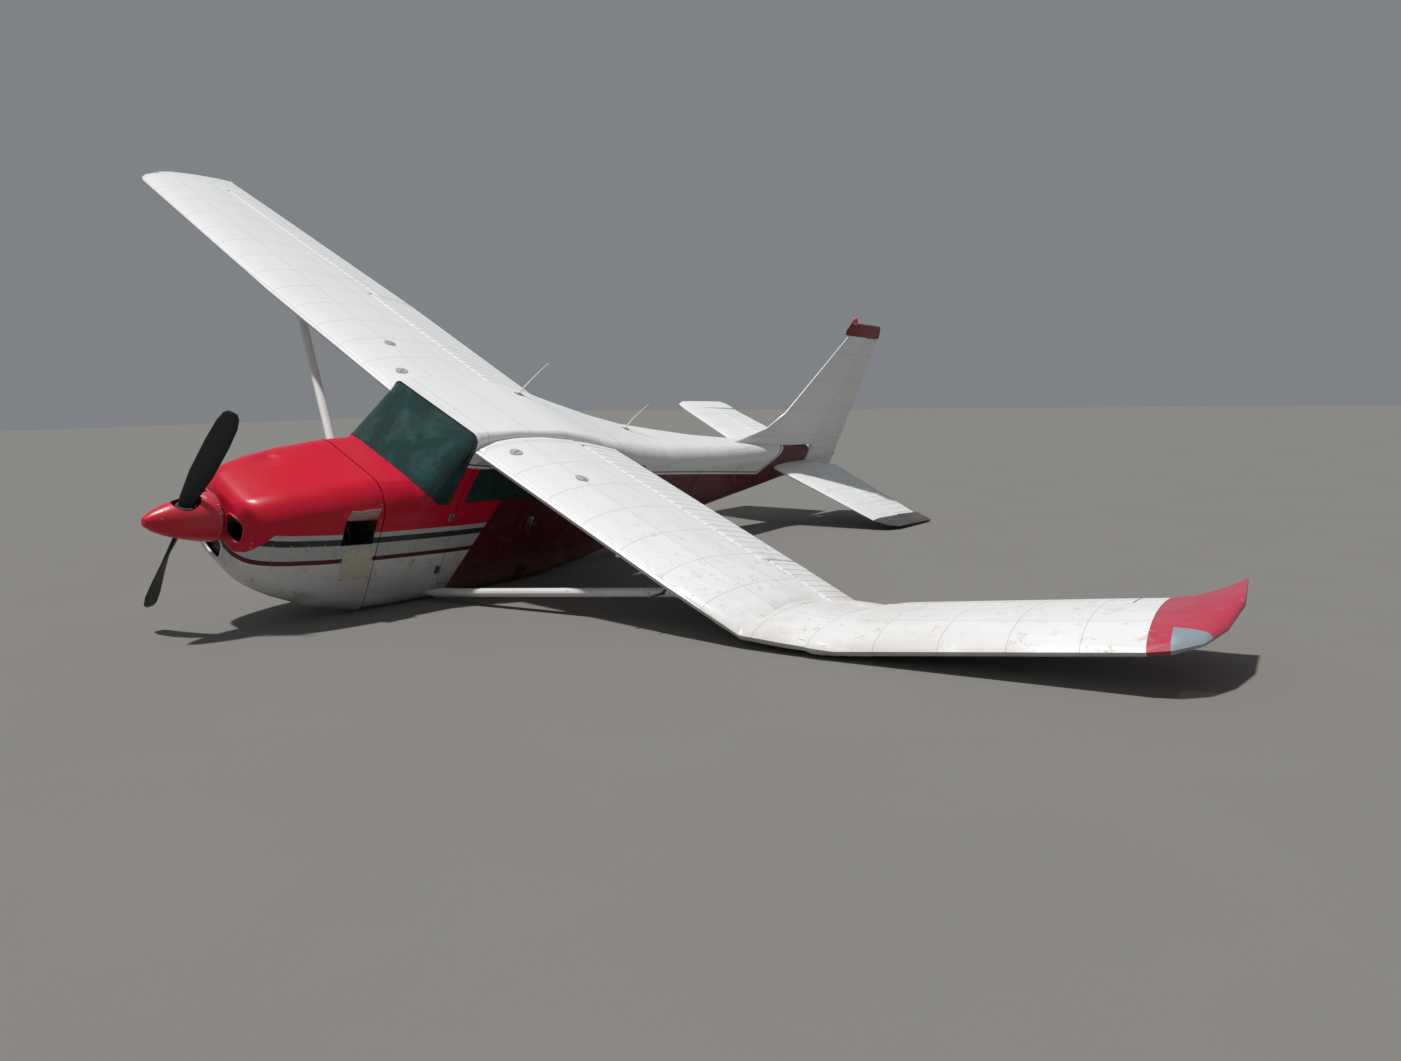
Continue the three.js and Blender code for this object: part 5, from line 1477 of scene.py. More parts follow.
def build_wheel():
    tyre = spun(tyre_profile(), WHEEL_CENTRE, (1, 0, 0), sides=72)
    dress(tyre, "tyre_with_tread", "wheel_right", finish("rubber"), angle=25)
    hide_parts("tyre_right")
    reskin("wheel_hub_right", finish("wheel"), angle=30)
    bolts = []
    for i in range(8):
        turn = 2 * math.pi * i / 8
        bolts.append((WHEEL_CENTRE + Vector((-0.0600, 0.050 * math.cos(turn), 0.050 * math.sin(turn))),
                      Vector((-1, 0, 0))))
    screws(bolts, "wheel_bolts", "wheel_right", radius=0.008)
    cap = [(0.0185, -0.0603), (0.034, -0.0603), (0.034, -0.064), (0.030, -0.068), (0.0185, -0.069)]
    cap = dress(spun(cap, WHEEL_CENTRE, (1, 0, 0), sides=36), "wheel_bearing_ring", "wheel_right",
                finish("steel"))
    stem = rod(WHEEL_CENTRE + Vector((-0.058, 0.058, 0)), WHEEL_CENTRE + Vector((-0.078, 0.062, 0)),
               0.004, 0.003, sides=10)
    dress(stem, "wheel_valve", "wheel_right", finish("rubber"))
    disc = [(0.024, 0.062), (0.046, 0.062), (0.046, 0.0895), (0.086, 0.0895), (0.086, 0.0945),
            (0.024, 0.0945)]
    dress(spun(disc, WHEEL_CENTRE, (1, 0, 0), sides=48), "brake_disc", "wheel_right", finish("steel"))
    middle = WHEEL_CENTRE + Vector((0.092, -0.088, 0.020))
    parts = [
        cube(middle + Vector((-0.0080, 0.012, 0)), (0.0050, 0.040, 0.070), rounding=0.0015, segments=1),
        cube(middle + Vector((0.0180, 0.006, 0)), (0.0240, 0.056, 0.078), rounding=0.006),
        cube(middle + Vector((0.0050, -0.018, 0)), (0.0310, 0.012, 0.078), rounding=0.004),
        rod(middle + Vector((0.028, 0.010, 0.018)), middle + Vector((0.042, 0.010, 0.018)), 0.015, sides=18,
            rounding=0.002),
        rod(middle + Vector((0.028, 0.010, -0.018)), middle + Vector((0.042, 0.010, -0.018)), 0.015,
            sides=18,
            rounding=0.002),
        cube(middle + Vector((0.0200, 0.060, 0)), (0.0100, 0.070, 0.046), rounding=0.003),
    ]
    dress(joined(parts), "brake_caliper", "airframe", finish("cast"))


def build_right_leg():
    reskin("main_leg_right", finish("leg"), angle=28)
    line = [Vector((x + 0.004, WHEEL_CENTRE.y - 0.040, z + 0.020)) for x, z in LEG_PATH[:4]]
    line += [Vector((-1.172, 2.890, -1.170)), Vector((-1.170, 2.868, -1.176))]
    dress(pipe(line, 0.0032, sides=2), "brake_line", "airframe", finish("steel"))
    clips = []
    for (x, z), (next_x, next_z) in zip(LEG_PATH[1:3], LEG_PATH[2:4]):
        for share in (0.25, 0.75):
            spot = Vector((x + (next_x - x) * share, WHEEL_CENTRE.y, z + (next_z - z) * share))
            turn = (0, -math.atan2(next_z - z, next_x - x), 0)
            clips.append(cube(spot, (0.012, 0.112, 0.030), turn=turn, rounding=0.003, segments=1))
    dress(joined(clips), "brake_line_clips", "airframe", finish("black trim"))
    boot = cube((-0.497, 2.950, -0.632), (0.075, 0.170, 0.070), turn=(0, math.radians(-16), 0),
                rounding=0.014,
                segments=3)
    with Editing(boot) as edit:
        edit.choose(lambda face: face.normal.x < -0.8)
        bpy.ops.transform.resize(value=(1, 0.86, 0.72))
    dress(boot, "leg_fairing", "airframe", finish("strut"))
    step = cube((-0.640, 2.880, -0.694), (0.110, 0.150, 0.010), turn=(0, math.radians(-20), 0),
                rounding=0.004)
    dress(step, "leg_step", "airframe", finish("black trim"))


# Broken parts

def torn_edge(piece, is_end, along, depth, seed):
    """Pulls the corners at a broken end to uneven lengths."""
    along = Vector(along).normalized()
    for corner in piece.data.vertices:
        if is_end(corner.co):
            pull = noise.noise(corner.co * 34 + Vector((seed, 0, 0)))
            corner.co += along * depth * pull + Vector((0, 0, 0.12 * depth * pull))
    return piece


def tube_between(start, end, radius, inner, sides=28):
    start, end = Vector(start), Vector(end)
    length = (end - start).length
    profile = [(inner, 0), (radius, 0), (radius, length * 0.5), (radius, length * 0.85), (radius, length),
               (inner, length), (inner, length * 0.85), (inner, length * 0.5)]
    return spun(profile, start, end - start, sides=sides)


NOSE_STUB = {"start": Vector((0, 1.300, -0.520)), "end": Vector((0, 1.275, -0.770))}


def build_nose_stub():
    """Casting of the nose leg, broken off below the cowl, with its fork lugs and torn bracket."""
    start, end = NOSE_STUB["start"], NOSE_STUB["end"]
    along = (end - start).normalized()
    casting = tube_between(start, end, 0.036, 0.027)
    torn_edge(casting, lambda co: (co - end).dot(along) > -0.045, -along, 0.030, 3)
    parts = [casting]
    for at in (0.10, 0.175):
        centre = start + along * at
        ring = [(0.034, -0.011), (0.043, -0.011), (0.043, 0.011), (0.034, 0.011)]
        parts.append(spun(ring, centre, along, sides=28))
        parts.append(cube(centre + Vector((0, 0.052, 0)), (0.036, 0.034, 0.022), rounding=0.005))
    piece = dress(joined(parts), "nose_leg_casting", "airframe", finish("cast"))
    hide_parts("nose_leg_stub")
    inner = tube_between(start + along * 0.12, end + along * 0.012, 0.0255, 0.020, 24)
    torn_edge(inner, lambda co: (co - end).dot(along) > -0.02, -along, 0.034, 8)
    dress(inner, "nose_leg_piston", "airframe", finish("steel"))
    bolt = rod(start + along * 0.175 + Vector((-0.030, 0.058, 0)),
               start + along * 0.175 + Vector((0.030, 0.058, 0)),
               0.0065, sides=12)
    dress(bolt, "nose_leg_bolt", "airframe", finish("steel"))
    collar = [(0.040, 0.000), (0.062, -0.004), (0.066, 0.004), (0.050, 0.020), (0.040, 0.022)]
    collar = spun(collar, start + along * 0.148, -along, sides=28)
    torn_edge(collar, lambda co: True, -along, 0.010, 5)
    dress(collar, "nose_leg_torn_collar", "airframe", finish("dull metal"))


def torn_flap(centre, width, length, turn, seed):
    """Strip of torn skin, bent away from the hole that it came from."""
    bpy.ops.mesh.primitive_grid_add(x_subdivisions=5, y_subdivisions=7, size=1)
    piece = bpy.context.object
    piece.scale = (width, length, 1)
    settle(piece)
    for corner in piece.data.vertices:
        out = corner.co.y / length + 0.5
        corner.co.x *= 1 - 0.55 * out
        corner.co.z += 0.35 * length * out ** 2 + 0.012 * noise.noise(corner.co * 30 + Vector((seed, 0, 0)))
        corner.co.y += length * 0.5 + 0.014 * out * noise.noise(corner.co * 60 + Vector((0, seed, 0)))
    apply_modifier(piece, "SOLIDIFY", thickness=0.0012, offset=0)
    piece.data.transform(Matrix.Translation(centre) @ Euler(turn).to_matrix().to_4x4())
    return piece


def build_left_socket():
    """Hole on the left side of the belly where the left leg tore out, with bent skin round it."""
    flaps = []
    for i, (y, turn) in enumerate(((2.882, 2.4), (2.925, 1.5), (2.972, 1.2), (3.020, 0.6))):
        place, normal = on_skin("cabin_shell", (0.9, y, -0.40), (-1, 0, -0.15))
        flaps.append(torn_flap(place + normal * 0.001, 0.036, 0.045, (math.pi / 2, 0, turn), i))
    dress(joined(flaps), "left_socket_torn_skin", "airframe", finish("dull metal"),
          outward=False)
    place, normal = on_skin("cabin_shell", (0.9, 2.950, -0.420), (-1, 0, -0.15))
    turn = normal.to_track_quat("Z", "Y").to_euler()
    parts = [cube(place + normal * 0.003, (0.100, 0.150, 0.006), turn=turn, rounding=0.002)]
    parts.append(cube(place + normal * 0.018, (0.026, 0.108, 0.040), turn=turn, rounding=0.004))
    socket = joined(parts)
    torn_edge(socket, lambda co: (co - place).dot(normal) > 0.02, normal, 0.030, 11)
    dress(socket, "left_leg_stump", "airframe", finish("rust"))


def build_exhaust():
    reskin("exhaust_pipe", finish("rust"), angle=30)
    clamp = [(0.030, -0.008), (0.036, -0.008), (0.036, 0.008), (0.030, 0.008)]
    start, end = Vector((-0.210, 1.180, -0.560)), Vector((-0.230, 1.245, -0.740))
    along = (end - start).normalized()
    ring = spun(clamp, start + along * 0.125, along, sides=24)
    dress(ring, "exhaust_clamp", "airframe", finish("steel"))


class AIRCRAFT_OT_landing_gear(bpy.types.Operator):
    """Right wheel with tread, brake and line on its spring leg, and what is left of the torn-off legs"""
    bl_idname = "aircraft.landing_gear"
    bl_label = "Landing gear"

    def execute(self, context):
        build_wheel()
        build_right_leg()
        build_nose_stub()
        build_left_socket()
        build_exhaust()
        return {"FINISHED"}


# Wing fittings

def wing_skin(side, span, share, top=True):
    """Point and normal on a wing's skin at a straight-wing span and share of the chord."""
    base = wing_place(side, span, share)
    up = (wing_place(side, span, share, 0.3) - base).normalized()
    if not top:
        up = -up
    return on_skin(f"wing_{side}", base + up * 0.4, -up)


def fuel_cap(side, span, share):
    place, normal = wing_skin(side, span, share)
    ring = [(0.0, 0.000), (0.052, 0.000), (0.052, 0.003), (0.046, 0.0045), (0.043, 0.003), (0.040, 0.006),
            (0.012, 0.0085), (0.0, 0.0085)]
    cap = spun(ring, place, normal, sides=32)
    across = wing_place(side, span + 0.1, share) - wing_place(side, span, share)
    turn = normal.to_track_quat("Z", "Y") @ Quaternion((0, 0, 1), 0.4 + across.x)
    tab = cube((0, 0, 0.011), (0.014, 0.060, 0.006), rounding=0.002, segments=1)
    tab.data.transform(Matrix.Translation(place) @ turn.to_matrix().to_4x4())
    return joined([cap, tab])


def bracket(place, normal, aft, length, height, width):
    """Streamlined hinge bracket standing on a skin."""
    piece = cube((0, 0, height / 2), (width, length, height), rounding=0.0)
    with Editing(piece) as edit:
        edit.choose(lambda face: face.normal.z > 0.9)
        bpy.ops.transform.resize(value=(0.5, 0.55, 1))
        bpy.ops.transform.translate(value=(0, length * 0.14, 0))
    bevel(piece, min(width, height) * 0.18, 2)
    side = aft.cross(normal).normalized()
    turn = Matrix((side, normal.cross(side), normal)).transposed().to_4x4()
    piece.data.transform(Matrix.Translation(place) @ turn)
    return piece


def build_wing_fittings(side):
    caps = [fuel_cap(side, 0.20, 0.135), fuel_cap(side, 0.72, 0.27)]
    dress(joined(caps), f"fuel_caps_{side}", "airframe", finish("fuel cap"))

    brackets = []
    for span in (0.35, 1.05, 1.80):
        place, normal = wing_skin(side, span, 0.62, top=False)
        aft = (wing_place(side, span, 0.7) - wing_place(side, span, 0.6)).normalized()
        brackets.append(bracket(place, normal, aft, 0.120, 0.034, 0.016))
    for span in (2.35, 3.65, 4.55):
        place, normal = wing_skin(side, span, 0.665, top=False)
        aft = (wing_place(side, span, 0.7) - wing_place(side, span, 0.6)).normalized()
        brackets.append(bracket(place, normal, aft, 0.085, 0.024, 0.012))
    dress(joined(brackets), f"hinge_brackets_{side}", "airframe", finish("strut"))

    plates = []
    for span in (0.45, 0.95, 1.45, 2.10, 3.60, 4.40):
        place, normal = wing_skin(side, span, 0.42, top=False)
        ring = [(0.0, 0.0), (0.062, 0.0), (0.062, 0.0015), (0.058, 0.0025), (0.0, 0.0025)]
        plates.append(spun(ring, place, normal, sides=28))
    dress(joined(plates), f"wing_inspection_covers_{side}", "airframe", finish("strut"))

    place, normal = wing_skin(side, 2.16, 0.30, top=False)
    points = [place + Vector((0, 0.020 * math.cos(t), 0)) + normal * (0.022 + 0.020 * math.sin(t))
              for t in (2 * math.pi * i / 14 for i in range(14))]
    tie = [pipe(points, 0.004, sides=2, closed=True), rod(place, place + normal * 0.012, 0.009, sides=12)]
    dress(joined(tie), f"tie_down_ring_{side}", "airframe", finish("steel"))

    place, normal = wing_skin(side, 1.72, 0.40, top=False)
    vent = pipe([place, place + normal * 0.030, place + normal * 0.045 + Vector((0, -0.030, 0))], 0.006,
                sides=3)
    dress(vent, f"fuel_vent_{side}", "airframe", finish("steel"))

    build_root_fairing(side)

    lamp = extent(f"tip_lamp_{side}")
    middle = (lamp[0] + lamp[1]) / 2
    glow = spun([(0.0, -0.016), (0.010, -0.014), (0.014, 0.0), (0.010, 0.014), (0.0, 0.018)], middle,
                (0, 1, 0), 20)
    dress(glow, f"tip_lamp_bulb_{side}", "airframe", finish(f"bulb {side}"))


def build_root_fairing(side):
    """Bent strip that covers the gap between the wing root and the cabin."""
    sign = SIDES[side]
    shares = [1.0 * (i / 16) ** 1.6 for i in range(17)]
    shares = [0.015 + 0.62 * share for share in shares]
    rows = []
    for top in (True, False):
        row = []
        for share in (reversed(shares) if top else shares):
            place, normal = wing_skin(side, 0.022, share, top=top)
            row.append((place, normal))
        rows += row
    corners, faces = [], []
    for place, normal in rows:
        for shift, lift in ((0.020, 0.0012), (0.0, 0.0030), (-0.026, 0.0030), (-0.034, 0.0012)):
            corners.append(place + normal * lift + Vector((sign * shift, 0, 0)))
    for i in range(len(rows) - 1):
        for j in range(3):
            a = i * 4 + j
            faces.append((a, a + 1, a + 5, a + 4) if sign < 0 else (a, a + 4, a + 5, a + 1))
    mesh = bpy.data.meshes.new("fairing")
    mesh.from_pydata(corners, [], faces)
    piece = bpy.data.objects.new("fairing", mesh)
    bpy.context.collection.objects.link(piece)
    apply_modifier(piece, "SOLIDIFY", thickness=0.0012, offset=0)
    dress(piece, f"wing_root_fairing_{side}", "airframe", finish("strut"))


def build_left_wing_extras():
    place, normal = wing_skin("left", 1.95, 0.10, top=False)
    foot = place - normal * 0.002
    bend = place + normal * 0.070
    parts = [pipe([foot, place + normal * 0.050, bend + Vector((0, -0.020, 0))], 0.010, sides=3),
             rod(bend + Vector((0, 0.010, -0.002)), bend + Vector((0, -0.150, -0.002)), 0.010, 0.007,
                 sides=16)]
    dress(joined(parts), "pitot_tube", "airframe", finish("steel"))
    front = wing_place("left", 1.60, 0.0)
    vane = cube(front + Vector((0, -0.004, -0.012)), (0.032, 0.036, 0.0016), turn=(0.3, 0, 0),
                rounding=0.0006,
                segments=1)
    dress(vane, "stall_vane", "airframe", finish("steel"))


class AIRCRAFT_OT_wing_fittings(bpy.types.Operator):
    """Fuel caps, covers, hinge brackets, root fairings, tie-down rings, vents, pitot tube and lamp bulbs"""
    bl_idname = "aircraft.wing_fittings"
    bl_label = "Wing fittings"

    def execute(self, context):
        for side in SIDES:
            build_wing_fittings(side)
        build_left_wing_extras()
        return {"FINISHED"}


# Struts, antennas and tail fittings

STRUT_ENDS = {"foot": Vector((0.545, 2.005, -0.548)), "top": Vector((2.680, 2.430, 0.640))}


def strut_cuff(side, share, reach, grow):
    """Sleeve over an end of a strut, cut from the strut's own shape and swollen a little."""
    sign = SIDES[side]
    rise = math.tan(math.radians(DIHEDRAL[side])) * (STRUT_ENDS["top"].x - WING_ROOT.x)
    foot = Vector((sign * STRUT_ENDS["foot"].x, STRUT_ENDS["foot"].y, STRUT_ENDS["foot"].z))
    top = Vector((sign * STRUT_ENDS["top"].x, STRUT_ENDS["top"].y, STRUT_ENDS["top"].z + rise))
    along = (top - foot).normalized()
    start = foot.lerp(top, share)
    piece = upright(f"strut_{side}")
    with Editing(piece, "VERT"):
        for point, normal in ((start, -along), (start + along * reach, along)):
            bpy.ops.mesh.select_all(action="SELECT")
            bpy.ops.mesh.bisect(plane_co=point, plane_no=normal, clear_outer=True, use_fill=True)
        bpy.ops.mesh.select_all(action="SELECT")
        bpy.ops.transform.shrink_fatten(value=grow)
    return piece


def build_strut_cuffs():
    for side in SIDES:
        cuffs = [strut_cuff(side, 0.045, 0.130, 0.004), strut_cuff(side, 0.925, 0.110, 0.004)]
        piece = joined(cuffs)
        bevel(piece, 0.002, 1, 60)
        dress(piece, f"strut_cuffs_{side}", "airframe", finish("strut"))


def build_antennas():
    for label in ("front", "back"):
        reskin(f"antenna_{label}", finish("strut"))
    for label, foot in (("front", (-0.300, 3.210, 0.818)), ("back", (-0.120, 4.560, 0.546))):
        node = "cabin_roof" if label == "front" else "cabin_shell"
        x, y, z = foot
        base = plate_on(node, (x, y + 0.010, z + 0.3), (0, 0, -1), (0.050, 0.085), 0.008, rounding=0.003)
        dress(base, f"antenna_base_{label}", "airframe", finish("black trim"))


def build_tail_fittings():
    dome = [(0.0, -0.010), (0.030, -0.010), (0.032, 0.004), (0.030, 0.030), (0.022, 0.050), (0.010, 0.060),
            (0.0, 0.062)]
    dress(spun(dome, (0, 7.925, 1.937), (0, 0, 1), sides=28), "beacon_lens", "airframe", finish("beacon"))
    base = [(0.0, -0.014), (0.036, -0.014), (0.038, -0.006), (0.036, 0.004), (0.0, 0.004)]
    dress(spun(base, (0, 7.925, 1.937), (0, 0, 1), sides=28), "beacon_base", "airframe", finish("steel"))

    _, high = extent("rudder")
    lamp = [(0.0, -0.006), (0.016, -0.006), (0.018, 0.006), (0.014, 0.022), (0.0, 0.028)]
    dress(spun(lamp, (0, high.y - 0.022, 0.170), (0, 1, 0), sides=24), "tail_lamp", "rudder", finish("lens"))

    plates = []
    for z in (0.520, 0.980, 1.460):
        for sign in (-1, 1):
            y = 8.078 + 0.186 * (z - 0.335) - 0.075
            place, normal = on_skin("fin", (sign * 0.5, y, z), (-sign, 0, 0))
            turn = normal.to_track_quat("Z", "Y").to_euler()
            plates.append(cube(place + normal * 0.001, (0.032, 0.060, 0.004), turn=turn, rounding=0.0015,
                               segments=1))
    dress(joined(plates), "rudder_hinge_plates", "airframe", finish("strut"))

    tab_places = []
    for i in range(9):
        x = -0.620 - 0.070 * i
        tab_places.append(on_skin("elevator", (x, 8.295, 0.6), (0, 0, -1)))
    screws(tab_places, "trim_tab_hinge_pins", "elevator", radius=0.005)
    place, normal = on_skin("elevator", (-0.860, 8.300, -0.4), (0, 0, 1))
    parts = [cube(place + normal * 0.010, (0.006, 0.030, 0.024), rounding=0.002, segments=1),
             rod(place + normal * 0.016, place + normal * 0.012 + Vector((0, -0.170, 0)), 0.003, sides=10)]
    dress(joined(parts), "trim_tab_rod", "elevator", finish("steel"))

    ring_place, ring_normal = on_skin("tail_cone", (0, 7.600, -0.8), (0, 0, 1))
    points = [ring_place + Vector((0, 0.020 * math.cos(t), 0)) + ring_normal * (0.022 + 0.020 * math.sin(t))
              for t in (2 * math.pi * i / 14 for i in range(14))]
    tie = [pipe(points, 0.004, sides=2, closed=True),
           rod(ring_place, ring_place + ring_normal * 0.012, 0.009, sides=12)]
    dress(joined(tie), "tail_tie_down_ring", "airframe", finish("steel"))

    wicks = []
    for x in (-1.40, -1.15, 1.15, 1.40):
        chord_end = extent("elevator")[1].y
        place, _ = on_skin("elevator", (x, chord_end + 0.4, 0.108), (0, -1, 0))
        wicks.append(rod(place - Vector((0, 0.006, 0)), place + Vector((0.01, 0.095, -0.004)), 0.0022,
                         0.0012, sides=8))
    dress(joined(wicks), "elevator_static_wicks", "elevator", finish("rubber"))


class AIRCRAFT_OT_struts_and_antennas(bpy.types.Operator):
    """Strut cuffs and the antennas with their bases"""
    bl_idname = "aircraft.struts_and_antennas"
    bl_label = "Strut cuffs and antennas"

    def execute(self, context):
        build_strut_cuffs()
        build_antennas()
        return {"FINISHED"}


class AIRCRAFT_OT_tail_fittings(bpy.types.Operator):
    """Beacon, tail lamp, hinge plates, trim tab rod, tie-down ring and static wicks"""
    bl_idname = "aircraft.tail_fittings"
    bl_label = "Tail fittings"

    def execute(self, context):
        build_tail_fittings()
        return {"FINISHED"}


# Windows and doors

PANES = (
    {"node": "windshield", "body": "airframe", "bead": 1.15},
    {"node": "door_window_left", "body": "door_left", "bead": 0.8},
    {"node": "door_window_right", "body": "door_right", "bead": 0.8},
    {"node": "rear_side_window_left", "body": "airframe", "bead": 0.9},
    {"node": "rear_side_window_right", "body": "airframe", "bead": 0.9},
)


def pane_bead(node, thickness):
    """Rubber bead along the outer edge of a pane, turned from the pane's own outline."""
    piece = upright(node)
    with Editing(piece, "FACE") as edit:
        def outer(face):
            centre = face.calc_center_median()
            out = Vector((centre.x, 0, centre.z - 0.1)).normalized()
            return face.normal.dot(out) > 0.35
        if not edit.choose(outer):
            raise RuntimeError(f"{node} has no outer faces")
        bpy.ops.mesh.region_to_loop()
        bpy.ops.mesh.select_mode(type="EDGE")
        bpy.ops.mesh.separate(type="SELECTED")
    loops = [item for item in bpy.context.selected_objects if item != piece][0]
    bpy.data.objects.remove(piece)
    pick(loops)
    with Editing(loops, "VERT"):
        bpy.ops.mesh.delete(type="ONLY_FACE")
    bpy.ops.object.convert(target="CURVE")
    loops = bpy.context.object
    loops.data.bevel_depth = thickness / 2
    loops.data.bevel_resolution = 2
    pick(loops)
    bpy.ops.object.convert(target="MESH")
    return bpy.context.object


def build_gaskets():
    for pane in PANES:
        bead = pane_bead(pane["node"], size("gasket") * pane["bead"])
        dress(bead, pane["node"] + "_gasket", pane["body"], finish("rubber"))


def door_handle(side):
    """Recessed lever handle on the outside of a door."""
    sign = SIDES[side]
    node = f"door_{side}"
    cup = plate_on(node, (sign * 0.9, 2.905, -0.010), (-sign, 0, 0), (0.060, 0.150), 0.006, rounding=0.0025)
    place, normal = on_skin(node, (sign * 0.9, 2.905, -0.010), (-sign, 0, 0))
    lever = cube((0, 0, 0), (0.026, 0.118, 0.008), rounding=0.003)
    with Editing(lever) as edit:
        edit.choose(lambda face: face.normal.y > 0.9)
        bpy.ops.transform.resize(value=(0.7, 1, 0.8))
    turn = normal.to_track_quat("Z", "Y").to_matrix().to_4x4()
    lever.data.transform(Matrix.Translation(place + normal * 0.012) @ turn)
    pivot = rod(place + normal * 0.001 + Vector((0, 0.045, 0)),
                place + normal * 0.013 + Vector((0, 0.045, 0)), 0.009,
                sides=16, rounding=0.0015)
    lock = rod(place + normal * 0.001 + Vector((0, -0.110, 0)),
               place + normal * 0.006 + Vector((0, -0.110, 0)), 0.011,
               sides=18, rounding=0.0015)
    dress(joined([cup, lever, pivot, lock]), f"door_handle_{side}", f"door_{side}", finish("steel"))


def door_trim(side):
    """Inner panel of a door with its armrest and pull."""
    sign = SIDES[side]
    body = f"door_{side}"
    panel = cube((sign * 0.5285, 2.560, -0.085), (0.006, 0.820, 0.600), rounding=0.002, segments=1)
    with Editing(panel) as edit:
        edit.choose(lambda face: abs(face.normal.x) > 0.95 and face.calc_area() > 0.1)
        bpy.ops.mesh.inset(thickness=0.060, depth=0.0016)
    dress(panel, f"door_trim_{side}", body, finish("cream trim"))
    rest = cube((sign * 0.500, 2.560, -0.030), (0.050, 0.330, 0.060), rounding=0.014, segments=3)
    with Editing(rest) as edit:
        edit.choose(lambda face: face.normal.z < -0.8)
        bpy.ops.transform.resize(value=(0.6, 0.9, 1))
    grip = pipe([(sign * 0.526, 2.780, 0.080), (sign * 0.490, 2.790, 0.080), (sign * 0.490, 2.880, 0.110),
                 (sign * 0.526, 2.890, 0.110)], 0.008)
    dress(joined([rest, grip]), f"door_armrest_{side}", body, finish("black trim"))


def door_hinges(side):
    sign = SIDES[side]
    parts = []
    for z in (-0.330, 0.140):
        place, normal = on_skin("cabin_shell", (sign * 0.9, 2.040, z), (-sign, 0, 0))
        leaf = cube(place + normal * 0.003, (0.008, 0.046, 0.070), rounding=0.002, segments=1)
        parts.append(leaf)
        parts.append(rod(place + normal * 0.006 + Vector((0, 0.018, -0.030)),
                         place + normal * 0.006 + Vector((0, 0.018, 0.030)), 0.006,
                         sides=14, rounding=0.001))
    dress(joined(parts), f"door_hinges_{side}", "airframe", finish("steel"))


BAGGAGE_DOOR_TOP = 0.205
BAGGAGE_DOOR = (
    (3.860, -0.165), (3.860, BAGGAGE_DOOR_TOP - 0.025), (3.885, BAGGAGE_DOOR_TOP), (4.300, BAGGAGE_DOOR_TOP),
    (4.325, BAGGAGE_DOOR_TOP - 0.025), (4.325, -0.115), (4.300, -0.140), (3.885, -0.185),
)


def build_baggage_door():
    frame_round(lambda y, z: "cabin_shell", 1, BAGGAGE_DOOR, 0.0026, 0.0004, "baggage_door_seam", "rubber")
    parts = []
    for y in (3.960, 4.220):
        place, normal = on_skin("cabin_shell", (0.9, y, BAGGAGE_DOOR_TOP + 0.012), (-1, 0, 0))
        parts.append(rod(place + normal * 0.004 - Vector((0, 0.035, 0)),
                         place + normal * 0.004 + Vector((0, 0.035, 0)),
                         0.005, sides=12, rounding=0.001))
    place, normal = on_skin("cabin_shell", (0.9, 4.090, -0.110), (-1, 0, 0))
    ring = [(0.0, 0.0), (0.022, 0.0), (0.022, 0.003), (0.016, 0.005), (0.0, 0.005)]
    parts.append(spun(ring, place, normal, sides=24))
    dress(joined(parts), "baggage_door_hardware", "airframe", finish("steel"))


class AIRCRAFT_OT_windows_and_doors(bpy.types.Operator):
    """Window gaskets, door handles, hinges, inner trims and the baggage door"""
    bl_idname = "aircraft.windows_and_doors"
    bl_label = "Windows and doors"

    def execute(self, context):
        build_gaskets()
        for side in SIDES:
            door_handle(side)
            door_trim(side)
            door_hinges(side)
        build_baggage_door()
        return {"FINISHED"}


# Seats

FRONT_SEAT = {"x": 0.265, "front": 2.230, "half": 0.215, "top": -0.170, "back_top": 0.430}
BENCH = {"x": 0.0, "front": 3.080, "half": 0.455, "top": -0.180, "back_top": 0.330}
VOXEL = 0.010
FLOOR_TOP = -0.480


def cushion_form(seat):
    """Seat cushion a little smaller than its space, highest at the front edge."""
    width = 2 * seat["half"] - 0.030
    middle = (seat["x"], seat["front"] + 0.220, seat["top"] - 0.070)
    piece = cube(middle, (width, 0.410, 0.095))
    bevel(piece, 0.030, 4)
    with Editing(piece, "VERT") as edit:
        edit.choose(lambda corner: corner.co.y < seat["front"] + 0.10 and corner.co.z > seat["top"] - 0.070)
        bpy.ops.transform.translate(value=(0, 0, 0.010))
    return piece


def back_form(seat):
    """Seat back leaning aft inside its space."""
    rise = seat["back_top"] - seat["top"] + 0.075
    lean = math.atan2(0.155, rise)
    width = 2 * seat["half"] - 0.034
    piece = cube((0, 0, 0), (width, 0.062, rise - 0.070))
    with Editing(piece) as edit:
        edit.choose(lambda face: face.normal.z > 0.9)
        bpy.ops.transform.resize(value=(0.90, 0.9, 1))
    bevel(piece, 0.026, 4)
    middle = Vector((seat["x"], seat["front"] + 0.485, (seat["top"] + seat["back_top"]) / 2 + 0.002))
    piece.data.transform(Matrix.Translation(middle) @ Matrix.Rotation(-lean, 4, "X"))
    return piece


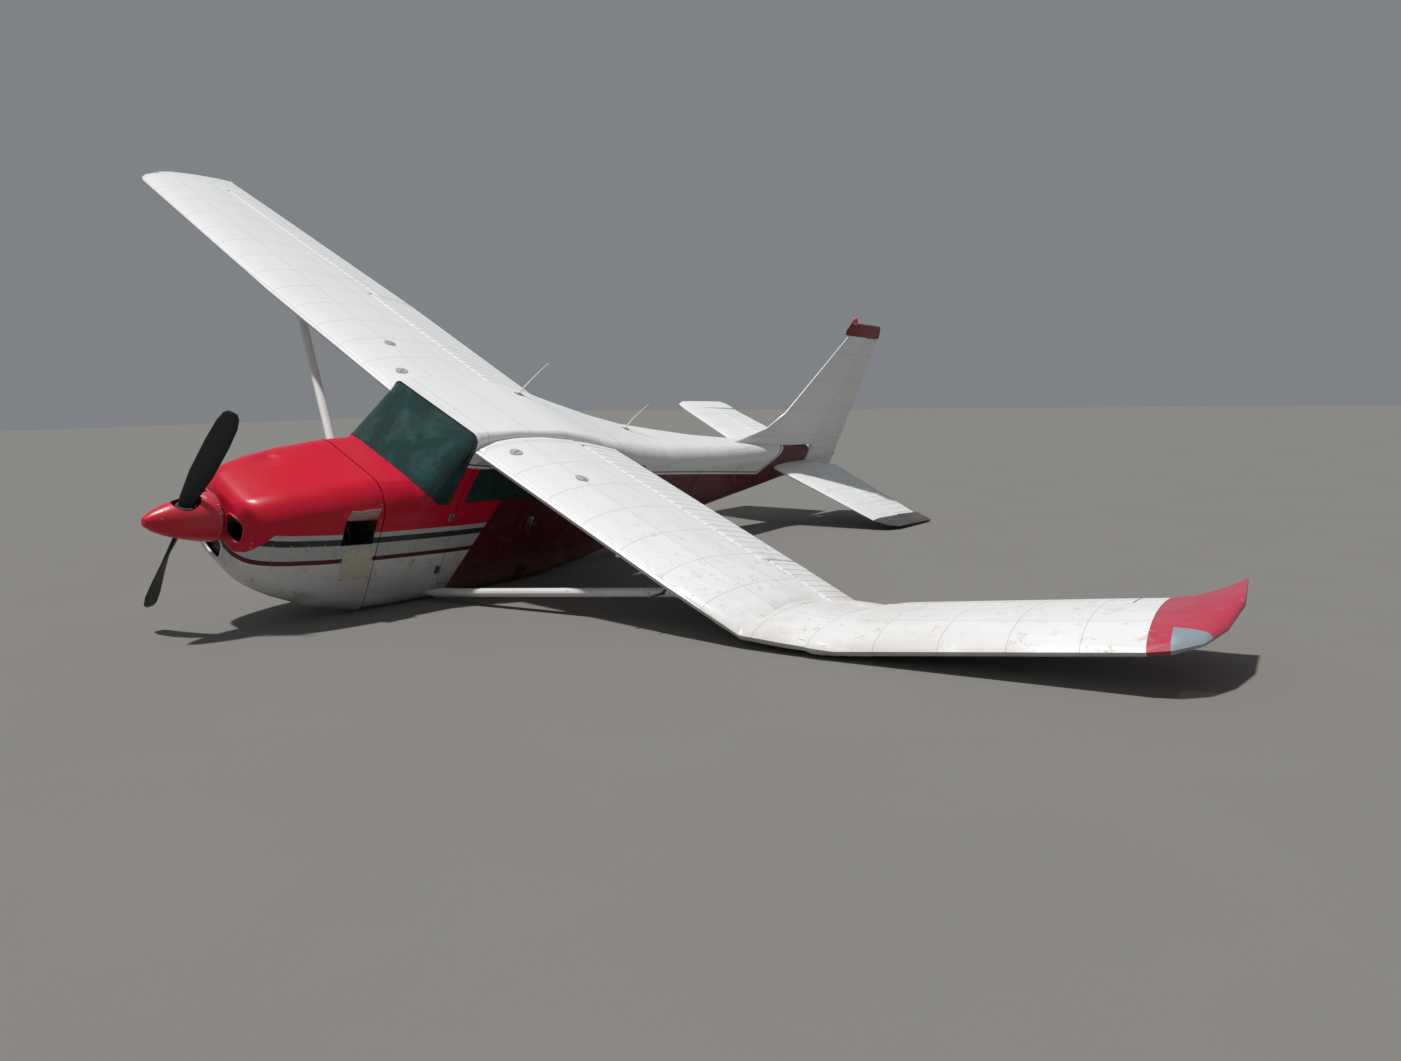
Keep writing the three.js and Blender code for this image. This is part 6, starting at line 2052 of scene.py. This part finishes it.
def swell(piece, limit):
    """Inflates a form as cloth, holding each point near its start."""
    apply_modifier(piece, "REMESH", mode="VOXEL", voxel_size=VOXEL)
    start = [corner.co.copy() for corner in piece.data.vertices]
    pick(piece)
    bpy.ops.object.modifier_add(type="CLOTH")
    cloth = piece.modifiers[-1]
    cloth.settings.use_pressure = True
    cloth.settings.uniform_pressure_force = 4.0
    cloth.settings.effector_weights.gravity = 0
    cloth.settings.quality = 5
    cloth.collision_settings.use_collision = False
    for step in range(1, 21):
        bpy.context.scene.frame_set(step)
    bpy.ops.object.modifier_apply(modifier=cloth.name)
    bpy.context.scene.frame_set(1)
    for corner, place in zip(piece.data.vertices, start):
        move = corner.co - place
        if move.length > limit:
            corner.co = place + move * (limit / move.length)
    apply_modifier(piece, "SUBSURF", levels=1, render_levels=1)
    return piece


def sew(piece, lines, across, depth, width):
    """Presses sewn channels into the outer faces along lines of one coordinate."""
    moves = []
    for corner in piece.data.vertices:
        near = min(abs(corner.co[across] - line) for line in lines)
        if near < width:
            moves.append((corner, corner.normal * depth * (1 - near / width) ** 2))
    for corner, move in moves:
        corner.co -= move
    return piece


WELT_RADIUS = 0.0045


def edge_welt(piece, points, direction):
    """Piping laid on a swollen form where rays meet it."""
    tree = BVHTree.FromPolygons([corner.co for corner in piece.data.vertices],
                                [list(face.vertices) for face in piece.data.polygons])
    laid = []
    for point in points:
        place, _, _, _ = tree.ray_cast(Vector(point), Vector(direction))
        if place is not None:
            laid.append(place + Vector(direction) * -0.001)
    return pipe(laid, WELT_RADIUS, sides=2, closed=True)


def rounded_outline(centre, half_x, half_other, corner, axes):
    """Points round a rounded rectangle in the plane of two axes."""
    points, count = [], 48
    for i in range(count):
        turn = 2 * math.pi * (i + 0.5) / count
        point = Vector(centre)
        point[axes[0]] += half_x * math.copysign(abs(math.cos(turn)) ** corner, math.cos(turn))
        point[axes[1]] += half_other * math.copysign(abs(math.sin(turn)) ** corner, math.sin(turn))
        points.append(point)
    return points


def seat_lines(seat, count):
    return [seat["x"] + seat["half"] * (2 * i / count - 1) for i in range(1, count)]


def build_pads(seat, name, channels):
    """Cushion and back of one seat with their channels and piping, simulated in place."""
    rise = size("cushion_rise")
    cushion = swell(cushion_form(seat), rise)
    sew(cushion, seat_lines(seat, channels), 0, 0.009, 0.016)
    back = swell(back_form(seat), rise * 0.8)
    sew(back, seat_lines(seat, channels), 0, 0.008, 0.016)
    top = (seat["x"], seat["front"] + 0.220, seat["top"] + 0.2)
    welts = [edge_welt(cushion, rounded_outline(top, seat["half"] - 0.036, 0.178, 0.35, (0, 1)), (0, 0, -1))]
    middle_z = (seat["top"] + seat["back_top"]) / 2 + 0.010
    front = (seat["x"], seat["front"] + 0.10, middle_z)
    welts.append(edge_welt(back, rounded_outline(front, seat["half"] - 0.050,
                                                 (seat["back_top"] - seat["top"]) / 2 - 0.045, 0.35, (0, 2)),
                           (0, 1, 0)))
    cushion.name = name + "_cushion"
    back.name = name + "_back"
    welt = joined(welts, name + "_piping")
    return {"cushion": cushion, "back": back, "piping": welt}


def finish_pads(pads, name, node):
    for part, piece in pads.items():
        look = "piping" if part == "piping" else "seat cloth"
        dress(piece, f"{name}_{part}", "airframe", finish(look), angle=180, outward=False)
        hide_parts(node)


def seat_base(seat, name, node):
    """Plinth, rails, side plates and lever under one seat."""
    x, front, half = seat["x"], seat["front"], seat["half"]
    plinth = cube((x, front + 0.235, (FLOOR_TOP + seat["top"] - 0.125) / 2 - 0.0),
                  (2 * half - 0.130, 0.330, seat["top"] - 0.125 - FLOOR_TOP - 0.016), rounding=0.012)
    with Editing(plinth) as edit:
        edit.choose(lambda face: face.normal.z < -0.9)
        bpy.ops.transform.resize(value=(0.92, 1.06, 1))
    parts = [plinth,
             cube((x, front + 0.230, seat["top"] - 0.128), (2 * half - 0.050, 0.400, 0.014), rounding=0.004)]
    for sign in (-1, 1):
        at = x + sign * (half - 0.012)
        parts.append(cube((at, front + 0.452, seat["top"] - 0.055), (0.006, 0.085, 0.130), rounding=0.002,
                          segments=1))
        parts.append(rod((at - sign * 0.004, front + 0.455, seat["top"] - 0.060),
                         (at + sign * 0.006, front + 0.455,
                          seat["top"] - 0.060), 0.018, sides=18, rounding=0.002))
    base = dress(joined(parts), name + "_base", "airframe", finish("black trim"))
    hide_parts(node)
    rails = []
    for sign in (-1, 1):
        at = x + sign * (half - 0.075)
        rails.append(cube((at, front + 0.235, FLOOR_TOP + 0.0065), (0.026, 0.560, 0.011), rounding=0.003,
                          segments=1))
    rails = dress(joined(rails), name + "_rails", "airframe", finish("steel"))
    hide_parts(node)


WEBBING_THICKNESS = 0.0016


def ribbon(points, across):
    """Flat webbing along points, each with its own half width direction."""
    corners, faces = [], []
    for point, side in zip(points, across):
        corners += [Vector(point) - Vector(side), Vector(point) + Vector(side)]
    for i in range(len(points) - 1):
        faces.append((2 * i, 2 * i + 1, 2 * i + 3, 2 * i + 2))
    mesh = bpy.data.meshes.new("ribbon")
    mesh.from_pydata(corners, [], faces)
    piece = bpy.data.objects.new("ribbon", mesh)
    bpy.context.collection.objects.link(piece)
    apply_modifier(piece, "SUBSURF", levels=2, render_levels=2)
    apply_modifier(piece, "SOLIDIFY", thickness=WEBBING_THICKNESS, offset=0)
    return piece


def seat_belts(seat, name):
    """Lap belt across the cushion and its buckle, and a shoulder belt from the side post."""
    x, front, half, top = seat["x"], seat["front"], seat["half"], seat["top"]
    away = math.copysign(1, x) if x else 1
    wide = Vector((0, 0.022, 0.006))
    lap = []
    y = front + 0.370
    for share in (-1.0, -0.86, -0.6, -0.3, 0.0, 0.3, 0.6, 0.86, 1.0):
        drop = 0.085 if abs(share) == 1 else (0.018 if abs(share) > 0.8 else 0.0)
        lap.append((x + share * (half + 0.008), y - 0.04 * (1 - share ** 2), top + 0.022 - drop))
    belt = ribbon(lap, [wide] * len(lap))
    shoulder_top = Vector((away * 0.515, front + 0.700, 0.560))
    shoulder_foot = Vector((away * (abs(x) + half + 0.014), front + 0.440, top - 0.080))
    parts = [belt]
    if x:
        points = [shoulder_top.lerp(shoulder_foot, i / 6) for i in range(7)]
        parts.append(ribbon(points, [Vector((0, 0.022, 0.010))] * 7))
    dress(joined(parts), name + "_belts", "airframe", finish("webbing"), outward=False)
    buckle = cube((x + 0.03, y - 0.040, top + 0.029), (0.062, 0.048, 0.012), rounding=0.004)
    hollowed(buckle, lambda face: face.normal.z > 0.95, 0.006, 0.002)
    dress(buckle, name + "_buckle", "airframe", finish("steel"))


class AIRCRAFT_OT_seats(bpy.types.Operator):
    """Padded front seats and rear bench with channels, piping, bases, rails and belts"""
    bl_idname = "aircraft.seats"
    bl_label = "Seats"

    def execute(self, context):
        pads = build_pads(FRONT_SEAT, "front_seat_left", 5)
        twins = {part: mirrored(piece) for part, piece in pads.items()}
        finish_pads(pads, "front_seat_left", "front_seat_left")
        finish_pads(twins, "front_seat_right", "front_seat_right")
        bench = build_pads(BENCH, "rear_bench", 8)
        finish_pads(bench, "rear_bench", "rear_bench")
        mirror_seat = dict(FRONT_SEAT, x=-FRONT_SEAT["x"])
        for seat, name in ((FRONT_SEAT, "front_seat_left"), (mirror_seat, "front_seat_right"),
                           (BENCH, "rear_bench")):
            seat_base(seat, name, name)
            seat_belts(seat, name)
        return {"FINISHED"}


# Cabin

PANEL_FACE = 1.831
GAUGES = (
    {"x": 0.350, "z": 0.262, "radius": 0.040}, {"x": 0.258, "z": 0.262, "radius": 0.040},
    {"x": 0.166, "z": 0.262, "radius": 0.040}, {"x": 0.350, "z": 0.172, "radius": 0.040},
    {"x": 0.258, "z": 0.172, "radius": 0.040}, {"x": 0.166, "z": 0.172, "radius": 0.040},
    {"x": 0.430, "z": 0.225, "radius": 0.024}, {"x": 0.430, "z": 0.165, "radius": 0.024},
    {"x": -0.150, "z": 0.272, "radius": 0.026}, {"x": -0.212, "z": 0.272, "radius": 0.026},
    {"x": -0.150, "z": 0.206, "radius": 0.026}, {"x": -0.212, "z": 0.206, "radius": 0.026},
    {"x": -0.290, "z": 0.240, "radius": 0.036}, {"x": -0.380, "z": 0.240, "radius": 0.036},
)


def build_gauges():
    rims, dials, needles = [], [], []
    for i, gauge in enumerate(GAUGES):
        centre = Vector((gauge["x"], PANEL_FACE, gauge["z"]))
        radius = gauge["radius"]
        rim = [(radius * 0.86, 0.0), (radius, 0.0), (radius, 0.005), (radius * 0.93, 0.007),
               (radius * 0.86, 0.006)]
        rims.append(spun(rim, centre, (0, 1, 0), sides=32))
        dial = [(0.0, 0.0005), (radius * 0.87, 0.0005), (radius * 0.87, 0.0015), (0.0, 0.0015)]
        dials.append(spun(dial, centre, (0, 1, 0), sides=28))
        turn = 0.7 + i * 1.9
        tip = centre + Vector((math.cos(turn), 0, math.sin(turn))) * radius * 0.66 + Vector((0, 0.0035, 0))
        needles.append(rod(centre + Vector((0, 0.0035, 0)), tip, 0.0016, 0.0004, sides=6))
        for tick in range(12):
            at = 2 * math.pi * tick / 12
            out = Vector((math.cos(at), 0, math.sin(at)))
            needles.append(rod(centre + out * radius * 0.68 + Vector((0, 0.0018, 0)),
                               centre + out * radius * 0.82 + Vector((0, 0.0018, 0)), 0.0009, sides=4))
    dress(joined(rims), "gauge_rims", "airframe", finish("black trim"))
    dress(joined(dials), "gauge_dials", "airframe", finish("dial"))
    dress(joined(needles), "gauge_needles", "airframe", finish("needle"))


def build_panel():
    plate = upright("instrument_panel")
    with Editing(plate, "VERT"):
        bpy.ops.mesh.bisect(plane_co=(0, PANEL_FACE - 0.001, 0), plane_no=(0, 1, 0), clear_outer=True,
                            use_fill=True)
    plate = dress(plate, "panel_plate", "airframe", finish("black trim"))
    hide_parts("instrument_panel")
    build_gauges()
    radios, knobs = [], []
    for i, height in enumerate((0.040, 0.050, 0.050, 0.036)):
        z = 0.288 - sum((0.040, 0.050, 0.050, 0.036)[:i]) - height / 2 - 0.004 * i
        box = cube((0, PANEL_FACE + 0.004, z), (0.162, 0.010, height), rounding=0.002, segments=1)
        hollowed(box, lambda face: face.normal.y > 0.95, 0.006, 0.002)
        radios.append(box)
        for x in (-0.066, 0.066):
            knobs.append(rod((x, PANEL_FACE + 0.008, z), (x, PANEL_FACE + 0.024, z), 0.0075, 0.0065,
                             sides=18,
                             rounding=0.001))
        for j in range(5):
            knobs.append(cube((-0.036 + 0.018 * j, PANEL_FACE + 0.010, z - height * 0.22),
                              (0.010, 0.006, 0.006),
                              rounding=0.001, segments=1))
    for i in range(9):
        x = 0.120 + 0.036 * i
        knobs.append(cube((x, PANEL_FACE + 0.005, 0.020), (0.014, 0.010, 0.022), rounding=0.002, segments=1))
    dress(joined(radios), "radio_fronts", "airframe", finish("dial"))
    dress(joined(knobs), "panel_knobs", "airframe", finish("black trim"))
    glove = cube((-0.330, PANEL_FACE + 0.003, 0.075), (0.240, 0.008, 0.130), rounding=0.003)
    hollowed(glove, lambda face: face.normal.y > 0.95, 0.010, 0.0015)
    dress(glove, "glove_box_lid", "airframe", finish("black trim"))
    for x, name, look in ((0.045, "throttle_knob", "black trim"), (0.0, "pitch_knob", "blue knob"),
                          (-0.045, "mixture_knob", "red knob")):
        shaft = rod((x, PANEL_FACE, -0.020), (x, PANEL_FACE + 0.060, -0.022), 0.004, sides=10)
        grip = spun([(0.0, 0.0), (0.009, 0.0), (0.016, 0.006), (0.017, 0.016), (0.012, 0.024), (0.0, 0.026)],
                    (x, PANEL_FACE + 0.055, -0.022), (0, 1, 0), sides=24)
        dress(joined([shaft, grip]), name, "airframe", finish(look))
    bpy.ops.mesh.primitive_grid_add(x_subdivisions=14, y_subdivisions=4, size=1, location=(0, 1.762, 0.345))
    shield = bpy.context.object
    shield.scale = (0.820, 0.175, 1)
    settle(shield)
    for corner in shield.data.vertices:
        corner.co.z += 0.014 * math.cos(corner.co.x * math.pi / 0.9) - 0.9 * max(0.0, corner.co.y - 1.815)
    apply_modifier(shield, "SOLIDIFY", thickness=0.010, offset=0)
    bevel(shield, 0.003, 2)
    dress(shield, "glareshield", "airframe", finish("black trim"))


def build_yokes():
    for sign, side in ((1, "left"), (-1, "right")):
        x = 0.260 * sign
        shaft = rod((x, PANEL_FACE - 0.004, 0.110), (x, 1.985, 0.110), 0.0115, sides=20)
        boss = spun([(0.0, -0.012), (0.030, -0.012), (0.034, 0.0), (0.028, 0.014), (0.0, 0.018)],
                    (x, 1.990, 0.110), (0, 1, 0), sides=28)
        collar = spun([(0.012, 0.0), (0.026, 0.0), (0.022, 0.012), (0.012, 0.014)], (x, PANEL_FACE, 0.110),
                      (0, 1, 0))
        bar = pipe([(x - 0.104, 1.994, 0.205), (x - 0.110, 1.994, 0.160), (x - 0.088, 1.994, 0.112),
                    (x, 1.990, 0.100), (x + 0.088, 1.994, 0.112), (x + 0.110, 1.994, 0.160),
                    (x + 0.104, 1.994, 0.205)], 0.0125, sides=4)
        grips = [rod((x + end * 0.108, 1.994, 0.130), (x + end * 0.105, 1.994, 0.212), 0.0165, 0.0150,
                     sides=20,
                     rounding=0.004) for end in (-1, 1)]
        yoke = dress(joined([shaft, boss, collar, bar] + grips), f"yoke_{side}", "airframe",
                     finish("black trim"))
        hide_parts("instrument_panel")


def build_pedals():
    parts = []
    for seat_x in (-0.260, 0.260):
        for sign in (-1, 1):
            x = seat_x + sign * 0.075
            parts.append(cube((x, 1.640, -0.330), (0.074, 0.014, 0.100), turn=(math.radians(-22), 0, 0),
                              rounding=0.004))
            parts.append(pipe([(x, 1.632, -0.350), (x, 1.600, -0.400), (x, 1.560, -0.448)], 0.008, sides=3))
    parts.append(rod((-0.400, 1.560, -0.448), (0.400, 1.560, -0.448), 0.012, sides=16))
    dress(joined(parts), "rudder_pedals", "airframe", finish("steel"))


def build_console_and_roof():
    console = cube((0, 2.060, -0.400), (0.060, 0.260, 0.156), rounding=0.012)
    with Editing(console) as edit:
        edit.choose(lambda face: face.normal.z > 0.9)
        bpy.ops.transform.resize(value=(0.8, 0.7, 1))
    wheel = spun([(0.012, -0.006), (0.048, -0.006), (0.052, 0.0), (0.048, 0.006), (0.012, 0.006)],
                 (0.0, 2.060, -0.335), (1, 0, 0), sides=36)
    dress(joined([console, wheel]), "trim_wheel_console", "airframe", finish("black trim"))
    visors = []
    for sign in (-1, 1):
        visor = cube((sign * 0.240, 2.215, 0.655), (0.300, 0.130, 0.008), turn=(math.radians(8), 0, 0),
                     rounding=0.003)
        visors.append(visor)
        visors.append(rod((sign * 0.090, 2.160, 0.668), (sign * 0.390, 2.160, 0.668), 0.005, sides=12))
    dress(joined(visors), "sun_visors", "airframe", finish("cream trim"))
    compass = spun([(0.0, -0.028), (0.026, -0.026), (0.032, -0.010), (0.032, 0.018), (0.020, 0.028),
                    (0.0, 0.030)],
                   (0, 2.010, 0.560), (0, 1, 0), sides=28)
    mount = rod((0, 2.010, 0.585), (0, 2.045, 0.655), 0.005, sides=12)
    dress(joined([compass, mount]), "compass", "airframe", finish("black trim"))


def finish_inner_nodes():
    """Better finishes on the flat CAD plates that stay."""
    for node, look in (("firewall", "steel"), ("baggage_bulkhead", "cream trim"), ("cabin_floor", "carpet")):
        mesh = frame["nodes"][node].data
        mesh.materials.clear()
        mesh.materials.append(finish(look))


class AIRCRAFT_OT_cabin(bpy.types.Operator):
    """Instrument panel, gauges, yokes, pedals, console, visors, compass and carpet"""
    bl_idname = "aircraft.cabin"
    bl_label = "Cabin"

    def execute(self, context):
        build_panel()
        build_yokes()
        build_pedals()
        build_console_and_roof()
        finish_inner_nodes()
        return {"FINISHED"}


# Panel and run

class AIRCRAFT_PT_panel(bpy.types.Panel):
    """Lists what can be changed and the pieces that can be built"""
    bl_idname = "AIRCRAFT_PT_panel"
    bl_label = "Aircraft"
    bl_space_type = "VIEW_3D"
    bl_region_type = "UI"
    bl_category = "Aircraft"

    def draw(self, context):
        layout = self.layout
        for group in GROUPS:
            box = layout.box()
            settings = getattr(context.scene, GROUPS[group])
            for name in group.__annotations__:
                box.prop(settings, name)
        for step in STEPS:
            layout.operator(step.bl_idname)


GROUPS = {
    AircraftColours: "aircraft_colours",
    AircraftSizes: "aircraft_sizes",
    AircraftStage: "aircraft_stage",
}
STEPS = (
    AIRCRAFT_OT_stage,
    AIRCRAFT_OT_fuselage_skins,
    AIRCRAFT_OT_wing_skins,
    AIRCRAFT_OT_tail_skins,
    AIRCRAFT_OT_engine,
    AIRCRAFT_OT_propeller,
    AIRCRAFT_OT_cowl_fittings,
    AIRCRAFT_OT_landing_gear,
    AIRCRAFT_OT_wing_fittings,
    AIRCRAFT_OT_struts_and_antennas,
    AIRCRAFT_OT_tail_fittings,
    AIRCRAFT_OT_windows_and_doors,
    AIRCRAFT_OT_cabin,
    AIRCRAFT_OT_seats,
)


def register():
    for group, name in GROUPS.items():
        bpy.utils.register_class(group)
        setattr(bpy.types.Scene, name, PointerProperty(type=group))
    for item in STEPS + (AIRCRAFT_PT_panel,):
        bpy.utils.register_class(item)


def unregister():
    for item in reversed(STEPS + (AIRCRAFT_PT_panel,)):
        bpy.utils.unregister_class(item)
    for group, name in GROUPS.items():
        delattr(bpy.types.Scene, name)
        bpy.utils.unregister_class(group)


def main():
    register()
    for step in STEPS:
        group, action = step.bl_idname.split(".")
        getattr(getattr(bpy.ops, group), action)()


if __name__ == "__main__":
    main()
